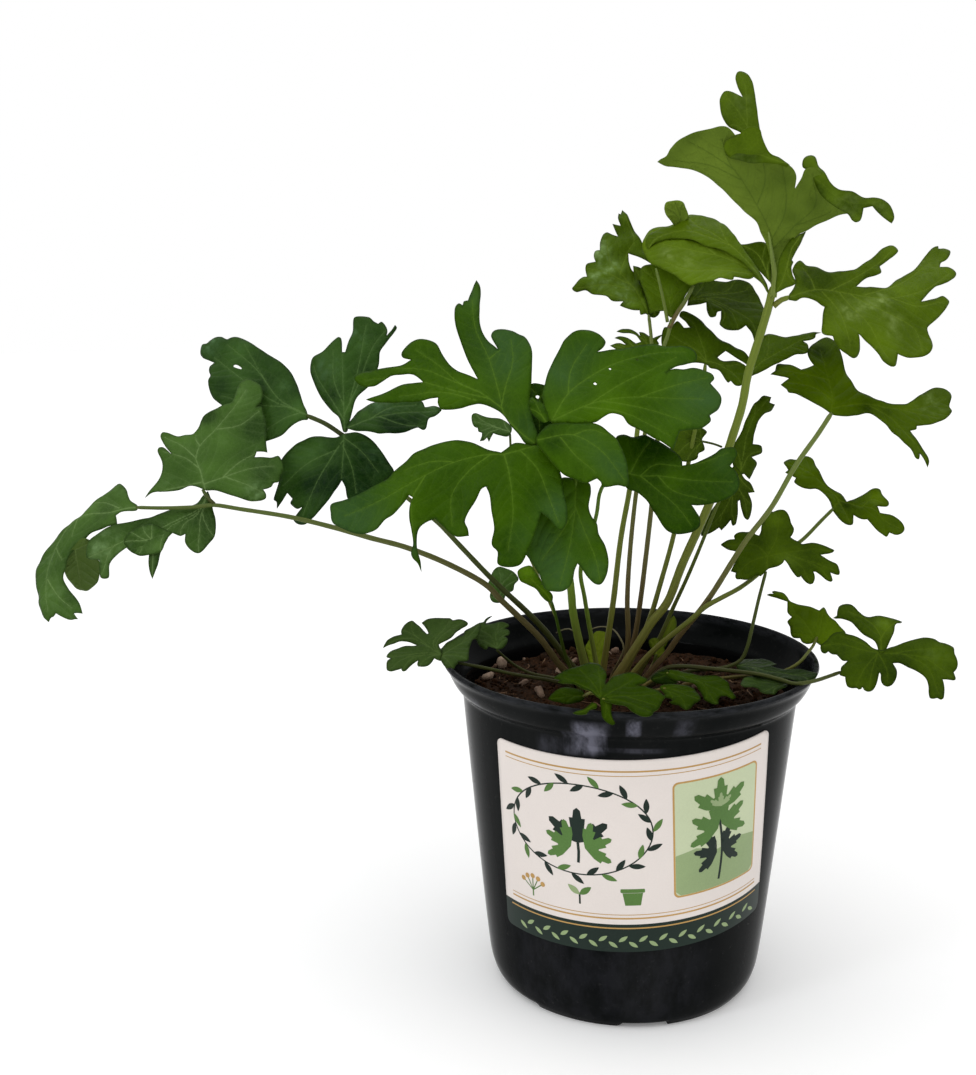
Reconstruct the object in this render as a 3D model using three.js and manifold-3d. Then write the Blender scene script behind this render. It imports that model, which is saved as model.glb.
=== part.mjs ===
// Potted flat-leaf parsley: a round nursery pot of thin black plastic, the growing mix in it,
// a paper label wrapped on the front wall, and the plant: stalks that rise from one crown
// and leaflets at their ends. Millimetres, +Z up, origin at the centre of the pot's base,
// the label faces -Y.
import * as THREE from 'three';
import { mergeVertices } from 'three/addons/utils/BufferGeometryUtils.js';
import { TessellateModifier } from 'three/addons/modifiers/TessellateModifier.js';
import Module from 'manifold-3d';

// ---- driving dimensions ----
const POT_RIM_RADIUS = 82.5;      // outer edge of the rolled rim
const POT_HEIGHT = 148.6;
const WALL_BASE_RADIUS = 60.0;    // outer wall carried down to z = 0
const WALL_SLOPE = 0.1023;        // radius gained per mm of height
const WALL_THICKNESS = 1.8;
const FOOT_RADIUS = 56.0;         // flat standing face
const FLOOR_THICKNESS = 4.2;
const FOOT_CHANNEL_DEPTH = 2.3;   // drainage channels under the foot
const FOOT_CHANNEL_WIDTH = 20.0;
const FOOT_CHANNELS = 6;
const DRAIN_HOLE_RADIUS = 5.5;
const DRAIN_HOLE_CIRCLE = 44.0;
const DRAIN_HOLES = 6;
const MIX_TOP = 132.4;            // surface of the growing mix at the crown
const MIX_GAP = 0.3;
const LABEL_HALF_WIDTH = 63.2;
const LABEL_TOP = 36.2;           // from the label's own origin, up the wall
const LABEL_BOTTOM = -51.4;
const LABEL_CORNER = 3.0;
const LABEL_COLUMNS = 16;
const LABEL_ROWS = 4;
const LABEL_HEIGHT = 90.0;        // height of the label's origin on the wall
const LABEL_TURN = -0.0314;       // about Z, from the front
const LABEL_TILT = 0.05;
const LABEL_THICKNESS = 0.25;
const LABEL_GAP = 0.3;
const BLADE_THICKNESS = 0.7;
const BLADE_MESH = 15.0;          // longest edge inside a leaf blade
const STALK_SIDES = 7;
const STALK_STEP = 15.0;

// Every leaf blade: the point where its stalk meets it, its two directions (across, along),
// its bend [curl along, curl across, fold, fold width, ripple, ripple length, ripple turn,
// ripple phase] and its edge as across,along pairs in mm.

const BLADES = {
  left_leaf_tip: { at: [-211.1, -14, 217.1], across: [-0.6964, 0.5916, 0.4062], along: [-0.671, -0.3361, -0.6609],
    bend: [-0.0022, -0.0022, 0, 3, 0.9, 22, 0.4, 0.7],
    edge: [0.9,-0.8, 4.7,-0.4, 12,-2.9, 17,-2.8, 19,5.5, 19.9,18.6, 22.9,27.8, 23.3,36.6, 22.2,43.5, 20.8,47.7, 15.9,51.8, 5,57.7, -0.2,59.6, -3.9,59.6, -3.8,55, -11.2,53, -15.9,50.3, -11.7,49.8, -15.7,47.4, -12.7,45.7, -0.5,44, 3.5,42.7, 5.4,40.9, 8.5,35.6, 9.6,30.8, 8.9,20.5, 1.2,10.7, 5.2,8.4, 4.2,6, -0.8,0.6] },
  left_leaf_tip_fold_1: { at: [-237.6, -17, 199.8], across: [0.9911, 0.1329, -0.0011], along: [-0.0741, 0.5463, -0.8343],
    bend: [0, 0, 0, 3, 0, 22, 0.4, 0.7],
    edge: [-4.4,5.3, -0.7,-1.2, 4.4,-6.5, 7.9,-3.9, 9.2,7.1, 8.4,16.4, 7.1,20.8, 4.6,24.2, 1.6,26.6, -0.8,25.6, -3.1,22.9, -5.4,17.1, -5.9,11.4] },
  left_leaf_fan: { at: [-182.4, -11.5, 224.6], across: [0.9474, -0.1004, -0.304], along: [0.3094, 0.5306, 0.7891],
    bend: [-0.0014, -0.0016, 0, 3, 1, 22, 0.4, 0.3],
    edge: [3.5,0.4, 20.8,2, 24.3,3.3, 25.6,5, 24.9,6.8, 23,8.4, 25.9,10.8, 26.2,12.7, 27.6,14.1, 27.8,19.5, 26.5,22.4, 23.3,25.6, 20.3,23.3, 14.1,21.3, 14,23.9, 18.5,25.1, 12.5,38.7, 8,45, 5.8,44.1, 6.8,47.3, 6,51.9, 3.2,55.3, -0.6,56.6, -3.9,56.6, -5.6,53.8, -5.1,43.2, -13.5,32.1, -13.7,25.7, -14.7,22.6, -20.5,19.4, -26.9,18.5, -27,16.5, -23.4,12.8, -19.4,10.3, -23.9,11.9, -25.7,11.1, -25.5,9.7, -21.7,5.4, -20.1,1.7, -20,-3.1, -22.6,-12, -20.3,-8.9, -14.8,-6.9, -9.9,-4, -6.9,-0.9, 0.2,-0.4] },
  left_leaf_low: { at: [-182.6, -9, 221.6], across: [-0.4777, 0.4856, 0.7321], along: [-0.877, -0.3132, -0.3644],
    bend: [-0.0012, 0, 0, 3, 0.8, 22, 0.4, 2],
    edge: [1.3,-1.5, -2,6, 1.1,16.2, 1.8,24.2, 5.1,38.3, 5.7,42.1, 5.4,47.8, 3.9,52.4, -2.5,55.8, -5.8,51.7, -12.5,54.2, -14.1,53.2, -14.7,51.3, -9.4,48.6, -7.3,45.5, -6.1,39.4, -12.2,36, -14.1,32.4, -15.3,27.5, -11.5,23.2, -9.7,19.7, -12.5,17.3, -12.5,15.1, -16.1,16.8, -20,16, -23.1,13.5, -21.1,8.3, -18.8,4.7, -16.2,2.8, -11.7,1] },
  left_leaf_low_fold_1: { at: [-203.7, -21.3, 204.6], across: [-1, 0.0018, 0.0039], along: [-0.0043, -0.4258, -0.9048],
    bend: [0, 0, 0, 3, 0, 22, 0.4, 0.7],
    edge: [8.3,5.2, 4.9,6.8, 0.9,6.5, 0,14.2, -1.1,16.8, -4.1,5.2, -8.1,-3.5, 0.4,-6.8, 4.4,-6.3, 9.2,-3.4, 11.9,0.9, 10.4,3.5] },
  midleft_leaf_outer: { at: [-141.6, 12, 253.2], across: [0.6933, 0.2577, 0.673], along: [-0.6919, 0.4994, 0.5214],
    bend: [-0.0015, -0.002, 0, 3, 0.8, 22, 0.4, 0.7],
    edge: [1.4,0.8, 8.4,17.2, 9.9,22.4, 10.1,29.6, 7.5,51.5, 6,56.4, 2.1,60.2, 1.2,63.5, -0.9,66.1, -3.3,67.3, -5.5,67.5, -7.2,68.8, -10.6,66.7, -11.4,63.9, -9.7,56.6, -12.2,56.8, -14.2,54.8, -15.5,51.7, -17.8,50.4, -19.9,47.6, -21.9,42.3, -21.7,35.5, -23.5,16.4, -22.5,8.1, -19.6,4.4, -14.4,2, -4.6,0.4, -1,-2.1] },
  midleft_leaf_top: { at: [-125.2, 14, 245.9], across: [0.9971, -0.0187, 0.0734], along: [-0.0558, 0.4734, 0.8791],
    bend: [0, 0, -0.42, 2.5, 0.5, 22, 0.4, 0.7],
    edge: [0.9,-0.5, 5.8,15.8, 11.5,22.4, 15.4,31, 17.1,40.4, 24.1,51.6, 23.3,52.7, 19.4,47.1, 19.9,49.6, 19.2,52, 17.5,53.9, 16,52.6, 12.1,55.6, 6.9,54.9, 5.7,54, 4.9,47.4, 1.3,37.8, 0,37.7, -0.3,44.3, -1.3,45, -8.4,40.2, -14,37.5, -15.2,34.6, -15.3,31.5, -13.6,25.6, -10.5,17.9, -2.3,6.4, -0.4,-0.4] },
  midleft_leaf_inner: { at: [-123.4, 12, 247.3], across: [0.3255, -0.7236, -0.6086], along: [0.9421, 0.3027, 0.144],
    bend: [0, -0.004, 0, 3, 0.5, 22, 0.4, 0.7],
    edge: [-0.1,-0.4, 2,2.6, 5.7,12, 7.7,23.7, 6.9,29.9, 9.2,31.6, 8.2,33.2, 3.2,36.1, 2.1,39.3, -0.7,43.3, -3.9,41.2, -4.5,36.7, -7.6,36.1, -12.8,20.7, -12.8,13.7, -9,7.1, -4.2,2.1] },
  midleft_leaf_low: { at: [-125, 10, 244.9], across: [-0.9998, 0.0092, 0.0165], along: [-0.0188, -0.4873, -0.873],
    bend: [-0.002, 0, -0.34, 2.5, 0.5, 22, 0.4, 0.7],
    edge: [0.2,-0.5, 3.2,1.3, 10.8,-0.3, 15.4,-0.1, 19.8,1.4, 26.8,7.5, 28.5,10.4, 28.8,19.4, 30.6,26.9, 29.3,27.7, 29,30.9, 24.3,24.5, 21.9,27.3, 22.8,29.1, 21.4,30.7, 19.4,31.8, 17.2,31.2, 21.2,36.1, 19.9,38, 17.2,39, 15,38.8, 12.4,36.8, 5,28.3, 0.1,20.9, -1.4,23.6, -2.9,28.9, -7.2,30.3, -12.9,25.9, -21.9,14.3, -19.6,10.4, -12.6,1.4, -8.9,-0.9, -5.4,-1.5] },
  centre_leaf_top_left: { at: [-43.3, -62, 252.1], across: [0.8741, 0.138, 0.4658], along: [-0.4705, 0.4792, 0.741],
    bend: [-0.0012, -0.0012, 0, 3, 1.2, 26, 0.4, 0.7],
    edge: [1.5,1.9, 3,8.7, 6,16.7, 17,34.9, 17.8,38.9, 17.5,42.9, 14.6,47.2, 11.4,50.3, 8.2,51.6, 6.4,50.3, 5.9,43.7, 4.2,49.7, 4.7,56.1, 12.2,71.1, 13.6,74.7, 13.7,78.2, 6,70.1, 4.4,70.5, 3.1,69.1, 2.2,71.1, 0.4,70.7, -1.7,67.6, -3.5,63.3, -5.2,55.3, -6.8,45.6, -7.3,35.9, -11.9,42.7, -13.7,46.6, -14.1,59.6, -16.2,63.1, -19.1,65.3, -22.5,66, -26,64.9, -28.4,63.4, -28.6,62, -26.2,58.8, -30.9,59.7, -42.3,64.8, -46.6,66.1, -49.5,65.1, -49.7,62.3, -47.6,58.7, -44.4,56.9, -36.9,57.6, -33.2,56.3, -28.5,52.7, -26.5,47.5, -34,51.7, -39.6,51.6, -49.9,53.3, -44.4,47.8, -38.5,44.3, -30.8,40.4, -24.5,38.1, -25.7,35.6, -25.6,32.6, -18.6,28.4, -11.9,26.2, -9.5,23.7, -5.9,16.1, -4,1.4, -0.8,-0.7] },
  centre_leaf_top_right: { at: [-37.4, -60, 259.6], across: [0.2812, -0.4889, -0.8258], along: [0.9461, 0.2855, 0.1532],
    bend: [-0.0012, -0.0014, 0, 3, 1.1, 28, 0.4, 0.7],
    edge: [1.1,0.9, 3.3,10.6, 3.4,17.6, 1.3,24.1, 1.7,27.3, 2.9,29.3, 6.6,30.6, 21,44.9, 13.6,50.3, 14,59.5, 12.4,63.4, 11.1,65.4, 9.2,65.4, 6.5,70.8, 2.6,73.3, -1.9,73.2, -5.5,71.8, -7.5,74.4, -9.9,74.2, -12.4,71.1, -13.4,67.1, -13.9,57.5, -12.4,53.6, -14.5,58.5, -16.3,69, -18.4,70.3, -21.6,69, -23.5,64, -24.5,57.6, -26.7,53.6, -27.1,28.7, -28.5,31.7, -30.8,33.3, -33.9,32.2, -36.4,28.9, -37.3,25.9, -36.9,20.9, -34.1,16.3, -24.5,7.6, -20.3,4.4, -12.9,0.1, -5.6,-1.1, -0.4,-0.8] },
  centre_leaf_low_left: { at: [-44.5, -63.9, 250.8], across: [-0.5018, 0.3885, 0.7728], along: [-0.8635, -0.1731, -0.4737],
    bend: [-0.001, -0.001, 0, 3, 1.3, 28, 0.4, 1.9],
    edge: [0.7,0.5, 5,6.2, 4.5,12.2, 13.7,19.7, 17.3,24.3, 19.6,28.7, 21.6,36.2, 22.3,41.7, 19.2,55, 20.4,72.1, 21.9,79.4, 15.5,82.2, 11.3,79.8, 5.6,75.2, 4.1,71.6, 3.5,68.5, 4.9,63.8, 4.9,60.9, 6.4,55.3, 8.3,51.3, 6.8,50.5, 4.8,52.8, 0.8,55.6, -9,59.6, -11.4,61.9, -20.2,62.1, -11.3,59, -6.3,56.1, -4.5,53.6, -4.7,47.2, -13.5,45, -15.8,43.4, -17.9,39.5, -12.1,38, -9.3,34.6, -4.3,25.9, -4.4,24.1, -7.7,24.6, -20,29.6, -25.1,33.6, -28.2,33.1, -32.5,35.4, -35,33.6, -37.4,28.3, -34.1,22.7, -24,10.9, -27.5,9.7, -33.2,9, -34.3,7.9, -33,5.1, -28.8,2.2, -16.1,-2.9, -9.8,-4.1, -3.4,-3.9, -0.9,-2.2] },
  centre_leaf_middle: { at: [-42.3, -68, 254.5], across: [-0.3943, -0.5911, -0.7037], along: [0.8968, -0.0803, -0.435],
    bend: [-0.002, -0.001, 0, 3, 0.6, 22, 0.4, 0.7],
    edge: [5,3.4, 9.3,13.4, 8.9,19.3, 7.9,23.4, 3.7,26.5, 4.4,28.4, 6.3,29.6, 2.1,35, 0.3,38.5, -3.6,37.6, -8,34.8, -14.4,28.9, -16.5,26.5, -17.8,17.4, -7.5,0.8, -3.6,-0.7, 1.6,-1] },
  centre_leaf_right: { at: [-8.2, -41, 236.8], across: [-0.0386, -0.4918, -0.8699], along: [0.9893, 0.1038, -0.1026],
    bend: [-0.0012, -0.0012, 0, 3, 1, 22, 0.4, 0.7],
    edge: [-2.6,0, 2.6,0, 7.1,2.1, 8,6, 10,9.2, 12.9,11.9, 17.6,14.5, 22.7,18.4, 23.9,21.6, 23.7,24.8, 22,30.3, 19.9,32.6, 16.5,32.8, 11.2,29.2, 11.3,32.3, 9.6,38.6, 6.5,45, 2.7,48.8, -1.8,49.9, -5.9,49, -7.8,46, -13.7,49.1, -15.8,47.8, -14.6,42.1, -8.7,33.9, -6.1,28.4, -5.3,25.2, -7.5,24.9, -10.9,22.1, -15.3,15.1, -17.2,9.6, -15.7,4.1, -16.5,0.7, -15.2,-2.4, -12,-2.5, -7.4,-0.8] },
  centre_leaf_hanging: { at: [-27.7, -57, 236.3], across: [-0.9987, 0.0239, 0.0448], along: [-0.0508, -0.4705, -0.8809],
    bend: [-0.0015, -0.002, 0, 3, 0.9, 22, 0.4, 0.7],
    edge: [10.1,2.9, 14.5,10.8, 18.8,20.5, 20.8,27.6, 12.7,39.1, 10.3,44.2, 7.4,45.1, 3.8,44.8, 1,42.7, -1.9,33.5, -6.1,38.8, -9,41.3, -11.2,41.2, -13.2,37.9, -13.9,32, -12.4,26.1, -9.7,21.5, -8.8,17.4, -6.6,14.6, -5.4,10.9, -6.1,4.6, -5.4,1.3, -2.4,-0.1, 1.2,-0.7, 5.5,-0.5] },
  shoot_yellow_green: { at: [-36.1, -34, 180.9], across: [0.7425, 0.2864, 0.6055], along: [-0.6381, 0.5775, 0.5092],
    bend: [-0.003, 0, 0, 3, 0, 22, 0.4, 0.7],
    edge: [-2.5,17.3, -0.5,9.2, -1,1.4, 0,-0.6, 2.4,1.4, 5.2,19.5, 0.2,21.8] },
  small_leaf_on_left_stem: { at: [-57, -1.5, 172.6], across: [0.9879, 0.0364, -0.1508], along: [0.1156, 0.4753, 0.8722],
    bend: [0, -0.006, 0, 3, 0.5, 12, 0.4, 0.7],
    edge: [-4.5,13.9, -6.4,5.9, -4.5,4.3, -4.8,1.9, -3.4,-0.3, -1,-0.7, 1.2,0.3, 2.6,4.1, 5.3,6.2, 5.5,9, 7,11.4, 4.3,14.6, 1.3,15.6, -2.3,15.8] },
  top_leaf_upright: { at: [59.4, 8, 310.2], across: [-0.9397, 0.1885, -0.2852], along: [-0.3382, -0.3903, 0.8563],
    bend: [0.0008, 0.0015, 0, 3, 0.9, 30, 0.4, 0.7],
    edge: [-1.1,18.6, 0.4,29.6, 13.6,52.6, 17.6,56.9, 22.4,60.6, 28.9,63.4, 32.3,66, 28,67.8, 22.4,72.4, 13.7,73.7, 8.2,72.7, 4,72.7, 1.8,71.8, -0.7,67.6, -3,67.1, -9.5,59.8, -11.6,55.9, -18.9,47.4, -19.7,43.8, -18,38.4, -24.1,45.1, -27.4,44.9, -29.1,42.2, -30.9,33.4, -36.8,20, -27.4,20.8, -14,18.2, -7.5,13.5, -4.2,8.8, -1.1,-0.9, 1.3,-0.1, -0.7,9.9] },
  top_leaf_upright_fold_1: { at: [42.7, -14.1, 363.3], across: [0.995, -0.0921, 0.0396], along: [0.003, 0.4226, 0.9063],
    bend: [0, -0.003, 0, 3, 0.4, 22, 0.4, 0.7],
    edge: [-5.7,7.4, -8.6,6.1, -9.7,2, -7.8,-1.7, 1.4,-4.9, 16.6,-6.2, 8.5,-0.6, 6,5.2, 2.8,31.8, 1.2,35, -1.5,36.4, -3,35.8, -3.9,33.2, -1.3,24.7, -6.1,27.1, -8.6,27.3, -10.4,24.7, -10.5,20.8, -9.6,15.7, -7.3,11.7, -2.2,8.2] },
  top_leaf_upright_fold_2: { at: [70, -11.2, 353.1], across: [-0.6297, -0.2606, -0.7318], along: [0.7334, -0.5101, -0.4495],
    bend: [0, -0.004, 0, 3, 0.4, 22, 0.4, 0.7],
    edge: [0.7,1, 4.4,6.7, 6.4,16, 6.1,21.6, 7.8,24.9, 7.7,26.6, 6.2,27.6, 0.8,25.3, -1.6,27.7, 0,32.5, 0.7,38.6, -1.6,38.1, -5.5,33.5, -6.2,30.2, -5,26, -3.1,22.9, -2.7,16.9, -0.8,12, -1.7,7.5, -6,-1.7, -8.6,-5.2, -8.8,-7.2, -7.2,-8.6, -4.8,-8.5, -1.8,-6.3, -2.5,-2.3] },
  top_leaf_left: { at: [56.2, 6, 306.9], across: [0.495, 0.5593, 0.665], along: [-0.8631, 0.405, 0.3019],
    bend: [-0.0012, -0.003, 0, 3, 0.8, 26, 0.4, 0.7],
    edge: [0.7,-0.4, 9.5,8, 15.9,15.7, 29.3,35, 31.9,41.3, 32.6,46.7, 30.5,51.7, 25.7,51.3, 16.6,61.9, 12.7,63, 6.7,62.1, 3.3,60.8, -1.1,56.5, -3.5,53.1, -9.7,30.6, -4.7,23.2, -1.5,20.7, -0.3,15.6, 1.1,15.8, 3.2,9.1, 4.6,8.2, 2.1,3, -0.8,-0.7] },
  top_leaf_left_fold_1: { at: [23.7, 43.6, 334], across: [-0.9182, 0.075, -0.389], along: [-0.3818, -0.4299, 0.8182],
    bend: [0, 0.006, 0, 3, 0, 22, 0.4, 0.7],
    edge: [-2.7,-2.1, 2.3,0.3, 4.6,8.2, 4.1,11.7, 2.4,13.5, -1,12.7, -4.3,10.3, -4.6,2.3] },
  top_leaf_right: { at: [66, 6, 304.6], across: [0.2294, -0.571, -0.7882], along: [0.9658, 0.2343, 0.1114],
    bend: [-0.0012, -0.0015, 0, 3, 1.2, 26, 0.4, 1],
    edge: [2.1,-1.2, 2.7,1.8, 1.8,4.5, 2.5,7.5, 6.8,13.9, 14.4,10.2, 19.6,8.7, 22,12.1, 24,12.1, 29.4,14.2, 32.7,18.6, 32.4,20.2, 29.6,22.7, 22.6,24, 26.9,27.8, 32,30.9, 35.2,31.9, 38.4,34.6, 38.5,36.4, 32.8,39.9, 35.5,44.3, 35.8,49.4, 34,54.8, 31,57.1, 28.1,58.1, 24.1,58, 21.3,58.9, 11.6,72.5, 8.4,75, 6.4,72.3, 8.8,59.9, 2.4,69, -0.6,78, -4.8,83.4, -8.5,81.2, -9.2,77, -11.6,78.8, -14.6,84.1, -18.9,87.3, -20.6,85.4, -20.1,81.6, -21.8,82.2, -20.1,78, -8.2,63.1, -3.8,52.9, 0,46.1, -1.8,32.2, -5.5,38.6, -7.6,46.4, -10.9,46.9, -18.2,58.8, -21,57.8, -19.7,51.5, -15.7,45.5, -9.5,33, -9.1,26.9, -9.9,20.7, -13.5,17.4, -15.4,13.2, -17.9,10.9, -14.3,6.4, -6.2,4.5, -1,-0.1] },
  back_leaf_serrated: { at: [8.8, 30, 277.3], across: [0.6453, 0.4921, 0.5843], along: [-0.7573, 0.5127, 0.4045],
    bend: [0, 0, 0, 3, 0, 22, 0.4, 0.7],
    edge: [-6.5,5.1, -0.9,-0.7, 3.9,-1.5, 6.4,1, 8.6,0.4, 9.7,2.3, 14.1,1.7, 9.7,4.5, 9.7,10.1, 8.9,11.8, 6.9,9.7, 8.2,13.5, 7.8,16.6, 3.1,20.1, 3.6,17.4, 5.9,14.5, 6.1,11.4, 4.6,7.4, 2.9,8.9, 2.9,13.4, 1.2,17.7, -0.2,18.7, 0.2,14.7, -0.3,12, -1.6,15.6, -5.2,17.3] },
  back_leaf_blistered: { at: [8.8, 34, 295.1], across: [0.773, 0.2383, 0.5879], along: [-0.6263, 0.4342, 0.6475],
    bend: [-0.001, 0, 0, 3, 1.2, 12, 1.2, 0.7],
    edge: [-16.2,30.2, -12.3,28.2, -11.3,24.5, -7.8,19.6, -7.5,15.8, -3.9,12.4, -6.1,12.2, -3.6,6.2, -1.2,4.3, -2.4,2.3, 0,1, 0.3,-1, 9.7,17.6, 9.1,21.6, 10.7,25.3, 13.8,29.5, 17.3,18.6, 21.7,29.2, 26.3,45.3, 26.7,48.9, 24.6,47.5, 24.4,48.7, 21.8,46.1, 20.5,42.7, 17.9,45.4, 16.2,39.5, 13.7,44.5, 12,44.9, 8.7,43.1, 5,39, 3.3,40, 1.3,38.9, 0.2,36.4, -3.5,38.1, -5,37.3, -7.7,33.1, -8.9,34, -16.7,32.7] },
  back_leaf_upright: { at: [18.3, 28, 294.6], across: [0.9963, 0.0348, 0.0783], along: [-0.0857, 0.4046, 0.9104],
    bend: [0, -0.003, 0, 3, 0, 22, 0.4, 0.7],
    edge: [-6.5,25.6, -10.7,24.1, -11.9,20.5, -9,2.3, -7.2,3, -2.5,3, -1.3,0.6, 0.4,-0.5, 4.5,4.3, 9.4,12, 14.8,15.9, 10.9,21.3, 3.2,24.7] },
  back_leaf_shaded: { at: [27.8, 38, 301.5], across: [-0.5195, -0.5981, -0.6102], along: [0.8486, -0.2773, -0.4505],
    bend: [-0.001, -0.003, 0, 3, 0.8, 22, 0.4, 0.7],
    edge: [3.9,0.5, -2.7,6.7, 1.1,9.2, 2.8,11.9, 1.1,13.7, -1.3,13.3, -2.7,14.4, 3.9,17.2, 4,20.6, 0.9,25.4, -2.9,27.2, -1.5,30.8, 2.4,34.9, 3.2,36.6, -5.9,34.9, -14.1,31.4, -20.4,26.9, -25.9,18.7, -25.6,14.8, -23.7,11.6, -20,8.9, -18.8,6.4, -13.7,0, -6.8,-2.7] },
  back_leaf_forked: { at: [34.6, 30, 274.6], across: [0.9649, 0.2221, 0.14], along: [-0.2424, 0.5494, 0.7996],
    bend: [0, -0.002, 0, 3, 0.5, 22, 0.4, 0.7],
    edge: [-4.9,25.1, -1.8,18.6, -4.6,18.9, -6.8,22.5, -10.4,20.1, -13,21.2, -17.2,11, -16,6, -7.2,1, -4,0.6, 0,-1.4, 0.9,-3.2, 4.7,-5.9, 6.8,-11.9, 8.1,-11.4, 9.7,-14, 12.2,-14.4, 15.2,-10.9, 18,-5.4, 14.3,-2, 7.5,-0.5, 6,1.5, 10.5,3.8, 19.1,-4.3, 20.5,-2.2, 19.3,2, 10.1,10.5, 4,21.6, 1,25.1, -2.9,27.5] },
  back_leaf_strap: { at: [53.7, 19, 272.1], across: [0.5849, -0.5125, -0.6287], along: [0.8049, 0.4627, 0.3716],
    bend: [0, -0.003, 0, 3, 0.5, 22, 0.4, 0.7],
    edge: [-2.8,0.7, 2.4,-4.5, 3.8,23.7, 5.6,27.8, 2.2,31.4, -0.2,30.5, 1.1,34.2, 1.1,36.6, -0.1,38.4, 0.3,41.4, -2.3,36.9, -4.2,29.7, -7.5,23.2, -11.7,19.9, -11.7,15.9] },
  back_leaf_cut: { at: [51.2, 26, 226.7], across: [0.874, 0.1139, -0.4724], along: [0.3741, 0.4629, 0.8036],
    bend: [0, 0, -0.3, 2, 0, 22, 0.4, 0.7],
    edge: [-6.7,8.5, -5,1.8, -1.2,-3.7, 2.4,-0.7, 5.7,-1.7, 6.4,7.3, 3.1,8.5, 7.1,13.3, 5.7,15.5, 1,14.2, 0,18.8, -0.4,24.3, 1.2,30, 4,33.3, 4.7,37, 1.7,36.5, 1.5,39.1, -2.5,37.8, -5,32.3] },
  back_leaf_cut_fold_1: { at: [48.8, 24.9, 225.5], across: [-0.9945, -0.0942, 0.0455], along: [-0.0229, -0.2278, -0.9734],
    bend: [0, 0, -0.25, 2, 0, 22, 0.4, 0.7],
    edge: [4.3,3.2, 7.6,12.3, 14.5,24.1, 14.4,28.6, 11.1,27.5, 6.9,24.7, 5.8,25.9, 2,21.1, 1.2,23.7, -0.2,23.1, -1.2,18.3, -1,12.8, -2,12, -2.6,15.5, -4.5,19.9, -6.1,20.9, -7.2,19.5, -8.2,13.9, -6.2,8.7, -9.2,8.3, -7.3,4.2, -4.2,2.3, -1.1,-1.8, 1,-3.1] },
  right_upper_leaf: { at: [86.7, 10, 254.4], across: [0.1993, -0.6402, -0.7419], along: [0.9766, 0.1919, 0.0968],
    bend: [-0.0012, -0.001, 0, 3, 1.1, 30, 0.4, 0.7],
    edge: [2.4,3.5, 2.9,17.4, 8.3,22.5, 22,29.2, 27.3,30, 28.1,31.3, 25.2,32.9, 31.9,34.6, 29.4,36, 25.1,35.7, 19.3,34, 12.9,33.2, 12.4,36.3, 10.7,37.1, 10.5,45.8, 8.1,52.5, 4.3,56.7, 1.5,56.8, -4.2,60.2, -6.4,60.2, -8.4,57.3, -8.5,52.4, -0.6,35.4, -3.1,23.8, -9.6,16.5, -15.6,15, -23.5,14.3, -31.3,15.3, -39.5,14, -41,12.4, -39.9,7.5, -36.2,2, -32.5,-0.4, -25.7,0.2, -24,-6.3, -28.3,-11, -29.4,-15.4, -25.9,-17.6, -24,-20.5, -20.5,-13, -18,-17.5, -15.1,-15.5, -13.5,-15.3, -11.7,-10.7, -5,-4.2, -1.5,-1.8] },
  right_middle_leaf: { at: [94.2, 30, 208.1], across: [-0.3187, -0.6428, -0.6966], along: [0.9465, -0.1768, -0.2699],
    bend: [0, -0.002, 0, 3, 0.6, 22, 0.4, 0.7],
    edge: [-13.6,-24, -11.8,-25.1, -10.5,-19.7, -7.7,-20, -6.6,-17.1, -6.6,-12.6, -7.9,-9.2, -6.2,-5.2, -3.5,-2.4, 2,0.9, 4.8,4.4, 6.1,7.7, 5.2,10, -0.1,9.6, 0.9,13.8, 0.1,15.9, 4.7,22.8, 5.6,26.1, 3.2,26.9, 3.1,30.5, -0.9,33.1, -3.9,31.3, -5.8,27.1, -5.2,20.6, -8.7,18.9, -10.4,23.4, -12.3,23.7, -15.9,20, -18.6,18.4, -17.9,15.5, -6,5.2, -9.7,1.5, -11.7,-4.9, -24.4,-14.8, -24.8,-17.9, -21.1,-21.8, -20.6,-24.5, -17.1,-26.9] },
  right_inner_leaf: { at: [58.7, -5, 188.9], across: [0.9881, -0.0831, -0.1293], along: [0.1537, 0.5343, 0.8312],
    bend: [-0.001, -0.0014, 0, 3, 0.9, 24, 0.4, 0.7],
    edge: [-1.7,25.2, -3.3,22.4, -4.8,14.2, -7.8,15.9, -12.8,14.9, -14.8,14, -15.4,12.9, -14.9,11.6, -17.3,10.8, -20.9,7.4, -17.6,6, -13,5.3, -13.3,2.2, -15.4,-4, -13.1,-4.3, -13.1,-6.4, -12.4,-7.4, -8.4,-6.9, -4.4,-4.1, -2.4,-4.4, 0.8,-0.5, 6.5,2.9, 7.2,4.5, 13.4,-2.2, 15,-1.3, 19.3,-4.5, 20.3,-4.1, 20.9,-2.6, 20.2,1.5, 21.1,1.6, 26.1,-1.5, 28.1,-2, 28.7,-1.5, 27.3,1.9, 31.2,1.7, 31.6,2.9, 31,4.9, 29.9,6.4, 22.6,9.4, 26.3,10.9, 28.4,12.7, 21.2,14.7, 14.2,13.7, 9,15.9, 9.9,17.6, 10.1,20.6, 6.7,27.4, 5.4,28.5, 2.2,28.1, -0.6,26.7] },
  right_low_leaf_back: { at: [84.6, 9, 151], across: [0.8714, 0.2355, 0.4304], along: [-0.488, 0.5065, 0.7108],
    bend: [0, -0.002, 0, 3, 0.7, 18, 0.4, 0.7],
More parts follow.
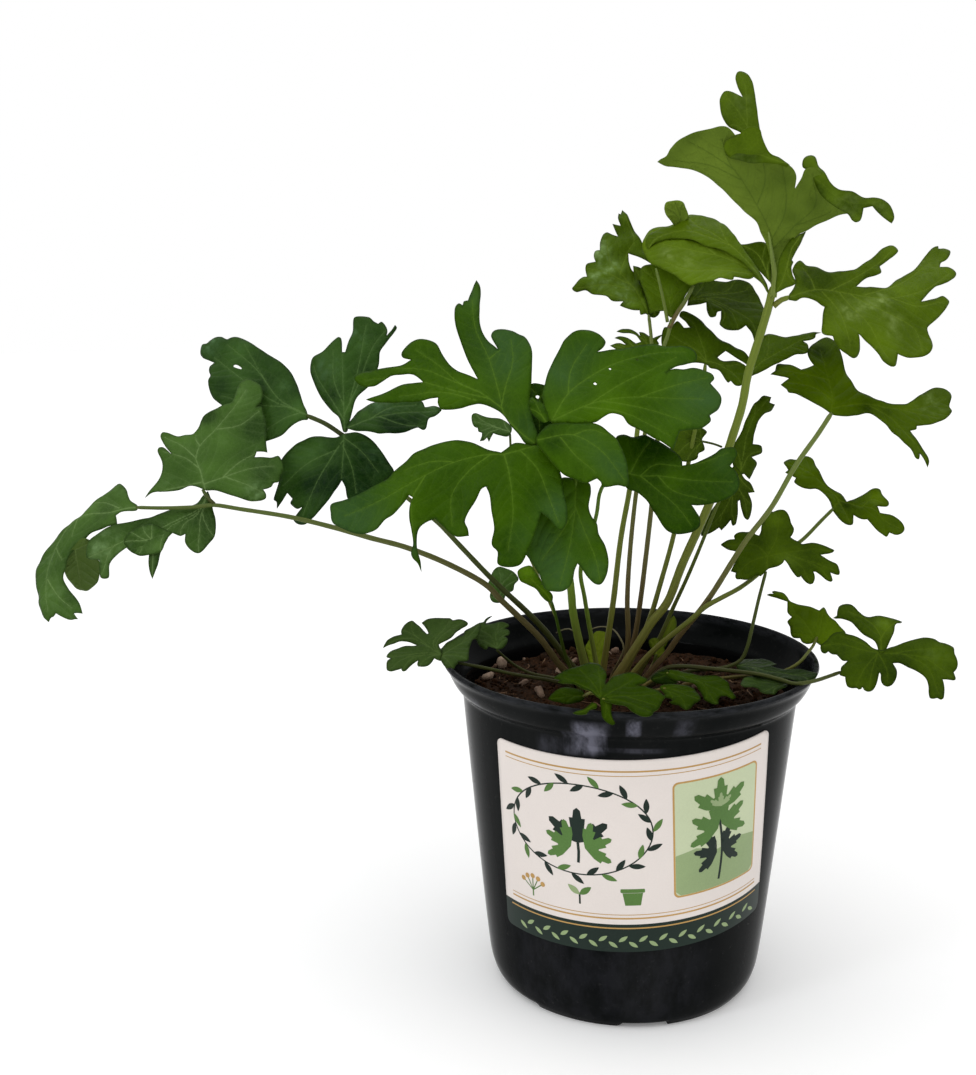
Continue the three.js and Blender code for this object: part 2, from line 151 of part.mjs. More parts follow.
    edge: [-5.3,28.5, -0.2,22.8, -3.2,18.2, -2.6,15.6, -5.7,14.6, -7.2,7.4, -5,5.3, -5.2,3.5, -4.3,1.9, -2.5,0.9, 0.3,0.7, 1.2,-2.3, 4.5,-4.3, 10.7,-5.6, 14.4,-2.6, 12.5,8.9, 12.6,12.5, 10,12.2, 7.8,15.5, 2.7,20.5, 1.1,22.6, 0.9,27.4, -0.9,29.2, -2.6,30.3, -3.7,30.3, -3.5,29.1, -6.5,30.1] },
  right_low_leaf_front: { at: [102.1, -37.1, 160.7], across: [0.9492, 0.2537, 0.1859], along: [-0.3105, 0.661, 0.6832],
    bend: [0, -0.003, 0, 3, 0.6, 22, 0.4, 0.7],
    edge: [-12.1,19.8, -8,17.9, -6.7,16.3, -4.5,10.1, -1.2,4.5, -1.9,-0.5, 0.1,-1.1, 8.9,6.9, 10.9,9.7, 15.1,10.7, 8.4,15, 1.7,16.6, -0.4,17.8, -3,24, -4.7,25, -8.5,24.7, -11.2,20.9, -12.9,20.7] },
  right_low_leaf_front_fold_1: { at: [100.4, -38, 159.8], across: [-0.0707, -0.688, -0.7222], along: [0.9957, -0.0048, -0.0929],
    bend: [-0.0012, -0.0014, 0, 3, 1, 26, 0.4, 0.7],
    edge: [-1.6,1.6, -1.7,-0.7, -2.7,-2.6, -6.9,-7.2, -9.1,-14.4, -8.1,-18.3, -1.8,-24.1, 1.2,-23.6, 1.5,-22.1, 0.6,-21, 1.8,-19.5, 2.2,-17.7, 4.8,-15.3, 4.7,-13.4, 8,-16.3, 11.9,-17.2, 12.5,-15, 16.3,-13.9, 17.4,-9.5, 16,-7.8, 17.3,-7, 17.7,-5.5, 17,-3.6, 15.4,-2.4, 9.1,-0.5, 12.4,0.1, 14.2,1.5, 14.6,2.8, 13.9,4.4, 12,6, 9.2,6.9, 6.8,7, 3.9,5.6, 3.7,8.1, 7.8,17.7, 9.3,19.2, 12.5,20, 18.2,20.1, 17.7,23.3, 18.6,24.5, 18.1,25.5, 12.7,26.9, 8.8,26.4, 8.6,31.3, 7.6,32.2, 4.5,31.7, 2.8,33, 0.2,33.6, -6.4,32.3, -7.4,30.8, -9.7,21.6, -8.2,14.8] },
  front_leaf_on_rim: { at: [-17.8, -79, 153.4], across: [0.9873, 0.148, 0.0573], along: [-0.1587, 0.9208, 0.3564],
    bend: [-0.0006, -0.001, 0, 3, 0.6, 22, 0.4, 0.7],
    edge: [1,-2.4, 5.9,-4.6, 7.9,-6.2, 12.8,-12.1, 15.3,-12.7, 17.1,-12.1, 24.8,-2.1, 22.5,2.8, 15.5,6.8, 18.8,7.1, 20.4,8.6, 20.2,9.8, 16.7,13.7, 13.8,15, 10.6,15.1, 7.8,13.5, 3.4,8.8, 5.3,15, 4.7,21.4, 3.9,23.2, 1.1,23.7, -7.6,21.2, -12.1,19.3, -15.8,16.8, -13.8,14.7, -14.8,13.6, -13.1,12.3, -8.2,10.6, -3.2,4.4] },
  front_leaf_on_rim_fold_1: { at: [-17, -79.3, 153.3], across: [-0.9687, -0.1258, -0.2138], along: [0.2481, -0.4912, -0.835],
    bend: [-0.002, 0, 0, 3, 0, 22, 0.4, 0.7],
    edge: [1.9,1.2, 2.6,6.3, 2.1,8, -0.5,10.4, -1.8,10.2, -1.3,6.1, -2.8,2.2, -1,-0.8, 1.1,-1.3] },
  front_leaf_small: { at: [-23.8, -58, 147.8], across: [-0.0758, 0.8639, 0.4979], along: [-0.9959, -0.0405, -0.0814],
    bend: [0, -0.003, 0, 3, 0.3, 22, 0.4, 0.7],
    edge: [-1,13.2, -3.3,7.4, -3.2,3.4, -1.7,-0.2, 1.5,-0.6, 3.5,0.9, 5.2,3.6, 5.9,6.3, 4.7,9.7, 2.2,12.4, -0.3,14.3] },
  front_leaf_right_back: { at: [15.3, -18, 145.5], across: [-0.5144, -0.8148, -0.2673], along: [0.8561, -0.4698, -0.2155],
    bend: [0, -0.001, 0, 3, 0.4, 22, 0.4, 0.7],
    edge: [3.5,4.5, 1.5,12.9, 3.8,16.7, 8,21, 9.1,25.5, 8.1,26.9, 4,25.6, 2.3,25.8, 0.9,27.9, 1.2,30.8, -0.8,31.5, -7.5,25.1, -9.7,21.9, -9.9,19.5, -8.3,15.6, -5.7,12, -4.4,4.1, -2.8,0.2, -1.5,-1.2, 1.4,-1.3] },
  front_leaf_right_back_fold_1: { at: [15.2, -19.1, 145.1], across: [-0.4741, 0.7612, 0.4425], along: [-0.8805, -0.4098, -0.2383],
    bend: [0, 0, 0, 3, 0, 22, 0.4, 0.7],
    edge: [-2,6.9, -4.9,2.7, -6.5,-1.4, -2.7,-0.3, 2.2,-1, 3.3,3.4, 0.6,8.2] },
  front_leaf_right_front: { at: [10.9, -33, 143.3], across: [-0.5926, -0.7671, -0.2459], along: [0.8053, -0.5565, -0.2044],
    bend: [0, -0.001, 0, 3, 0.4, 22, 0.4, 0.7],
    edge: [0.8,-0.2, 2.7,3.3, 5.7,3.7, 4,6, 4.2,8.1, 6.3,7.4, 6.4,9.4, 5.5,11.7, 6.9,14, 7,15.9, 5,16.6, 1.2,16.4, -1.1,17.4, -2.7,17.2, -5.4,15, -7.7,11.7, -8.2,8.6, -7.7,5, -3.4,-0.2, -0.4,-0.9] },
  rim_leaf_right_back: { at: [46.3, -12.5, 146.8], across: [-0.6324, -0.7588, -0.1562], along: [0.7556, -0.6486, 0.0914],
    bend: [0, 0, 0, 3, 0.3, 22, 0.4, 0.7],
    edge: [2.9,2.1, 5.6,8.6, 7.1,14.3, 5.8,18.4, 7.5,28.8, 7.6,33.6, 5.4,37, 1.3,38.5, -2.7,36.9, -3.6,33.1, -1.6,19, -2.7,15, -6.4,15.3, -8.9,10, -10,4.4, -8.1,-0.5, -5.6,-2.5, -0.9,-1.7] },
  rim_leaf_right_front: { at: [63.5, -32, 144.7], across: [0.053, 0.9888, 0.1398], along: [-0.9986, 0.0525, 0.0074],
    bend: [0, 0, 0, 3, 0.3, 22, 0.4, 0.7],
    edge: [-3,19.1, -4.9,17.9, -4.7,14.5, -5.4,12.1, -8.3,11.2, -10.5,9.4, -9.4,6, -6.6,4, -3.6,0.3, -0.1,-0.6, 3.1,1.1, 5.8,5, 7.2,9.9, 6.6,14.1, 4.4,17.3, 0.2,19] },
  rim_leaf_left_outer: { at: [-82.6, -15, 152.5], across: [-0.0356, 0.798, 0.6016], along: [-0.9943, 0.0321, -0.1015],
    bend: [-0.0012, -0.001, 0, 3, 0.6, 22, 0.4, 0.7],
    edge: [8.8,23, 9.7,17.9, 9.1,15, 6.8,10.6, 7,16.3, 5.2,22, 2,23.9, 1.1,22.1, 0.1,23.5, -2.3,23.9, -5.5,23.4, -6.5,21.5, -5.1,17.4, -6.5,16.8, -6.5,15.6, -1.7,10, -3.9,10.4, -5,9.9, -5.5,7.8, -4.7,5.5, -1.8,2.9, -3,0.2, 0.2,-0.5, 5.9,0.9, 9.6,-5.4, 13.8,-9.2, 15.3,-11.5, 16.7,-12.1, 18.3,-10.6, 19.1,-5.5, 20.3,-4.2, 20.7,3.4, 20,6.6, 19,8.5, 14.9,6.1, 12.8,5.4, 12.3,6, 17.1,9.2, 20.2,12.4, 19.6,14.3, 17.9,16.3, 15.7,17.5, 13.8,17.4, 11.1,23.6, 7.6,25.6] },
  rim_leaf_left_outer_fold_1: { at: [-82.5, -15.2, 152.3], across: [0.6086, -0.7315, -0.3075], along: [0.7919, 0.5353, 0.2938],
    bend: [0, -0.0014, 0, 3, 0.4, 22, 0.4, 0.7],
    edge: [-0.7,-0.2, 4.2,-2.6, 8.5,-3.1, 8.9,-1.5, 10.2,-0.9, 7.6,3.8, 9.7,7.2, 1,16.1, 0.5,17.7, -0.6,21, -3.1,24.1, -5.9,25.8, -6.4,22.9, -5.8,16.7, -4.6,15.6, -5.1,7.7, -3.6,2.3] },
  rim_leaf_left_inner: { at: [-58.3, -2, 151.4], across: [0.9752, 0.207, 0.0784], along: [-0.2156, 0.808, 0.5484],
    bend: [0, -0.002, 0, 3, 0.5, 22, 0.4, 0.7],
    edge: [-6.6,11.2, -7.8,7.9, -6.7,2.5, -4.5,0.6, -3.6,1.8, 0.2,-0.3, 2.2,-0.1, 5.6,3.2, 6,4.8, 5.1,6.6, 7.2,7.3, 7.9,8.6, 7.6,10.3, 6.2,11.4, 8.3,12, 8.3,13.4, 6.9,14.6, 4.4,15.4, -1.8,14.8, -1,16.6, 2.4,19.7, 0.2,18.7, -2.7,16, -7.2,14.9] },
  young_leaf_1: { at: [-12.8, 4, 139.9], across: [0.9967, -0.0205, -0.0779], along: [0.0806, 0.2537, 0.9639],
    bend: [0, -0.01, 0, 3, 0, 22, 0.4, 0.7],
    edge: [-6.4,7.8, -4.5,2.8, -2.7,0.7, -0.2,-0.9, 2.1,1.1, 3.5,13.5, 2.5,16.6, 0,17.3, -2.3,17.1, -4.2,15.2, -6,11.9, -7,9.4] },
  young_leaf_2: { at: [12.6, 5, 145.7], across: [0.9947, 0.0932, -0.0425], along: [0.0118, 0.3081, 0.9513],
    bend: [0, 0, 0, 3, 0, 22, 0.4, 0.7],
    edge: [-2.6,4.1, -0.9,0.9, 1.6,-0.4, 3.2,0.2, 4,2.6, 2.4,6.6, 0,8.6, -3.3,7.3] },
  young_leaf_3: { at: [17.1, 17, 147.3], across: [0.926, -0.0626, -0.3723], along: [0.3638, 0.4118, 0.8355],
    bend: [0, 0, -0.3, 1, 0, 22, 0.4, 0.7],
    edge: [1.1,-0.5, 2.9,9.4, 1.9,13.3, -0.1,15.1, -1.6,11.9, -2.5,7.1, -2.4,4.1, -2,1.1] },
};

const STALKS = {
  left_stem: { r: [0.75, 1.5], path: [[-209.9, -15.5, 217.4], [-200.1, -16, 217.3], [-186.2, -15.5, 217.6], [-178.6, -15.5, 218.5], [-167.2, -15.5, 216.8], [-146.2, -15.5, 213.3], [-128.5, -15, 208.9], [-112, -15, 204.1], [-97.7, -14, 200], [-79.8, -13, 192.5], [-62.7, -11, 182.4], [-57.1, -10, 176.1], [-48.4, -8, 167.1], [-39.6, -6, 157.5], [-29.6, -2, 142.7], [-20.5, 1, 133.8]] },
  left_stem_branch_1: { r: [0.6, 0.7], path: [[-182.8, -12.2, 223.5], [-180.9, -13.5, 221.1], [-178.1, -15.5, 218.9]] },
  midleft_stem: { r: [0.8, 1.5], path: [[-124.8, 11.5, 243.9], [-121.9, 12.5, 237.8], [-113.2, 11, 230], [-100.7, 6, 220.2], [-83.7, -3, 208.2], [-75.4, -8, 200.4], [-62.7, -8, 186.8], [-54.5, -7, 178.3], [-45.7, -5, 169.5], [-36.8, -2, 159.2], [-25.4, 3, 142.6], [-17.2, 6.2, 133.8]] },
  midleft_stem_branch_1: { r: [0.7, 0.75], path: [[-140.3, 12, 252.6], [-133.4, 11.5, 249.6], [-124.7, 11.6, 243.6]] },
  centre_stem_thick: { r: [1.3, 1.9], path: [[-39.2, -56, 248.8], [-35.4, -55, 227.9], [-30.7, -46, 203.6], [-28.1, -38, 187], [-26.7, -30, 175.6], [-23.8, -20, 161.9], [-20.5, -11, 148.1], [-16.6, -3.2, 133.8]] },
  centre_stem_thin: { r: [0.7, 1.1], path: [[-9.1, -38, 235.5], [-13.6, -39, 233.6], [-16.9, -40, 228.4], [-17.9, -39, 220], [-20.3, -35, 207.5], [-23.7, -30, 193.7], [-21.6, -25, 180.8], [-18.4, -16, 163.9], [-15.3, -8, 148.1], [-12.4, -3.6, 133.8]] },
  centre_leaf_hanging_stalk: { r: [0.6, 0.7], path: [[-27.7, -57.7, 234.6], [-28, -56, 238.5], [-30.8, -56, 243.3], [-35.6, -57, 246.2]] },
  shoot_yellow_green_stalk: { r: [0.6, 0.9], path: [[-35.7, -34.5, 180.6], [-33.8, -30, 173.4], [-31.4, -22, 162.5], [-28, -12, 149.3], [-21.4, -3.4, 133.8]] },
  top_stem: { r: [1.75, 1.9], path: [[58.7, 7, 307.3], [57.7, 7.5, 301.8], [55, 8, 290.7], [52.4, 8, 281.3], [49.7, 8, 271.5], [47.6, 8, 257.6], [43.6, 7, 243.8], [39.1, 6, 229.1], [33.8, 5, 213.7], [22.9, 3, 188.2], [16.6, 2, 171.3], [10.1, 1.5, 162.8], [5, 1.5, 154.1], [-1, 2, 143.8], [-6.6, 3.2, 133.8]] },
  top_stem_branch_1: { r: [1, 1.3], path: [[65.5, 6.5, 304.1], [62.8, 6.5, 303.3], [59.4, 7.3, 300.5]] },
  back_stem_1: { r: [0.9, 1.35], path: [[8, 27, 277.1], [4.6, 15, 259.4], [1.2, 3, 239.2], [-1.5, -4, 222.9], [-5.1, -8, 203.1], [-7.9, -8, 175.2], [-9.5, -6, 161.2], [-11, -1, 144.2], [-12, 2.2, 133.8]] },
  back_stem_2: { r: [0.75, 1.2], path: [[9.2, 33.5, 294], [10.2, 30, 283], [9.3, 24, 267.2], [6.1, 14, 242], [2.5, 8, 219], [0.1, 5, 193.6], [-0.7, 5, 171.9], [0.2, 7, 153], [-1.2, 9, 141.2], [-5.8, 9.6, 133.8]] },
  back_stem_3: { r: [0.85, 1.2], path: [[18.3, 27, 292.5], [17.1, 27.5, 286.7], [15, 27, 280.2], [13.7, 22, 258.6], [11.7, 15, 232.9], [9.5, 10, 211], [7, 9, 184.6], [5.7, 10, 170.6], [3.4, 12.5, 151.4], [-2, 14.2, 133.8]] },
  back_stem_3_branch_1: { r: [0.85, 1.05], path: [[27.1, 27, 307.2], [23.8, 27.5, 300.7], [20.8, 27.3, 296.4], [17.5, 27.3, 289.8]] },
  back_stem_4: { r: [0.8, 1.2], path: [[34.1, 28.6, 272.5], [32.3, 23, 260.7], [29, 16, 248.3], [26.5, 14, 235.3], [23.1, 11, 218], [19.2, 8, 199.3], [13.6, 6, 177.7], [10.5, 6, 166.1], [6.3, 6, 154.2], [0.7, 6, 142.1], [-1.8, 6.6, 133.8]] },
  back_stem_5: { r: [0.7, 1], path: [[45.8, 19.5, 222.8], [42.4, 16.5, 218.8], [36.6, 14, 206.2], [32.4, 13, 195], [26.5, 12.5, 180.1], [20.7, 12, 166.9], [14.9, 11, 153.2], [4.6, 10.6, 133.8]] },
  right_upper_stem: { r: [1, 1.25], path: [[86.2, 9.5, 253.3], [80.4, 5, 245.9], [69.8, -3, 233.6], [58.4, -10, 216.1], [47.8, -12, 202.2], [34.6, -8, 177.6], [29, -5, 168.1], [21.8, -1.5, 157.2], [17, 1, 148.7], [6, 4.6, 133.8]] },
  right_middle_stem: { r: [0.75, 1.2], path: [[93.2, 28.5, 207.7], [87.7, 24, 203.7], [77.6, 17, 196], [67.3, 11, 191.4], [56.1, 4, 183.5], [47.4, -3, 179.3], [38.1, -9, 176.1], [31.3, -12, 173.1], [26.1, -12, 168.2], [19.8, -11, 162.3], [12.4, -9, 155.2], [5.1, -6, 146.2], [-2.2, -1.6, 133.8]] },
  right_inner_stem: { r: [0.7, 0.95], path: [[57.9, -5.7, 186.2], [55.2, -8, 176.1], [52.1, -11, 163.4], [50, -12, 154.7], [47.6, -12, 149.3], [43, -11.5, 146.5], [36.7, -10.5, 144.8], [26.4, -6, 142.5], [8.6, -0.4, 133.8]] },
  right_low_leaf_back_stalk: { r: [0.65, 0.85], path: [[85.2, 10.6, 153.1], [82.9, 6, 150.9], [78.6, -3, 150.1], [74.4, -9, 148], [70.6, -11, 145.9], [65.4, -9, 143], [24, 2, 133.8]] },
  right_low_stem: { r: [0.75, 1], path: [[83.4, -39.5, 151.8], [78, -41.5, 150.6], [71.2, -46.5, 150.3], [64.4, -45.5, 149.1], [60.4, -38.5, 148.5], [52.9, -29, 148], [44, -19, 146.4], [33.5, -14, 146.1], [22.2, -8, 145.3], [15.1, -5, 143.1], [5.6, -3.6, 133.8]] },
  front_leaf_on_rim_stalk: { r: [0.8, 0.9], path: [[-17.2, -78.6, 153], [-15.1, -60, 148], [-12.2, -35, 141.7], [-13.5, -9, 133.8]] },
  front_leaf_small_stalk: { r: [0.6, 0.8], path: [[-23.4, -58, 147.8], [-18.9, -40, 143.7], [-19, -9, 133.8]] },
  front_leaf_right_back_stalk: { r: [0.6, 0.8], path: [[14.4, -18.5, 145], [10.2, -14, 141.3], [2.6, -8.4, 133.8]] },
  front_leaf_right_front_stalk: { r: [0.6, 0.8], path: [[11.7, -32.9, 142.9], [7.7, -26, 139.7], [-1.6, -11.4, 133.8]] },
  rim_stem_left_front: { r: [0.7, 0.85], path: [[-74.2, -15, 148.7], [-67.9, -13, 146.9], [-61.4, -11, 144.9], [-52.6, -7, 141.7], [-43.8, -4, 139.2], [-34.8, 0, 136.3], [-24.6, 0.6, 133.8]] },
  rim_stem_left_back: { r: [0.6, 0.7], path: [[-57.9, -1, 150.2], [-54.3, 3, 145.6], [-49.8, 6, 141.2], [-43.5, 7, 137.6], [-24, 5.4, 133.8]] },
  young_leaf_1_stalk: { r: [0.7, 0.9], path: [[-12.7, 4.3, 139.4], [-12.3, 4, 137.1], [-13, 6.5, 133.8]] },
  young_leaf_2_stalk: { r: [0.6, 0.8], path: [[12.6, 5, 147], [11.3, 5.5, 140.4], [10, 6, 133.8]] },
  young_leaf_3_stalk: { r: [0.6, 0.8], path: [[17.3, 17.1, 148.5], [13.5, 15.9, 141.1], [9.6, 14.6, 133.8]] },
};

// name, colour, roughness, blades, stalks
const LEAVES_AND_STEMS = [
  ['left_stem', 0x6f6244, 0.55, [], ['left_stem', 'left_stem_branch_1']],
  ['left_leaf_tip', 0x2f5a2c, 0.46, ['left_leaf_tip', 'left_leaf_tip_fold_1'], []],
  ['left_leaf_fan', 0x2f5a2c, 0.46, ['left_leaf_fan'], []],
  ['left_leaf_low', 0x2f5a2c, 0.46, ['left_leaf_low', 'left_leaf_low_fold_1'], []],
  ['midleft_stem', 0x6f6244, 0.55, [], ['midleft_stem', 'midleft_stem_branch_1']],
  ['midleft_leaf_outer', 0x2f5a2c, 0.46, ['midleft_leaf_outer'], []],
  ['midleft_leaf_top', 0x2f5a2c, 0.46, ['midleft_leaf_top'], []],
  ['midleft_leaf_inner', 0x2f5a2c, 0.46, ['midleft_leaf_inner'], []],
  ['midleft_leaf_low', 0x2f5a2c, 0.46, ['midleft_leaf_low'], []],
  ['centre_stem_thick', 0x6b7a3a, 0.5, [], ['centre_stem_thick']],
  ['centre_stem_thin', 0x6b7a3a, 0.5, [], ['centre_stem_thin']],
  ['centre_leaf_top_left', 0x376a22, 0.42, ['centre_leaf_top_left'], []],
  ['centre_leaf_top_right', 0x376a22, 0.42, ['centre_leaf_top_right'], []],
  ['centre_leaf_low_left', 0x376a22, 0.42, ['centre_leaf_low_left'], []],
  ['centre_leaf_middle', 0x376a22, 0.42, ['centre_leaf_middle'], []],
  ['centre_leaf_right', 0x376a22, 0.42, ['centre_leaf_right'], []],
  ['centre_leaf_hanging', 0x376a22, 0.42, ['centre_leaf_hanging'], ['centre_leaf_hanging_stalk']],
  ['shoot_yellow_green', 0x7d9a2c, 0.5, ['shoot_yellow_green'], ['shoot_yellow_green_stalk']],
  ['small_leaf_on_left_stem', 0x2f5a2c, 0.46, ['small_leaf_on_left_stem'], []],
  ['top_stem', 0x6b7a3a, 0.5, [], ['top_stem', 'top_stem_branch_1']],
  ['top_leaf_upright', 0x4f7f26, 0.42, ['top_leaf_upright', 'top_leaf_upright_fold_1', 'top_leaf_upright_fold_2'], []],
  ['top_leaf_left', 0x4f7f26, 0.42, ['top_leaf_left', 'top_leaf_left_fold_1'], []],
  ['top_leaf_right', 0x4f7f26, 0.42, ['top_leaf_right'], []],
  ['back_stem_1', 0x6b7a3a, 0.5, [], ['back_stem_1']],
  ['back_leaf_serrated', 0x47702a, 0.5, ['back_leaf_serrated'], []],
  ['back_stem_2', 0x6f6244, 0.55, [], ['back_stem_2']],
  ['back_leaf_blistered', 0x47702a, 0.5, ['back_leaf_blistered'], []],
  ['back_stem_3', 0x6f6244, 0.55, [], ['back_stem_3', 'back_stem_3_branch_1']],
  ['back_leaf_upright', 0x47702a, 0.5, ['back_leaf_upright'], []],
  ['back_leaf_shaded', 0x47702a, 0.5, ['back_leaf_shaded'], []],
  ['back_stem_4', 0x6b7a3a, 0.5, [], ['back_stem_4']],
  ['back_leaf_forked', 0x47702a, 0.5, ['back_leaf_forked'], []],
  ['back_leaf_strap', 0x47702a, 0.5, ['back_leaf_strap'], []],
  ['back_stem_5', 0x6b7a3a, 0.5, [], ['back_stem_5']],
  ['back_leaf_cut', 0x47702a, 0.5, ['back_leaf_cut', 'back_leaf_cut_fold_1'], []],
  ['right_upper_stem', 0x6f6244, 0.55, [], ['right_upper_stem']],
  ['right_upper_leaf', 0x4c7a22, 0.46, ['right_upper_leaf'], []],
  ['right_middle_stem', 0x6b7a3a, 0.5, [], ['right_middle_stem']],
  ['right_middle_leaf', 0x4c7a22, 0.46, ['right_middle_leaf'], []],
  ['right_inner_stem', 0x6b7a3a, 0.5, [], ['right_inner_stem']],
  ['right_inner_leaf', 0x4c7a22, 0.46, ['right_inner_leaf'], []],
  ['right_low_leaf_back', 0x4c7a22, 0.46, ['right_low_leaf_back'], ['right_low_leaf_back_stalk']],
  ['right_low_stem', 0x6b7a3a, 0.5, [], ['right_low_stem']],
  ['right_low_leaf_front', 0x4c7a22, 0.46, ['right_low_leaf_front', 'right_low_leaf_front_fold_1'], []],
  ['front_leaf_on_rim', 0x4a8424, 0.42, ['front_leaf_on_rim', 'front_leaf_on_rim_fold_1'], ['front_leaf_on_rim_stalk']],
  ['front_leaf_small', 0x4a8424, 0.42, ['front_leaf_small'], ['front_leaf_small_stalk']],
  ['front_leaf_right_back', 0x4a8424, 0.42, ['front_leaf_right_back', 'front_leaf_right_back_fold_1'], ['front_leaf_right_back_stalk']],
  ['front_leaf_right_front', 0x4a8424, 0.42, ['front_leaf_right_front'], ['front_leaf_right_front_stalk']],
  ['rim_leaf_right_back', 0x48703a, 0.5, ['rim_leaf_right_back'], []],
  ['rim_leaf_right_front', 0x48703a, 0.5, ['rim_leaf_right_front'], []],
  ['rim_leaf_left_outer', 0x48703a, 0.5, ['rim_leaf_left_outer', 'rim_leaf_left_outer_fold_1'], []],
  ['rim_leaf_left_inner', 0x48703a, 0.5, ['rim_leaf_left_inner'], []],
  ['rim_stem_left_front', 0x6b7a3a, 0.5, [], ['rim_stem_left_front']],
  ['rim_stem_left_back', 0x6b7a3a, 0.5, [], ['rim_stem_left_back']],
  ['young_leaf_1', 0x7d9a2c, 0.5, ['young_leaf_1'], ['young_leaf_1_stalk']],
  ['young_leaf_2', 0x7d9a2c, 0.5, ['young_leaf_2'], ['young_leaf_2_stalk']],
  ['young_leaf_3', 0x7d9a2c, 0.5, ['young_leaf_3'], ['young_leaf_3_stalk']],
];

const wasm = await Module();
wasm.setup();

function bare(geometry) {
  const g = geometry.index ? geometry.toNonIndexed() : geometry.clone();
  for (const name of Object.keys(g.attributes)) if (name !== 'position') g.deleteAttribute(name);
  g.clearGroups();
  return mergeVertices(g, 1e-4);
}

function solid(geometry) {
  const g = bare(geometry);
  return new wasm.Manifold(new wasm.Mesh({
    numProp: 3,
    vertProperties: new Float32Array(g.attributes.position.array),
    triVerts: new Uint32Array(g.index.array),
  }));
}

function geometryOf(manifold) {
  const mesh = manifold.getMesh();
  const g = new THREE.BufferGeometry();
  g.setAttribute('position', new THREE.BufferAttribute(new Float32Array(mesh.vertProperties), 3));
  g.setIndex(new THREE.BufferAttribute(new Uint32Array(mesh.triVerts), 1));
  g.computeVertexNormals();
  return g;
}

// Height of a blade over its own plane.
function bendHeight([ct, cs, fold, w, ripple, length, turn, phase], s, t) {
  let h = ct * t * t + cs * s * s + fold * (Math.hypot(s, w) - w);
  if (ripple) {
    const r = Math.hypot(s, t);
    h += ripple * Math.sin(2 * Math.PI * (s * Math.cos(turn) + t * Math.sin(turn)) / length + phase) * r / (r + 12);
  }
  return h;
}

function plate(shape, thickness, maxEdge) {
  let g = new THREE.ExtrudeGeometry(shape, { depth: thickness, bevelEnabled: false, curveSegments: 4 });
  g.deleteAttribute('normal');
  g.deleteAttribute('uv');
  g.clearGroups();
  g.translate(0, 0, -thickness / 2);
  g = new TessellateModifier(maxEdge, 8).modify(g);
  return mergeVertices(g, 1e-4);
}

function bladeGeometry({ at, across, along, bend, edge }) {
  const shape = new THREE.Shape();
  for (let i = 0; i < edge.length; i += 2) {
    if (i === 0) shape.moveTo(edge[0], edge[1]); else shape.lineTo(edge[i], edge[i + 1]);
  }
  shape.closePath();
  const g = plate(shape, BLADE_THICKNESS, BLADE_MESH);
  const origin = new THREE.Vector3(...at);
  const u = new THREE.Vector3(...across).normalize();
  const v = new THREE.Vector3(...along).normalize();
  const n = new THREE.Vector3().crossVectors(u, v);
  const p = g.attributes.position;
  const q = new THREE.Vector3();
  for (let i = 0; i < p.count; i++) {
    const s = p.getX(i), t = p.getY(i), h = p.getZ(i) + bendHeight(bend, s, t);
    q.copy(origin).addScaledVector(u, s).addScaledVector(v, t).addScaledVector(n, h);
    p.setXYZ(i, q.x, q.y, q.z);
  }
  return g;
}

// A tapering stalk: a seven-sided section extruded along a smooth curve, then drawn in ring by ring.
function stalkGeometry({ r, path }) {
  const curve = new THREE.CatmullRomCurve3(path.map((q) => new THREE.Vector3(...q)), false, 'centripetal');
  const steps = Math.max(3, Math.round(curve.getLength() / STALK_STEP) + 1);
  const section = new THREE.Shape();
  for (let i = 0; i < STALK_SIDES; i++) {
    const a = (2 * Math.PI * i) / STALK_SIDES;
    const x = r[0] * Math.cos(a), y = r[0] * Math.sin(a);
    if (i === 0) section.moveTo(x, y); else section.lineTo(x, y);
  }
  section.closePath();
  const g = bare(new THREE.ExtrudeGeometry(section, { steps, bevelEnabled: false, extrudePath: curve }));
  const rings = curve.getSpacedPoints(steps);
  const p = g.attributes.position;
  const q = new THREE.Vector3();
  for (let i = 0; i < p.count; i++) {
    q.fromBufferAttribute(p, i);
    let k = 0;
    for (let j = 1; j < rings.length; j++) if (rings[j].distanceTo(q) < rings[k].distanceTo(q)) k = j;
    q.sub(rings[k]).multiplyScalar((r[0] + ((r[1] - r[0]) * k) / steps) / r[0]).add(rings[k]);
    p.setXYZ(i, q.x, q.y, q.z);
  }
  return g;
}

function latheOf(profile, segments) {
  return new THREE.LatheGeometry(profile.map(([x, y]) => new THREE.Vector2(x, y)), segments).rotateX(Math.PI / 2);
}

function mesh(name, geometry, color, roughness) {
  const m = new THREE.Mesh(geometry, new THREE.MeshStandardMaterial({ color, roughness, metalness: 0 }));
  m.name = name;
  return m;
}

const root = new THREE.Group();

// ---- pot: thin tapering wall, flared rolled rim, thick floor with holes and foot channels ----
const wallAt = (z) => WALL_BASE_RADIUS + WALL_SLOPE * z;
const rim = POT_RIM_RADIUS;
const potProfile = [
  [0, 0], [FOOT_RADIUS, 0], [58.6, 3.5], [60.3, 8], [wallAt(14), 14], [wallAt(133), 133],
  [74.7, 135], [77.1, 137.5], [79.1, 141], [rim - 1.8, 144.6], [rim - 0.4, 146.4], [rim, 147.3],
  [rim - 0.3, 148.2], [rim - 1.0, POT_HEIGHT], [rim - 2.1, 148.4], [rim - 2.7, 147.5], [rim - 3.8, 144.6],
  [77.1, 141.3], [75.2, 138.4], [72.9, 135.8], [wallAt(133) - WALL_THICKNESS, 133],
  [wallAt(15) - WALL_THICKNESS, 15], [57.5, 6], [54, FLOOR_THICKNESS], [0, FLOOR_THICKNESS],
];
const POT_SEGMENTS = 48;
let pot = solid(latheOf(potProfile, POT_SEGMENTS));
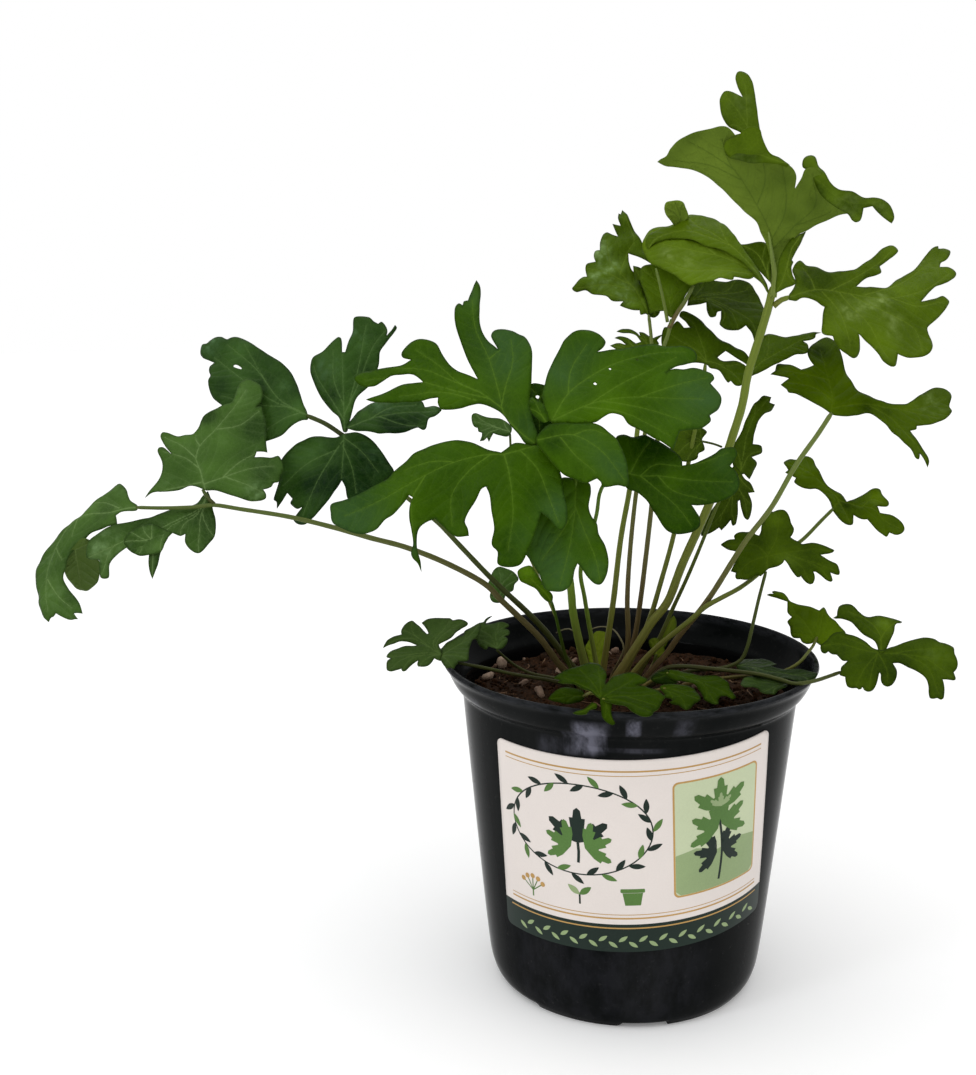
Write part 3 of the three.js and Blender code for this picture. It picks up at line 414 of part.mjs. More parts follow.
for (let i = 0; i < FOOT_CHANNELS; i++) {
  const turn = THREE.MathUtils.degToRad(-86 + 60 * i);
  const channel = new THREE.BoxGeometry(24, FOOT_CHANNEL_WIDTH, 2 * FOOT_CHANNEL_DEPTH)
    .translate(52, 0, 0).rotateZ(turn);
  pot = pot.subtract(solid(channel));
}
for (let i = 0; i < DRAIN_HOLES; i++) {
  const turn = THREE.MathUtils.degToRad(-86 + 60 * i);
  const hole = new THREE.CylinderGeometry(DRAIN_HOLE_RADIUS, DRAIN_HOLE_RADIUS, 20, 16)
    .rotateX(Math.PI / 2).translate(DRAIN_HOLE_CIRCLE * Math.cos(turn), DRAIN_HOLE_CIRCLE * Math.sin(turn), 0);
  pot = pot.subtract(solid(hole));
}
root.add(mesh('pot', geometryOf(pot), 0x14161a, 0.3));

// ---- growing mix: fills the pot to 16 mm under the rim ----
const innerAt = (z) => wallAt(z) - WALL_THICKNESS - MIX_GAP;
const mixProfile = [
  [0, FLOOR_THICKNESS + MIX_GAP], [53.6, FLOOR_THICKNESS + MIX_GAP], [57.0, 6.6], [innerAt(15), 15],
  [innerAt(130.8), 130.8], [60, 131.5], [40, 132.0], [24, MIX_TOP - 0.1], [0, MIX_TOP],
];
root.add(mesh('growing_mix', bare(latheOf(mixProfile, POT_SEGMENTS)), 0x2a1a12, 0.95));

// ---- label: a flat rounded rectangle wrapped on the wall's cone ----
{
  const w = LABEL_HALF_WIDTH, c = LABEL_CORNER;
  const near = [0, 0.35, 1.2, LABEL_CORNER];
  const columns = [...near.map((d) => d - w)];
  for (let i = 1; i < LABEL_COLUMNS; i++) columns.push(-w + c + (2 * (w - c) * i) / LABEL_COLUMNS);
  columns.push(...near.map((d) => w - d).reverse());
  const g = new THREE.BoxGeometry(1, 1, 1, columns.length - 1, LABEL_ROWS, 1);
  const slant = Math.hypot(1, WALL_SLOPE);
  const apex = wallAt(LABEL_HEIGHT) * slant / WALL_SLOPE;
  const p = g.attributes.position;
  for (let i = 0; i < p.count; i++) {
    const x = columns[Math.round((p.getX(i) + 0.5) * (columns.length - 1))];
    const inset = Math.max(0, c - (w - Math.abs(x)));
    const round = c - Math.sqrt(c * c - inset * inset);
    const low = LABEL_BOTTOM + round, high = LABEL_TOP - round;
    const y = low + (high - low) * (p.getY(i) + 0.5);
    const lift = LABEL_GAP + (p.getZ(i) > 0 ? LABEL_THICKNESS : 0);
    const u = x * Math.cos(LABEL_TILT) - y * Math.sin(LABEL_TILT);
    const v = x * Math.sin(LABEL_TILT) + y * Math.cos(LABEL_TILT);
    const away = Math.hypot(u, apex + v);
    const angle = LABEL_TURN + Math.atan2(u, apex + v) * slant / WALL_SLOPE;
    const radius = away * WALL_SLOPE / slant;
    const z = (radius - WALL_BASE_RADIUS) / WALL_SLOPE - lift * WALL_SLOPE / slant;
    const r = radius + lift / slant;
    p.setXYZ(i, r * Math.sin(angle), -r * Math.cos(angle), z);
  }
  root.add(mesh('label', bare(g), 0xe9e2d4, 0.55));
}

// ---- plant ----
for (const [name, color, roughness, blades, stalks] of LEAVES_AND_STEMS) {
  const pieces = [...blades.map((k) => bladeGeometry(BLADES[k])), ...stalks.map((k) => stalkGeometry(STALKS[k]))];
  let geometry = pieces[0];
  if (pieces.length > 1) {
    let whole = solid(pieces[0]);
    for (const piece of pieces.slice(1)) whole = whole.add(solid(piece));
    geometry = geometryOf(whole);
  }
  root.add(mesh(name, geometry, color, roughness));
}

export default root;
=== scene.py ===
"""Potted flat-leaf parsley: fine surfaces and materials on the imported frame. Metres, +Z up, label towards -Y."""

import bpy
import bmesh
import heapq
import math
import random
import numpy as np
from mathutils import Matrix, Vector
from mathutils.geometry import delaunay_2d_cdt


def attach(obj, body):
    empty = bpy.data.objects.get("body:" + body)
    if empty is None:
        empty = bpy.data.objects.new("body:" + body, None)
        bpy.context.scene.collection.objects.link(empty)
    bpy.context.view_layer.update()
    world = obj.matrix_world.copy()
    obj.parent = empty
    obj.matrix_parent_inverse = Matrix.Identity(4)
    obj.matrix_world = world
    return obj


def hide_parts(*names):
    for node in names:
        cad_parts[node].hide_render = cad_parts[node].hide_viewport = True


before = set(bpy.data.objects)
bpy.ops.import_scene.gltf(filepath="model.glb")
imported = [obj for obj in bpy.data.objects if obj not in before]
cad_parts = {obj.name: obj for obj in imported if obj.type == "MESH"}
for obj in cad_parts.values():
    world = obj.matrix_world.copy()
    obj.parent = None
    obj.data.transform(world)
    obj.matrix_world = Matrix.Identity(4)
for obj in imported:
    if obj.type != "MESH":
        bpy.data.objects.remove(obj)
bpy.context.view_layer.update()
MM = 0.001
rng = np.random.default_rng(11)

# ------------------------------------------------------------------ driving dimensions (mm)
WALL_BASE, WALL_SLOPE = 60.0, 0.1023
POT_HEIGHT, RIM = 148.6, 82.5
MIX_TOP = 132.4
LEAF_THICKNESS = 0.36
LEAF_GRID = 1.35
LABEL = dict(half=63.2, top=36.2, band=-38.4, low=-51.4, corner=3.0, height=90.0, turn=-0.0314, tilt=0.05, gap=0.3, thick=0.25)

# ------------------------------------------------------------------ the plant: each blade in its own plane (mm), each stalk by its path
PLANT = [
  {"name": "left_stem", "node": "left_stem", "family": "left", "stem": "stem_purple", "slot": "stem_purplish",
   "blades": [
   ], "stalks": [
    {"r": [0.75, 1.5], "ground": True, "dark": [0.56, 0.25], "reach": 1.2, "seed": 0.38, "tone": 0.62, "path": [[-209.9, -15.5, 217.41], [-200.08, -16, 217.29], [-186.21, -15.5, 217.62], [-178.57, -15.5, 218.48], [-167.21, -15.5, 216.76], [-146.15, -15.5, 213.32], [-128.51, -15, 208.89], [-112.03, -15, 204.12], [-97.68, -14, 199.99], [-79.85, -13, 192.55], [-62.73, -11, 182.38], [-57.11, -10, 176.13], [-48.39, -8, 167.11], [-39.56, -6, 157.54], [-29.6, -2, 142.68], [-20.5, 1, 132.9]]},
    {"r": [0.72, 0.84], "ground": False, "dark": [0.8, 0.76], "reach": 1.2, "seed": 0.75, "tone": 0.24, "path": [[-182.79, -12.2, 223.48], [-180.94, -13.5, 221.13], [-178.13, -15.5, 218.91]]},
   ]},
  {"name": "left_leaf_tip", "node": "left_leaf_tip", "family": "left", "stem": "stem_green", "slot": "leaf_bluish_green",
   "blades": [
    {"at": [-211.11, -14, 217.12], "across": [-0.6964, 0.5916, 0.4062], "along": [-0.671, -0.3361, -0.6609], "bend": [-0.0022, -0.0022, 0, 3, 0.9, 22, 0.4, 0.7], "tone": 0.4, "quilt": 0.45, "ruffle": 0.35,
     "edge": [0.92, -0.79, 4.71, -0.38, 7.15, -1.1, 12.05, -2.87, 17.01, -2.84, 17.78, -1.07, 19.04, 5.5, 19.85, 12.81, 19.87, 18.64, 21.54, 22.62, 22.85, 27.82, 23.34, 36.63, 22.23, 43.51, 20.82, 47.71, 15.92, 51.76, 10.14, 54.73, 5, 57.67, -0.21, 59.6, -3.87, 59.65, -3.48, 57.6, -4.09, 56.59, -3.8, 54.98, -7.15, 54.3, -11.18, 53.01, -15.85, 50.27, -11.66, 49.81, -15.69, 47.37, -12.73, 45.74, -7.27, 44.67, -0.5, 43.98, 3.46, 42.72, 5.37, 40.92, 6.25, 38.85, 8.48, 35.56, 9.63, 30.82, 9.09, 25.82, 8.89, 20.51, 5.17, 15.32, 1.25, 10.75, 5.16, 8.36, 4.18, 6.03, -0.81, 0.63],
     "veins": [[0.18, -0.16, 8.03, 8.08, 16.2, 14.9, 19.97, 19.83, 21.08, 26.96, 18.9, 35.36, 14.25, 44.33, 6.84, 51.47, 0.15, 56.23], [6.94, 5.16, 14.78, 7.19, 18.89, 10.31], [19.97, 19.83, 15.46, 27.11], [18.9, 35.36, 10.88, 37.27], [10.24, 47.32, -0.64, 49.24, -8.76, 48.77]],
     "zones": [[20.46, 13.24, 6.12, 0.4, 0.2], [5.67, 49.72, 6.99, 0.3, 0.3], [16.5, 0.5, 5.24, 0.2, 0.2], [6.22, 32.68, 4.37, -0.3, 0], [18.43, 41.32, 3.93, -0.1, 0.3], [11.61, 10.31, 3.93, -0.2, 0], [-5.15, 46.98, 3.93, -0.3, 0]]},
    {"at": [-237.56, -17, 199.77], "across": [0.9911, 0.1329, -0.0011], "along": [-0.0741, 0.5463, -0.8343], "bend": [0, 0, 0, 3, 0, 22, 0.4, 0.7], "tone": 0.6, "quilt": 0.3, "ruffle": 0.35,
     "edge": [-4.36, 5.32, -0.68, -1.24, 4.45, -6.47, 7.88, -3.93, 9.19, 7.1, 8.42, 16.43, 7.11, 20.81, 4.62, 24.21, 1.59, 26.64, -0.85, 25.57, -3.08, 22.91, -5.35, 17.1, -5.93, 11.44]},
   ], "stalks": [
   ]},
  {"name": "left_leaf_fan", "node": "left_leaf_fan", "family": "left", "stem": "stem_green", "slot": "leaf_bluish_green",
   "blades": [
    {"at": [-182.45, -11.5, 224.64], "across": [0.9474, -0.1004, -0.304], "along": [0.3094, 0.5306, 0.7891], "bend": [-0.0014, -0.0016, 0, 3, 1, 22, 0.4, 0.3], "tone": 0.42, "quilt": 0.3, "ruffle": 0.35,
     "edge": [3.45, 0.44, 7.72, 1.04, 15.17, 1.38, 20.82, 1.96, 24.26, 3.29, 25.56, 4.95, 24.86, 6.78, 23, 8.45, 24.71, 9.53, 25.88, 10.82, 26.19, 12.7, 27.6, 14.06, 27.44, 17.64, 27.75, 19.54, 26.51, 22.45, 23.29, 25.57, 20.32, 23.3, 14.09, 21.33, 13.99, 23.93, 18.49, 25.11, 16.37, 29.17, 14.51, 34.19, 12.52, 38.71, 9.98, 42.26, 7.98, 45.01, 5.79, 44.05, 6.85, 47.3, 5.97, 51.9, 3.22, 55.32, -0.61, 56.64, -3.9, 56.56, -5.61, 53.76, -5.44, 48.73, -5.06, 43.2, -8.17, 39.62, -10.84, 36.02, -13.46, 32.11, -13.79, 29.49, -13.66, 25.72, -14.72, 22.63, -17.66, 21.35, -20.46, 19.35, -24.85, 19.03, -26.93, 18.52, -26.99, 16.46, -23.4, 12.84, -19.41, 10.33, -23.92, 11.9, -25.67, 11.09, -25.53, 9.65, -21.67, 5.4, -20.14, 1.72, -19.98, -3.08, -21.9, -8.54, -22.57, -11.97, -20.33, -8.94, -14.77, -6.9, -9.95, -3.96, -6.92, -0.86, -2.15, -0.27, 0.17, -0.43],
     "veins": [[0, 0, -5.29, 7.49, -9.07, 12.26, -9.58, 18.06, -6.31, 27.13, -3.53, 39.42, -1.76, 51.2], [-9.07, 12.26, -16.87, 15.62, -24.5, 16.55], [-6.05, 8.24, -13.5, 10.76, -22.69, 10.05], [-1.98, 2.7, -8.51, -1.43, -19.93, -9.91], [-9.58, 18.06, -12.36, 20.28, -13.1, 22.09], [-1.24, 1.98, 4.88, 7.09, 12.37, 14.34, 23.3, 20.26], [-6.31, 27.13, 2.38, 33.82, 7.46, 42.19], [5.86, 8, 14.75, 8.26, 22.94, 7.07], [4.88, 7.09, 9.01, 17.1, 14.58, 23.97]],
     "zones": [[-18.76, 17.98, 7.87, 0.3, 0.1], [-6.99, 47.99, 6.12, 0.1, 0.4], [19.28, 16.57, 6.99, -0.3, 0.1], [20.1, 6.16, 3.93, 0, 0.7], [-12.19, 32.45, 3.93, -0.9, 0], [9.35, 35, 6.12, -0.6, 0], [-0.63, 24.3, 5.24, 0.25, 0.1], [9.77, 20.96, 3.93, -0.25, 0], [-14.45, -3.32, 3.93, -0.1, 0.2], [-3.24, 8.12, 3.93, 0.2, 0]]},
   ], "stalks": [
   ]},
  {"name": "left_leaf_low", "node": "left_leaf_low", "family": "left", "stem": "stem_green", "slot": "leaf_bluish_green",
   "blades": [
    {"at": [-182.6, -9, 221.6], "across": [-0.4777, 0.4856, 0.7321], "along": [-0.877, -0.3132, -0.3644], "bend": [-0.0012, 0, 0, 3, 0.8, 22, 0.4, 2], "tone": 0.3, "quilt": 0.3, "ruffle": 0.35,
     "edge": [1.29, -1.52, 0.55, 1.13, -2.03, 5.98, 1.06, 16.22, 1.77, 24.23, 3.39, 31.49, 5.07, 38.25, 5.7, 42.13, 5.4, 47.82, 3.91, 52.38, -2.48, 55.75, -5.8, 51.67, -12.45, 54.21, -14.08, 53.2, -14.74, 51.3, -9.36, 48.55, -7.31, 45.46, -6.09, 39.42, -8.85, 38.31, -12.23, 36.01, -14.12, 32.44, -15.28, 27.48, -11.49, 23.18, -9.73, 19.74, -12.47, 17.33, -12.45, 15.14, -16.11, 16.83, -19.97, 16.01, -23.12, 13.51, -21.14, 8.25, -18.85, 4.69, -16.16, 2.78, -11.68, 0.96, -7.54, 0.18, -2.75, -1.09],
     "zones": [[-10.32, 7.44, 7.87, -0.3, 0], [-1.65, 48.1, 6.55, 0, 0.8], [-3.49, 27.47, 5.24, -0.12, 0], [-3.14, 37.43, 3.93, 0.2, 0.1], [-11.81, 27.31, 3.93, 0.3, 0.1]]},
    {"at": [-203.74, -21.26, 204.58], "across": [-1, 0.0018, 0.0039], "along": [-0.0043, -0.4258, -0.9048], "bend": [0, 0, 0, 3, 0, 22, 0.4, 0.7], "tone": 0.2, "quilt": 0.3, "ruffle": 0.35,
     "edge": [8.33, 5.21, 4.91, 6.79, 0.9, 6.48, 0.89, 9.7, 0.05, 14.2, -1.14, 16.76, -2.75, 11.83, -4.07, 5.16, -6.19, -0.03, -8.07, -3.5, 0.38, -6.76, 4.44, -6.31, 9.21, -3.42, 11.86, 0.92, 10.44, 3.5]},
   ], "stalks": [
   ]},
  {"name": "midleft_stem", "node": "midleft_stem", "family": "midleft", "stem": "stem_dark", "slot": "stem_green",
   "blades": [
   ], "stalks": [
    {"r": [0.8, 1.5], "ground": True, "reach": 1.2, "seed": 0.13, "tone": 0.85, "path": [[-124.77, 11.5, 243.85], [-121.91, 12.5, 237.75], [-113.16, 11, 230.01], [-100.71, 6, 220.22], [-83.7, -3, 208.22], [-75.42, -8, 200.45], [-62.73, -8, 186.76], [-54.49, -7, 178.28], [-45.72, -5, 169.47], [-36.8, -2, 159.15], [-25.35, 3, 142.56], [-17.2, 6.2, 132.9]]},
    {"r": [0.98, 1.05], "ground": False, "dark": [0.38, 0.45], "reach": 1.2, "seed": 0.51, "tone": 0.47, "path": [[-140.34, 12, 252.57], [-133.38, 11.5, 249.57], [-124.7, 11.6, 243.62]]},
   ]},
  {"name": "midleft_leaf_outer", "node": "midleft_leaf_outer", "family": "midleft", "stem": "stem_dark", "slot": "leaf_bluish_green",
   "blades": [
    {"at": [-141.63, 12, 253.23], "across": [0.6933, 0.2577, 0.673], "along": [-0.6919, 0.4994, 0.5214], "bend": [-0.0015, -0.002, 0, 3, 0.8, 22, 0.4, 0.7], "tone": 0.4, "quilt": 0.45, "ruffle": 0.35,
     "edge": [1.42, 0.84, 2.66, 4.17, 5.63, 10.39, 8.38, 17.21, 9.9, 22.4, 10.12, 29.63, 9.1, 37.11, 8.27, 44.7, 7.46, 51.49, 6.03, 56.43, 3.36, 59.37, 2.11, 60.18, 1.17, 63.47, -0.94, 66.08, -3.29, 67.26, -5.52, 67.48, -7.22, 68.77, -10.58, 66.74, -11.45, 63.88, -10.65, 60.34, -9.71, 56.61, -12.21, 56.83, -14.24, 54.8, -15.47, 51.74, -17.76, 50.41, -19.95, 47.58, -21.92, 42.29, -21.68, 35.47, -22.76, 27.05, -23.46, 16.37, -22.51, 8.11, -19.56, 4.44, -14.4, 2.04, -8.87, 1.33, -4.61, 0.42, -2.5, -0.71, -1.02, -2.14],
     "veins": [[0.29, -0.37, -0.47, 3.48, -2.78, 14.59, 0.32, 31.67, 5.38, 50.01], [-1.29, 5.95, -4.9, 15.73, -6.66, 31.83, -7.88, 58.09], [-0.56, 1.39, -2.44, 8.09, -10.28, 20.48, -18.59, 39.07], [-1.73, 23.05, 0.62, 37.26, 0.35, 57.23], [-1.12, 2.79, -7.12, 6.57, -18.42, 10.08]],
     "zones": [[-4.99, 65.29, 5.24, 0, 0.8], [2.21, 50.15, 5.24, 0.3, 0.2], [0.5, 4.52, 5.24, 0.35, 0.1], [-3.09, 27.3, 5.24, -0.25, 0], [-15, 43.01, 5.68, -0.3, 0], [-19.69, 17.31, 6.12, 0.15, 0], [3.74, 18.86, 3.93, 0.1, 0.2]],
     "holes": [[-4.23, 44.79, 2.61, 0.28, -1.31]]},
   ], "stalks": [
   ]},
  {"name": "midleft_leaf_top", "node": "midleft_leaf_top", "family": "midleft", "stem": "stem_dark", "slot": "leaf_bluish_green",
   "blades": [
    {"at": [-125.18, 14, 245.93], "across": [0.9971, -0.0187, 0.0734], "along": [-0.0558, 0.4734, 0.8791], "bend": [0, 0, -0.42, 2.5, 0.5, 22, 0.4, 0.7], "tone": 0.45, "quilt": 0.5, "ruffle": 0.35,
     "edge": [0.86, -0.52, 2.54, 5.07, 5.76, 15.8, 11.5, 22.4, 15.36, 31.02, 16.31, 38.25, 17.09, 40.35, 22.71, 49.05, 24.13, 51.55, 23.3, 52.71, 19.45, 47.09, 19.89, 49.57, 19.24, 51.96, 17.52, 53.91, 16.01, 52.61, 14.19, 53.52, 12.11, 55.56, 6.87, 54.9, 5.69, 53.96, 4.85, 47.37, 3.19, 43.34, 1.26, 37.75, 0.01, 37.67, -0.32, 44.28, -1.32, 44.97, -3.95, 43.71, -8.43, 40.25, -14, 37.51, -15.16, 34.62, -15.26, 31.46, -13.64, 25.64, -10.48, 17.94, -5.58, 10.36, -2.28, 6.36, -0.37, -0.44],
     "veins": [[0, 0, 0.01, 14.5, -0.12, 36.23], [-0.05, 5.1, -4.83, 14.39, -11.62, 27.45, -13.38, 33.65], [-0.06, 12.13, -4.07, 24.69, -4.2, 39.36], [0.11, 7.42, 6.36, 22.08, 13.86, 41.86, 19.25, 50.01], [2.79, 14.56, 7.62, 34.02, 10.72, 51.34]],
     "zones": [[-8.17, 30.41, 6.12, 0, 0.5], [3.79, 48.13, 4.81, 0, 0.7], [9.14, 28.41, 5.24, -0.35, 0], [3.51, 9.85, 3.5, 0.3, 0], [-4.73, 17.66, 3.5, -0.3, 0], [8.73, 41.25, 3.5, 0.2, 0.2]]},
   ], "stalks": [
   ]},
  {"name": "midleft_leaf_inner", "node": "midleft_leaf_inner", "family": "midleft", "stem": "stem_dark", "slot": "leaf_bluish_green",
   "blades": [
    {"at": [-123.44, 12, 247.3], "across": [0.3255, -0.7236, -0.6086], "along": [0.9421, 0.3027, 0.144], "bend": [0, -0.004, 0, 3, 0.5, 22, 0.4, 0.7], "tone": 0.35, "quilt": 0.45, "ruffle": 0.35,
     "edge": [-0.1, -0.42, 2.01, 2.59, 3.19, 5.87, 5.7, 11.95, 6.97, 17.04, 7.7, 23.67, 6.86, 29.9, 9.19, 31.6, 8.2, 33.15, 3.2, 36.13, 2.15, 39.25, -0.69, 43.3, -3.89, 41.2, -4.45, 36.69, -7.63, 36.15, -9.89, 29.05, -12.81, 20.66, -12.84, 13.73, -9.02, 7.11, -4.23, 2.1],
     "veins": [[-0.28, 0.08, -2.93, 10.82, -3.17, 24.67, -0.79, 40.67], [-2.93, 10.82, -7.28, 21.3, -6.34, 32.61], [-2.94, 15.4, 2.89, 22.84, 6.23, 31.01]],
     "zones": [[-12.81, 20.66, 6.55, 0.1, 0.9], [4.05, 20.2, 5.68, -0.5, 0], [-3.02, 39.52, 4.37, 0, 0.5], [2.14, 29.99, 3.93, -0.2, 0], [-6.11, 9.47, 3.06, 0.3, 0]]},
   ], "stalks": [
   ]},
  {"name": "midleft_leaf_low", "node": "midleft_leaf_low", "family": "midleft", "stem": "stem_dark", "slot": "leaf_bluish_green",
   "blades": [
    {"at": [-125.04, 10, 244.94], "across": [-0.9998, 0.0092, 0.0165], "along": [-0.0188, -0.4873, -0.873], "bend": [-0.002, 0, -0.34, 2.5, 0.5, 22, 0.4, 0.7], "tone": 0.28, "quilt": 0.5, "ruffle": 0.35,
     "edge": [0.24, -0.46, 3.16, 1.3, 10.8, -0.26, 15.37, -0.13, 19.83, 1.43, 23.43, 4.11, 26.78, 7.46, 28.48, 10.43, 28.32, 13.62, 28.82, 19.4, 30.49, 25.39, 30.55, 26.87, 29.33, 27.73, 28.99, 30.88, 26.85, 27.94, 24.33, 24.51, 21.9, 27.32, 22.84, 29.08, 21.4, 30.74, 19.42, 31.84, 17.16, 31.24, 19.71, 34.1, 21.19, 36.09, 19.89, 37.96, 17.24, 38.98, 14.97, 38.82, 12.41, 36.75, 9.2, 33.36, 4.99, 28.31, 1.49, 23.3, 0.09, 20.86, -1.44, 23.64, -2.9, 28.9, -7.18, 30.25, -12.93, 25.93, -18.21, 19.31, -21.92, 14.3, -19.64, 10.39, -16.34, 5.85, -12.57, 1.38, -8.92, -0.91, -5.36, -1.54, -2.54, -0.99],
     "veins": [[0.01, -0.23, -0.06, 10.44, 0.21, 19.85], [0.09, 2.59, 5.7, 11.34, 10.71, 19.86, 16.79, 34.87], [3.19, 7.08, 14.74, 11.33, 26.12, 20.62], [0.17, 5.39, -4.09, 15.09, -6.18, 25.55], [-0.08, 1.64, -7.98, 7.15, -15.08, 15.22]],
     "zones": [[19.45, 7.72, 6.12, 0.3, 0.1], [5.28, 21.21, 6.99, -0.35, 0], [-12.31, 9.24, 6.12, -0.2, 0.3], [15.09, 21.82, 5.24, -0.35, 0], [-18.85, 0.16, 4.37, 0.2, 0.3], [11.43, 5.2, 3.5, 0.2, 0.2], [-9.92, 24.17, 3.93, -0.2, 0.1]]},
   ], "stalks": [
   ]},
  {"name": "centre_stem_thick", "node": "centre_stem_thick", "family": "centre", "stem": "stem_bright", "slot": "stem_green",
   "blades": [
   ], "stalks": [
    {"r": [1.3, 1.9], "ground": True, "reach": 1.2, "seed": 0.89, "tone": 0.09, "path": [[-39.15, -56, 248.84], [-35.38, -55, 227.92], [-30.71, -46, 203.61], [-28.06, -38, 187.05], [-26.67, -30, 175.58], [-23.82, -20, 161.92], [-20.51, -11, 148.12], [-16.6, -3.2, 132.9]]},
   ]},
  {"name": "centre_stem_thin", "node": "centre_stem_thin", "family": "centre", "stem": "stem_bright", "slot": "stem_green",
   "blades": [
   ], "stalks": [
    {"r": [0.7, 1.1], "ground": True, "dark": [0.2, 0], "reach": 1.2, "seed": 0.26, "tone": 0.71, "path": [[-9.13, -38, 235.51], [-13.64, -39, 233.62], [-16.88, -40, 228.45], [-17.9, -39, 220], [-20.31, -35, 207.49], [-23.75, -30, 193.65], [-21.6, -25, 180.8], [-18.45, -16, 163.91], [-15.3, -8, 148.13], [-12.4, -3.6, 132.9]]},
   ]},
  {"name": "centre_leaf_top_left", "node": "centre_leaf_top_left", "family": "centre", "stem": "stem_green", "slot": "leaf_deep_green",
   "blades": [
    {"at": [-43.29, -62, 252.09], "across": [0.8741, 0.138, 0.4658], "along": [-0.4705, 0.4792, 0.741], "bend": [-0.0012, -0.0012, 0, 3, 1.2, 26, 0.4, 0.7], "tone": 0.5, "quilt": 0.3, "ruffle": 0.35,
     "edge": [1.52, 1.91, 3.04, 8.7, 5.99, 16.72, 10.48, 23.82, 14.11, 29.75, 16.96, 34.92, 17.82, 38.89, 17.51, 42.93, 16.12, 44.56, 14.58, 47.24, 11.43, 50.32, 8.22, 51.62, 6.36, 50.33, 5.87, 43.74, 4.15, 49.75, 4.69, 56.08, 8.42, 64.3, 12.23, 71.15, 13.63, 74.74, 13.73, 78.15, 10.23, 74.98, 5.98, 70.14, 4.36, 70.53, 3.1, 69.12, 2.15, 71.09, 0.45, 70.68, -1.69, 67.63, -3.49, 63.29, -5.22, 55.28, -6.76, 45.56, -7.3, 35.88, -9.17, 38.71, -11.9, 42.69, -13.71, 46.65, -14.18, 53.48, -14.09, 59.6, -16.21, 63.09, -19.05, 65.27, -22.54, 65.97, -26.05, 64.95, -28.42, 63.38, -28.6, 62.04, -26.2, 58.8, -30.88, 59.7, -37.4, 62.78, -42.29, 64.82, -46.6, 66.06, -49.54, 65.08, -49.66, 62.34, -47.64, 58.72, -44.37, 56.91, -40.93, 57.29, -36.87, 57.58, -33.17, 56.32, -28.52, 52.7, -27.1, 49.61, -26.49, 47.54, -30.06, 49.76, -33.97, 51.67, -39.63, 51.58, -46.82, 52.7, -49.85, 53.33, -48.15, 51.02, -44.36, 47.78, -38.54, 44.28, -30.84, 40.36, -27.47, 39.4, -24.45, 38.09, -25.73, 35.63, -25.62, 32.62, -22.74, 30.81, -18.6, 28.44, -15.18, 27.61, -11.94, 26.17, -9.49, 23.66, -7.44, 20.24, -5.9, 16.1, -5.63, 11.34, -4.67, 6.17, -3.97, 1.43, -0.84, -0.72],
     "veins": [[-0.74, -0.54, -3.71, 7, -5.5, 16.82, -3.41, 24.08, 0.89, 42, 2.45, 56.14, 7.55, 69.65], [-4.17, 20.95, 1.19, 27.86, 8.76, 36.08, 12.19, 43.99], [-4.84, 18.86, -9.03, 29.57, -14.6, 38.9, -17.97, 50.13, -22.46, 61.41], [-9.03, 29.57, -16.9, 41.54, -23.4, 51.46, -33.31, 60.05], [-7.2, 25.36, -15.91, 34.77, -33.59, 54.82, -45.9, 61.54], [-12.45, 28.35, -22.66, 39.67, -37.23, 47.1], [0.89, 42, 6.44, 42.82]],
     "zones": [[12.23, 46.64, 11.36, -0.1, 1], [4.03, 34.15, 7.87, 0, 0.6], [7.31, 71.02, 6.12, 0.1, 0.6], [0.01, 8.05, 6.12, -0.1, 0.6], [-42.85, 49.47, 9.61, -0.2, 0], [-43.18, 61.58, 5.24, -0.2, 0], [-17.61, 58.21, 6.12, -0.1, 0], [-14.52, 37.32, 6.12, 0.15, 0], [-5.04, 20.99, 4.37, -0.2, 0.2], [-24.25, 36.71, 6.12, 0.15, 0]]},
   ], "stalks": [
   ]},
  {"name": "centre_leaf_top_right", "node": "centre_leaf_top_right", "family": "centre", "stem": "stem_green", "slot": "leaf_deep_green",
   "blades": [
    {"at": [-37.45, -60, 259.63], "across": [0.2812, -0.4889, -0.8258], "along": [0.9461, 0.2855, 0.1532], "bend": [-0.0012, -0.0014, 0, 3, 1.1, 28, 0.4, 0.7], "tone": 0.62, "quilt": 0.35, "ruffle": 0.35,
     "edge": [1.11, 0.87, 2.03, 4.7, 3.26, 10.57, 3.43, 17.64, 2.35, 20.56, 1.29, 24.06, 1.74, 27.26, 2.85, 29.29, 6.61, 30.58, 9.33, 33.63, 12.59, 36.4, 15.84, 40.02, 19.16, 43, 20.95, 44.93, 17.09, 47.79, 13.62, 50.3, 13.62, 54.84, 13.95, 59.49, 12.43, 63.45, 11.09, 65.44, 9.15, 65.43, 6.5, 70.78, 2.62, 73.32, -1.89, 73.21, -5.53, 71.82, -7.45, 74.37, -9.9, 74.15, -12.4, 71.1, -13.42, 67.06, -13.35, 62.6, -13.94, 57.49, -12.41, 53.57, -14.54, 58.48, -15.37, 64.17, -16.33, 68.96, -18.4, 70.29, -21.58, 68.97, -23.52, 64.04, -24.55, 57.6, -26.7, 53.57, -26.88, 47.4, -26.84, 40.7, -26.93, 34.04, -27.07, 28.75, -28.53, 31.72, -30.83, 33.32, -33.87, 32.17, -36.4, 28.85, -37.32, 25.87, -36.88, 20.94, -34.12, 16.35, -29.94, 12.53, -24.49, 7.65, -20.26, 4.4, -16.95, 2.55, -12.86, 0.15, -5.63, -1.09, -0.38, -0.84],
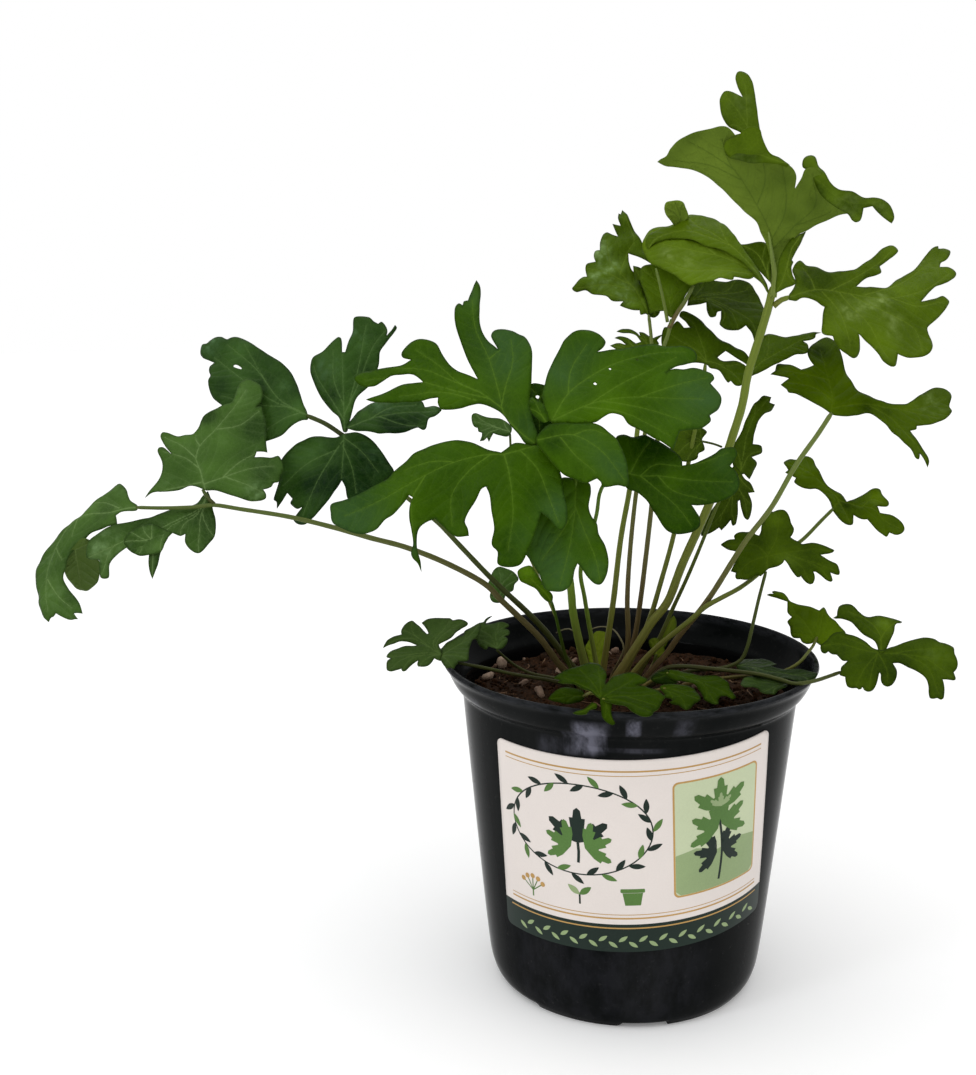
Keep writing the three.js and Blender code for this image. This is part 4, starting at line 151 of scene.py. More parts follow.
     "veins": [[-0.07, -0.4, -10.54, 10.16, -15.96, 20.55, -20.18, 33.31, -21.85, 49.76, -20.55, 65.27], [-10.54, 10.16, -20.77, 14.88, -30.39, 24.46], [-0.63, 1.02, -3.32, 12.68, -4.56, 21.98, -3.83, 38.94, 1.25, 65.47], [-4.16, 17.17, -10.33, 32.6, -14.48, 46.92, -18.37, 59.78], [-4.56, 21.98, 2.09, 41.5, 11.36, 55.62], [-3.83, 38.94, -7.21, 58.4, -8.39, 70.95], [-3.31, 14.77, 2.87, 32.38, 15.02, 45.36]],
     "zones": [[-20.65, 10.09, 9.61, -0.05, 1], [-30.93, 30.88, 5.24, -0.15, 0.2], [-23.69, 46.09, 6.99, -0.3, 0], [-0.46, 67.1, 13.11, 0, 1.1], [1.69, 23.94, 9.61, 0.4, 0], [-7.96, 47.06, 6.12, 0.2, 0], [-2.1, 2.3, 4.37, 0.35, 0.1], [18.25, 58.03, 6.12, -0.25, 0], [-8.06, 18.52, 4.37, -0.2, 0], [6.29, 50.89, 5.24, 0.2, 0.1], [9.94, 34.27, 5.24, -0.2, 0], [-27.49, 23.11, 5.24, -0.1, 0.5]],
     "holes": [[-12.57, 22.28, 0.7], [-18.17, 30.81, 0.52], [-20.05, 43.28, 0.52]]},
   ], "stalks": [
   ]},
  {"name": "centre_leaf_low_left", "node": "centre_leaf_low_left", "family": "centre", "stem": "stem_green", "slot": "leaf_deep_green",
   "blades": [
    {"at": [-44.5, -63.9, 250.8], "across": [-0.5018, 0.3885, 0.7728], "along": [-0.8635, -0.1731, -0.4737], "bend": [-0.001, -0.001, 0, 3, 1.3, 28, 0.4, 1.9], "tone": 0.47, "quilt": 0.4, "ruffle": 0.35,
     "edge": [0.73, 0.47, 4.04, 4.36, 5.01, 6.23, 4.81, 9.32, 4.5, 12.2, 7.92, 15.53, 13.71, 19.73, 17.29, 24.28, 19.58, 28.71, 21.63, 36.22, 22.31, 41.71, 21.14, 46.2, 20.48, 51.42, 19.25, 54.99, 19.7, 62.81, 20.45, 72.07, 21.91, 79.36, 19.08, 81.02, 15.54, 82.16, 11.31, 79.79, 5.56, 75.15, 4.06, 71.57, 3.54, 68.5, 4.9, 63.81, 4.95, 60.87, 6.35, 55.32, 8.26, 51.3, 6.75, 50.49, 4.79, 52.83, 0.76, 55.63, -3.84, 57.28, -8.98, 59.61, -11.4, 61.91, -13.59, 62.28, -15.94, 61.67, -20.15, 62.13, -15.95, 60.23, -11.25, 58.99, -6.34, 56.12, -4.53, 53.63, -4.24, 50.1, -4.72, 47.24, -8.71, 46.07, -13.51, 44.96, -15.8, 43.43, -17.86, 39.47, -15.28, 38.42, -12.11, 37.95, -9.31, 34.55, -6.83, 29.77, -4.28, 25.92, -4.42, 24.11, -7.73, 24.57, -14.01, 27.25, -20.03, 29.65, -25.12, 33.65, -28.23, 33.05, -32.45, 35.37, -34.95, 33.58, -37.43, 28.35, -34.06, 22.68, -29.14, 16.44, -23.98, 10.94, -27.46, 9.65, -33.2, 8.97, -34.26, 7.91, -32.98, 5.11, -28.77, 2.15, -23.08, 0, -16.07, -2.93, -9.81, -4.06, -3.35, -3.86, -0.9, -2.17],
     "veins": [[0, 0, 1.36, 5.48, 3.32, 11.54, 6.97, 17.98, 10.39, 29.42, 11.94, 44.25, 12.81, 59.77, 15.34, 76.69], [3.32, 11.54, -4.47, 13.82, -18.67, 20.4, -29.86, 29.26], [5.94, 16.32, 4.84, 25.97, -0.05, 36.9, -10.75, 43.03], [1.36, 5.48, -9.12, 3.59, -19.36, 5.21, -30.68, 7.47], [11.57, 42.2, 6.01, 51.23, -7.53, 58.31], [10.39, 29.42, 15.44, 37.75, 18.31, 47.58]],
     "zones": [[14.66, 74.81, 13.11, -0.05, 1.1], [12.02, 30.71, 11.36, -0.05, 0.15], [-5.58, 35.59, 6.99, -0.15, 0], [-25.65, 4.92, 6.99, 0, 0.9], [-28.59, 27.62, 7.87, -0.1, 0], [-0.42, 17.76, 7.87, 0.12, 0], [-10.18, 59.85, 3.93, 0, 0.9], [-17.57, 12.18, 6.12, -0.08, 0], [-18.55, 26.1, 3.93, 0.12, 0], [8.95, 21.32, 4.37, 0.1, 0], [-8.55, 4.59, 5.24, 0.12, 0], [-27.25, 22.37, 5.24, 0, 0.3]]},
   ], "stalks": [
   ]},
  {"name": "centre_leaf_middle", "node": "centre_leaf_middle", "family": "centre", "stem": "stem_green", "slot": "leaf_deep_green",
   "blades": [
    {"at": [-42.34, -68, 254.5], "across": [-0.3943, -0.5911, -0.7037], "along": [0.8968, -0.0803, -0.435], "bend": [-0.002, -0.001, 0, 3, 0.6, 22, 0.4, 0.7], "tone": 0.5, "quilt": 0.3, "ruffle": 0.35,
     "edge": [4.99, 3.37, 6.97, 8.13, 9.32, 13.43, 8.93, 19.3, 7.94, 23.37, 5.18, 25.49, 3.72, 26.46, 4.36, 28.41, 6.32, 29.64, 2.07, 34.96, 0.28, 38.46, -3.63, 37.57, -7.95, 34.83, -14.4, 28.85, -16.45, 26.47, -17.08, 22.93, -17.85, 17.44, -12.28, 7.94, -7.51, 0.77, -3.6, -0.65, 1.61, -1.05],
     "veins": [[1.21, -0.36, -7.9, 10.97, -7.64, 22.39, -4.44, 30.48, -1.57, 36.33], [-7.9, 10.97, -13.72, 16.14, -15.63, 22.47], [-4.35, 6.76, -0.23, 14.95, 1.83, 24.75]],
     "zones": [[-8.59, 18.08, 7.87, 0.05, 0.4], [-0.71, 4.82, 5.24, -0.35, 0], [-4.38, 31.87, 6.12, 0, 0.9], [5.28, 17.42, 5.24, -0.15, 0], [-3.6, 24.53, 4.37, 0, 0.4]]},
   ], "stalks": [
   ]},
  {"name": "centre_leaf_right", "node": "centre_leaf_right", "family": "centre", "stem": "stem_green", "slot": "leaf_deep_green",
   "blades": [
    {"at": [-8.2, -41, 236.83], "across": [-0.0386, -0.4918, -0.8699], "along": [0.9893, 0.1038, -0.1026], "bend": [-0.0012, -0.0012, 0, 3, 1, 22, 0.4, 0.7], "tone": 0.32, "quilt": 0.3, "ruffle": 0.35,
     "edge": [-2.58, -0.03, 2.64, -0.01, 7.11, 2.13, 8.03, 6, 9.99, 9.18, 12.87, 11.87, 17.6, 14.46, 22.65, 18.44, 23.95, 21.62, 23.73, 24.82, 21.97, 30.3, 19.87, 32.59, 16.52, 32.77, 14.04, 31.11, 11.22, 29.24, 11.29, 32.32, 9.63, 38.61, 6.51, 45.02, 2.7, 48.84, -1.76, 49.94, -5.85, 48.95, -7.77, 45.98, -10.75, 47.97, -13.7, 49.11, -15.81, 47.82, -14.63, 42.08, -11.79, 38.79, -8.71, 33.94, -6.05, 28.36, -5.28, 25.19, -7.49, 24.92, -10.86, 22.1, -12.96, 19.28, -15.28, 15.13, -17.19, 9.55, -15.7, 4.07, -16.48, 0.66, -15.21, -2.41, -12.01, -2.55, -7.42, -0.82],
     "veins": [[0, 0, 1.17, 7.38, 0.42, 14.88, 0.36, 28.63, -0.85, 45.9], [1.17, 7.38, -4.15, 13.57, -4.81, 24.09, -7.87, 34.84, -13.06, 44.86], [0.63, 3.27, -8.18, 7.47, -14.45, 11.74], [1.17, 7.38, 5.45, 13.82, 10.68, 20.99, 19.36, 28.48], [0.42, 14.88, 5.45, 21.04, 8.55, 34.77]],
     "zones": [[-15.23, 10.88, 7.87, -0.3, 0], [-9.76, 42.3, 6.12, 0, 0.5], [17.77, 28.4, 6.99, -0.1, 0], [-0.28, 20.82, 5.24, 0.25, 0], [2.45, 49.93, 5.24, 0, 0.4]]},
   ], "stalks": [
   ]},
  {"name": "centre_leaf_hanging", "node": "centre_leaf_hanging", "family": "centre", "stem": "stem_bright", "slot": "leaf_deep_green",
   "blades": [
    {"at": [-27.68, -57, 236.28], "across": [-0.9987, 0.0239, 0.0448], "along": [-0.0508, -0.4705, -0.8809], "bend": [-0.0015, -0.002, 0, 3, 0.9, 22, 0.4, 0.7], "tone": 0.55, "quilt": 0.7, "ruffle": 0.35,
     "edge": [10.11, 2.86, 14.49, 10.78, 18.78, 20.47, 20.78, 27.56, 17.88, 31.48, 14.98, 35.6, 12.69, 39.13, 10.34, 44.17, 7.4, 45.07, 3.8, 44.81, 0.99, 42.74, -0.38, 39.73, -0.92, 36.07, -1.9, 33.52, -3.4, 35.27, -6.06, 38.81, -9.05, 41.25, -11.16, 41.21, -13.19, 37.87, -13.85, 31.96, -12.45, 26.08, -9.74, 21.5, -8.83, 17.44, -6.57, 14.63, -5.39, 10.86, -6.06, 4.58, -5.45, 1.31, -2.36, -0.12, 1.21, -0.74, 5.54, -0.49],
     "veins": [[0, 0, -0.03, 12.43, 1.35, 26.27, 4.6, 42.28], [0.05, 10.4, -3.83, 20.31, -8.93, 31.94, -10.78, 39.61], [-0.03, 12.43, 5.39, 22.44, 12, 32.94]],
     "zones": [[7.64, 34.61, 8.74, 0, 1.1], [2.07, 8.43, 6.12, 0.2, 0.3], [-9.11, 36.58, 4.81, 0, 0.9], [11.17, 24.85, 6.12, 0, 0.7], [-3.44, 20.33, 5.24, 0.1, 0.5], [4.52, 44.24, 3.93, 0, 0.5]]},
   ], "stalks": [
    {"r": [0.6, 0.7], "ground": False, "dark": [0.2, 0.2], "reach": 1.2, "seed": 0.64, "tone": 0.33, "path": [[-27.7, -57.7, 234.61], [-28.04, -56, 238.51], [-30.85, -56, 243.29], [-35.64, -57, 246.22]]},
   ]},
  {"name": "shoot_yellow_green", "node": "shoot_yellow_green", "family": "shoot", "stem": "stem_bright", "slot": "leaf_young",
   "blades": [
    {"at": [-36.1, -34, 180.92], "across": [0.7425, 0.2864, 0.6055], "along": [-0.6381, 0.5775, 0.5092], "bend": [-0.003, 0, 0, 3, 0, 22, 0.4, 0.7], "tone": 0.55, "quilt": 0.3, "ruffle": 0.1,
     "edge": [-2.46, 17.35, -1.72, 13.89, -0.48, 9.21, -1.11, 4.93, -1.02, 1.39, -0.01, -0.64, 2.41, 1.44, 3.02, 4.8, 3.48, 10.17, 4.82, 15.32, 5.22, 19.52, 0.17, 21.81],
     "zones": [[2.55, 17.87, 3.5, 0.5, 0.3], [0.31, 0.99, 2.62, -0.3, 0]]},
   ], "stalks": [
    {"r": [0.6, 0.9], "ground": True, "dark": [0.75, 0.65], "reach": 1.2, "seed": 0.02, "tone": 0.94, "path": [[-35.7, -34.5, 180.62], [-33.77, -30, 173.41], [-31.4, -22, 162.48], [-27.97, -12, 149.32], [-21.4, -3.4, 132.9]]},
   ]},
  {"name": "small_leaf_on_left_stem", "node": "small_leaf_on_left_stem", "family": "left", "stem": "stem_green", "slot": "leaf_bluish_green",
   "blades": [
    {"at": [-57.04, -1.5, 172.62], "across": [0.9879, 0.0364, -0.1508], "along": [0.1156, 0.4753, 0.8722], "bend": [0, -0.006, 0, 3, 0.5, 12, 0.4, 0.7], "tone": 0.5, "quilt": 0.3, "ruffle": 0.35,
     "edge": [-4.46, 13.87, -5.66, 9.56, -6.42, 5.94, -4.47, 4.33, -4.77, 1.94, -3.36, -0.3, -0.99, -0.69, 1.2, 0.3, 2.55, 4.1, 5.26, 6.18, 5.53, 8.97, 7.02, 11.4, 4.29, 14.64, 1.28, 15.64, -2.31, 15.77],
     "zones": [[-1.41, 12.1, 3.06, 0.1, 0.3], [-2.54, 2.83, 3.06, -0.2, 0]]},
   ], "stalks": [
   ]},
  {"name": "top_stem", "node": "top_stem", "family": "top", "stem": "stem_green", "slot": "stem_green",
   "blades": [
   ], "stalks": [
    {"r": [1.75, 1.9], "ground": True, "reach": 1.2, "seed": 0.39, "tone": 0.56, "path": [[58.69, 7, 307.27], [57.72, 7.5, 301.77], [55.02, 8, 290.73], [52.37, 8, 281.35], [49.71, 8, 271.48], [47.61, 8, 257.65], [43.58, 7, 243.83], [39.12, 6, 229.06], [33.78, 5, 213.75], [22.85, 3, 188.22], [16.56, 2, 171.28], [10.09, 1.5, 162.75], [4.98, 1.5, 154.06], [-0.98, 2, 143.78], [-6.6, 3.2, 132.9]]},
    {"r": [1, 1.3], "ground": False, "reach": 1.2, "seed": 0.77, "tone": 0.18, "path": [[65.53, 6.5, 304.14], [62.8, 6.5, 303.3], [59.44, 7.3, 300.52]]},
   ]},
  {"name": "top_leaf_upright", "node": "top_leaf_upright", "family": "top", "stem": "stem_green", "slot": "leaf_mid_green",
   "blades": [
    {"at": [59.4, 8, 310.17], "across": [-0.9397, 0.1885, -0.2852], "along": [-0.3382, -0.3903, 0.8563], "bend": [0.0008, 0.0015, 0, 3, 0.9, 30, 0.4, 0.7], "tone": 0.55, "quilt": 0.3, "ruffle": 0.35,
     "edge": [-1.07, 18.64, -0.15, 24.01, 0.37, 29.56, 4.19, 36.25, 7.64, 42.72, 10.53, 48.01, 13.65, 52.58, 17.56, 56.91, 22.42, 60.61, 28.91, 63.39, 32.34, 66.05, 30.77, 66.99, 28.04, 67.76, 25.5, 70.26, 22.41, 72.38, 18.22, 73.21, 13.75, 73.7, 8.24, 72.7, 3.96, 72.72, 1.77, 71.79, 0.48, 70.05, -0.66, 67.58, -2.97, 67.1, -6.17, 63.19, -9.45, 59.83, -11.57, 55.88, -15.28, 51.75, -18.88, 47.36, -19.74, 43.78, -17.97, 38.42, -21.43, 42.13, -24.05, 45.13, -27.37, 44.86, -29.11, 42.23, -30.9, 33.4, -34.35, 25.81, -36.85, 20.04, -33.25, 20.65, -27.43, 20.83, -17.56, 19.31, -14.04, 18.2, -10.58, 15.94, -7.49, 13.55, -4.25, 8.82, -1.09, -0.88, 1.31, -0.11, -0.67, 9.91, -1.17, 15.5],
     "veins": [[0.11, -0.48, -2.61, 12.65, -3.94, 21.68, -1.63, 36.69, 1.54, 49.17, 4.84, 58.64, 5.05, 67.1], [-3.41, 19.5, -11.08, 28.63, -14.36, 38.83, -15.28, 49.55], [-1.63, 36.69, -7.29, 45.94, -8.66, 56.62], [1.54, 49.17, 12.31, 58.49, 25.19, 65.15], [3.19, 53.97, 12.61, 65.14, 17.45, 70.41], [-2.75, 14.98, -14.36, 23.16, -24.08, 29.22, -25.77, 42.02], [-14.36, 23.16, -29.24, 23.84]],
     "zones": [[14.52, 65.81, 7.87, 0.2, 0], [-1.44, 20.18, 5.24, 0.5, 0], [8, 56.02, 6.12, 0.2, 0], [-15.73, 42.81, 3.5, -0.15, 0], [27.91, 65.89, 4.37, -0.25, 0], [4.08, 34.18, 5.24, 0.15, 0], [5.83, 43.79, 3.5, 0.25, 0], [-13.42, 27.95, 3.5, -0.3, 0], [-24.08, 29.22, 4.37, -0.35, 0], [16.68, 73.18, 5.24, -0.25, 0]]},
    {"at": [42.73, -14.08, 363.28], "across": [0.995, -0.0921, 0.0396], "along": [0.003, 0.4226, 0.9063], "bend": [0, -0.003, 0, 3, 0.4, 22, 0.4, 0.7], "tone": 0.42, "quilt": 0.3, "ruffle": 0.35,
     "edge": [-5.74, 7.42, -8.58, 6.1, -9.67, 2.04, -7.75, -1.65, -3.99, -3.44, 1.41, -4.94, 7.65, -5.42, 13.17, -5.61, 16.56, -6.21, 12.95, -3.26, 8.52, -0.59, 5.99, 5.21, 4.85, 12.22, 4.32, 19.23, 3.66, 26.26, 2.77, 31.8, 1.19, 35.05, -1.52, 36.37, -3, 35.83, -3.94, 33.23, -3.22, 29.63, -1.29, 24.68, -6.1, 27.12, -8.56, 27.29, -10.41, 24.67, -10.53, 20.83, -9.6, 15.74, -7.32, 11.7, -3.92, 9.32, -2.24, 8.19],
     "vein_power": 0.5,
     "dark_margin": 0.5,
     "zones": [[-1.2, 0.05, 6.55, -0.7, 0.2], [-1.59, 23.18, 5.24, -0.2, 0.2]]},
    {"at": [70.05, -11.2, 353.13], "across": [-0.6297, -0.2606, -0.7318], "along": [0.7334, -0.5101, -0.4495], "bend": [0, -0.004, 0, 3, 0.4, 22, 0.4, 0.7], "tone": 0.5, "quilt": 0.3, "ruffle": 0.35,
     "edge": [0.72, 1.03, 4.4, 6.71, 6.36, 15.96, 6.11, 21.59, 7.79, 24.94, 7.7, 26.61, 6.23, 27.55, 0.82, 25.27, -1.58, 27.71, 0.04, 32.54, 0.66, 35.83, 0.71, 38.55, -1.6, 38.13, -5.54, 33.52, -6.2, 30.16, -5.04, 26.04, -3.1, 22.88, -2.71, 16.89, -0.83, 11.99, -1.71, 7.53, -4.55, 2.43, -5.99, -1.66, -8.61, -5.16, -8.78, -7.18, -7.21, -8.61, -4.76, -8.53, -1.76, -6.29, -2.47, -2.33],
     "vein_power": 0.25,
     "zones": [[4.13, 4.05, 5.24, -0.6, 0], [2.48, 19.93, 6.99, -0.5, 0.2], [16, 6.32, 5.24, 0.35, 0], [-1.77, 31.24, 4.37, -0.3, 0.2]]},
   ], "stalks": [
   ]},
  {"name": "top_leaf_left", "node": "top_leaf_left", "family": "top", "stem": "stem_green", "slot": "leaf_mid_green",
   "blades": [
    {"at": [56.19, 6, 306.9], "across": [0.495, 0.5593, 0.665], "along": [-0.8631, 0.405, 0.3019], "bend": [-0.0012, -0.003, 0, 3, 0.8, 26, 0.4, 0.7], "tone": 0.6, "quilt": 0.45, "ruffle": 0.35,
     "edge": [0.74, -0.35, 9.5, 7.99, 15.9, 15.74, 20.26, 21.82, 24.61, 27.95, 29.31, 35.03, 31.92, 41.3, 32.59, 46.71, 30.52, 51.71, 25.71, 51.35, 22.75, 54.33, 19.65, 58.34, 16.64, 61.94, 12.69, 62.98, 6.72, 62.13, 3.31, 60.8, -1.1, 56.48, -3.5, 53.07, -4.76, 48.07, -6.6, 41.38, -9.72, 30.59, -7.82, 28.21, -4.74, 23.19, -1.46, 20.66, -0.29, 15.61, 1.14, 15.81, 3.22, 9.14, 4.59, 8.19, 2.1, 3.03, -0.8, -0.68],
     "veins": [[0.16, -0.38, 8.08, 11.53, 10.58, 24.4, 8.91, 40.31, 7.1, 58.87], [9.86, 17, 15.53, 31.5, 25.53, 45.88], [6.03, 8.29, 3.02, 23.23, -1.63, 35.2, -0.81, 47.61], [10.95, 29.33, 15.46, 43.48, 14.39, 55.14]],
     "dark_margin": 0.6,
     "zones": [[2.88, 37.39, 5.24, 0.1, 0.5], [3.59, 48.34, 3.5, 0, 0.5], [0.07, 21.85, 5.24, 0.2, 0.2], [-0.92, 12.06, 4.37, -0.3, 0]]},
    {"at": [23.65, 43.57, 334.02], "across": [-0.9182, 0.075, -0.389], "along": [-0.3818, -0.4299, 0.8182], "bend": [0, 0.006, 0, 3, 0, 22, 0.4, 0.7], "tone": 1, "quilt": 0.3, "ruffle": 0.35,
     "edge": [-2.66, -2.09, 2.28, 0.27, 3.5, 4.02, 4.56, 8.21, 4.07, 11.67, 2.42, 13.54, -0.97, 12.73, -4.33, 10.3, -4.61, 7.54, -4.56, 2.29]},
   ], "stalks": [
   ]},
  {"name": "top_leaf_right", "node": "top_leaf_right", "family": "top", "stem": "stem_green", "slot": "leaf_mid_green",
   "blades": [
    {"at": [66.05, 6, 304.59], "across": [0.2294, -0.571, -0.7882], "along": [0.9658, 0.2343, 0.1114], "bend": [-0.0012, -0.0015, 0, 3, 1.2, 26, 0.4, 1], "tone": 0.4, "quilt": 0.5, "ruffle": 0.35,
     "edge": [2.05, -1.21, 2.74, 1.76, 1.81, 4.49, 2.51, 7.48, 4.55, 10.94, 6.8, 13.94, 9.54, 12.28, 14.37, 10.2, 19.64, 8.72, 22.04, 12.11, 24.04, 12.07, 29.36, 14.15, 30.85, 16.01, 32.67, 18.56, 32.44, 20.15, 29.62, 22.75, 25.93, 23.74, 22.61, 23.98, 26.87, 27.78, 31.95, 30.85, 35.22, 31.92, 38.44, 34.61, 38.48, 36.44, 36.25, 38.1, 32.78, 39.91, 33.82, 41.35, 35.53, 44.29, 35.8, 49.42, 33.99, 54.75, 30.96, 57.12, 28.06, 58.11, 24.06, 57.95, 21.27, 58.87, 16.6, 66.04, 11.61, 72.45, 8.36, 74.96, 6.36, 72.31, 7.96, 66.22, 8.81, 59.9, 2.4, 69.02, -0.64, 78.02, -4.75, 83.44, -8.47, 81.2, -9.21, 76.98, -11.55, 78.81, -14.57, 84.14, -18.89, 87.26, -20.55, 85.41, -20.06, 81.55, -21.8, 82.24, -20.12, 78.03, -15.46, 71.97, -8.22, 63.07, -3.83, 52.87, -0.05, 46.09, -1.05, 38.01, -1.79, 32.23, -5.49, 38.57, -7.6, 46.41, -10.9, 46.95, -14.26, 53.05, -18.22, 58.83, -20.98, 57.77, -19.65, 51.47, -15.69, 45.53, -12.36, 39.09, -9.46, 32.97, -9.12, 26.88, -9.91, 20.72, -13.54, 17.43, -15.35, 13.24, -17.86, 10.89, -14.3, 6.37, -6.19, 4.54, -2.08, 1.12, -1.01, -0.14],
     "veins": [[0.26, -0.09, -1.3, 11.84, 1.79, 27.77, 6.07, 45.3, 3.46, 63.64, -4.71, 79.08], [-1.3, 11.84, -7.83, 11.9, -13.95, 11.06], [-0.13, 18.59, -5.51, 32.52, -12.81, 47.57, -18.72, 55.86], [2.82, 34.73, -1.27, 53.46, -12.78, 73.89], [6.07, 45.3, 11.09, 55.72, 9.11, 70.73], [1.79, 27.77, 13.17, 39.96, 21.85, 52.37, 32.38, 51.41], [1.07, 23.09, 16.07, 29.34, 34.09, 34.7], [0.02, 14.71, 8.98, 19.56, 26.89, 18.65]],
     "vein_power": 0.7,
     "zones": [[10.76, 24.51, 4.37, 0.1, 0.95], [8.89, 33.68, 3.5, 0.1, 0.6], [6.47, 40.37, 3.93, 0.1, 0.75], [19.31, 41.45, 5.24, 0, 0.6], [-6.35, 13.63, 6.55, -0.6, 0], [27.94, 36.92, 6.12, 0.25, 0], [-11.17, 70.55, 5.24, 0, 0.3], [2.2, 51.85, 4.37, 0.25, 0], [26.89, 18.65, 5.24, -0.3, 0], [-4.39, 39.74, 4.37, -0.3, 0], [8.34, 64.49, 4.37, -0.2, 0]]},
   ], "stalks": [
   ]},
  {"name": "back_stem_1", "node": "back_stem_1", "family": "back", "stem": "stem_green", "slot": "stem_green",
   "blades": [
   ], "stalks": [
    {"r": [0.9, 1.35], "ground": True, "dark": [0, 0.1], "reach": 1.2, "seed": 0.15, "tone": 0.8, "path": [[8.04, 27, 277.1], [4.56, 15, 259.43], [1.2, 3, 239.18], [-1.5, -4, 222.88], [-5.14, -8, 203.09], [-7.89, -8, 175.18], [-9.45, -6, 161.16], [-10.99, -1, 144.22], [-12, 2.2, 132.9]]},
   ]},
  {"name": "back_leaf_serrated", "node": "back_leaf_serrated", "family": "back", "stem": "stem_green", "slot": "leaf_mid_green",
   "blades": [
    {"at": [8.79, 30, 277.28], "across": [0.6453, 0.4921, 0.5843], "along": [-0.7573, 0.5127, 0.4045], "bend": [0, 0, 0, 3, 0, 22, 0.4, 0.7], "tone": 0.4, "quilt": 0.3, "ruffle": 0.35,
     "edge": [-6.46, 5.08, -0.91, -0.69, 3.89, -1.49, 6.4, 0.95, 8.59, 0.38, 9.7, 2.32, 14.08, 1.71, 9.69, 4.54, 9.7, 7.35, 9.67, 10.12, 8.86, 11.76, 6.93, 9.72, 8.2, 13.5, 7.81, 16.59, 5.11, 19.05, 3.15, 20.09, 3.65, 17.36, 5.87, 14.54, 6.13, 11.36, 4.64, 7.42, 2.88, 8.88, 2.89, 13.38, 1.22, 17.74, -0.16, 18.66, 0.17, 14.67, -0.31, 12.05, -1.56, 15.59, -3.1, 16.66, -5.25, 17.25, -5.18, 15.16]},
   ], "stalks": [
   ]},
  {"name": "back_stem_2", "node": "back_stem_2", "family": "back", "stem": "stem_purple", "slot": "stem_purplish",
   "blades": [
   ], "stalks": [
    {"r": [0.75, 1.2], "ground": True, "dark": [0.05, 0.05], "reach": 1.2, "seed": 0.52, "tone": 0.42, "path": [[9.23, 33.5, 294.02], [10.21, 30, 283.03], [9.27, 24, 267.24], [6.14, 14, 241.95], [2.52, 8, 218.97], [0.11, 5, 193.62], [-0.67, 5, 171.88], [0.19, 7, 152.97], [-1.21, 9, 141.22], [-5.8, 9.6, 132.9]]},
   ]},
  {"name": "back_leaf_blistered", "node": "back_leaf_blistered", "family": "back", "stem": "stem_green", "slot": "leaf_mid_green",
   "blades": [
    {"at": [8.81, 34, 295.09], "across": [0.773, 0.2383, 0.5879], "along": [-0.6263, 0.4342, 0.6475], "bend": [-0.001, 0, 0, 3, 1.2, 12, 1.2, 0.7], "tone": 0.5, "quilt": 1, "ruffle": 0.35,
     "edge": [-16.25, 30.18, -12.31, 28.17, -11.3, 24.5, -7.77, 19.61, -7.51, 15.78, -3.89, 12.36, -6.11, 12.16, -4.92, 9.38, -3.58, 6.22, -1.23, 4.27, -2.36, 2.34, -0.04, 0.97, 0.33, -0.97, 4.29, 6.33, 7.18, 13.07, 9.69, 17.58, 9.06, 21.56, 10.71, 25.28, 13.79, 29.45, 15.29, 25.95, 17.09, 19.11, 17.27, 18.63, 21.73, 29.15, 23.12, 34.92, 24.98, 41.39, 26.28, 45.29, 26.72, 48.85, 24.6, 47.54, 24.35, 48.74, 21.84, 46.1, 20.5, 42.72, 17.92, 45.42, 17.03, 42.3, 16.22, 39.55, 14.83, 42.12, 13.73, 44.52, 12.04, 44.92, 8.65, 43.13, 4.98, 38.97, 3.32, 40.03, 1.27, 38.86, 0.21, 36.4, -3.54, 38.05, -5.01, 37.31, -7.7, 33.06, -8.88, 34.05, -14.72, 33.13, -16.69, 32.68],
     "veins": [[0.31, 0.36, 2.93, 8.82, 4.28, 18.62, 5.03, 31.97, 12.14, 42.46], [3.29, 11.97, -2.61, 22.97, -14.49, 31.12], [4.16, 17.1, -0.43, 28.95, -4.21, 36.44], [3.94, 23.71, 14.18, 30.19, 19.67, 32.41, 24.95, 44.84], [2.32, 6.76, -3.91, 14.51, -8.55, 22.89]],
     "zones": [[4.19, 37.9, 3.93, 0.2, 1.5], [3.28, 28.47, 3.93, 0.2, 1.2], [-4.74, 28.72, 3.93, 0.1, 1.4], [1.67, 7.37, 4.37, 0.4, 0.1], [-0.64, 16.97, 3.93, 0.1, 0.9], [-1.73, 11.59, 3.06, 0.1, 0.5], [-12.6, 28.51, 3.06, -0.3, 0], [6.86, 13.39, 3.06, -0.3, 0], [11.12, 41.97, 2.19, 0.1, 1]]},
   ], "stalks": [
   ]},
  {"name": "back_stem_3", "node": "back_stem_3", "family": "back", "stem": "stem_purple", "slot": "stem_purplish",
   "blades": [
   ], "stalks": [
    {"r": [0.85, 1.2], "ground": True, "reach": 1.2, "seed": 0.9, "tone": 0.03, "path": [[18.27, 27, 292.46], [17.15, 27.5, 286.74], [15.04, 27, 280.19], [13.66, 22, 258.62], [11.72, 15, 232.93], [9.48, 10, 211.01], [6.99, 9, 184.57], [5.69, 10, 170.61], [3.42, 12.5, 151.41], [-2, 14.2, 132.9]]},
    {"r": [0.85, 1.05], "ground": False, "reach": 1.2, "seed": 0.28, "tone": 0.65, "path": [[27.11, 27, 307.25], [23.84, 27.5, 300.71], [20.85, 27.3, 296.37], [17.49, 27.3, 289.82]]},
   ]},
  {"name": "back_leaf_upright", "node": "back_leaf_upright", "family": "back", "stem": "stem_green", "slot": "leaf_mid_green",
   "blades": [
    {"at": [18.34, 28, 294.58], "across": [0.9963, 0.0348, 0.0783], "along": [-0.0857, 0.4046, 0.9104], "bend": [0, -0.003, 0, 3, 0, 22, 0.4, 0.7], "tone": 0.6, "quilt": 0.3, "ruffle": 0.35,
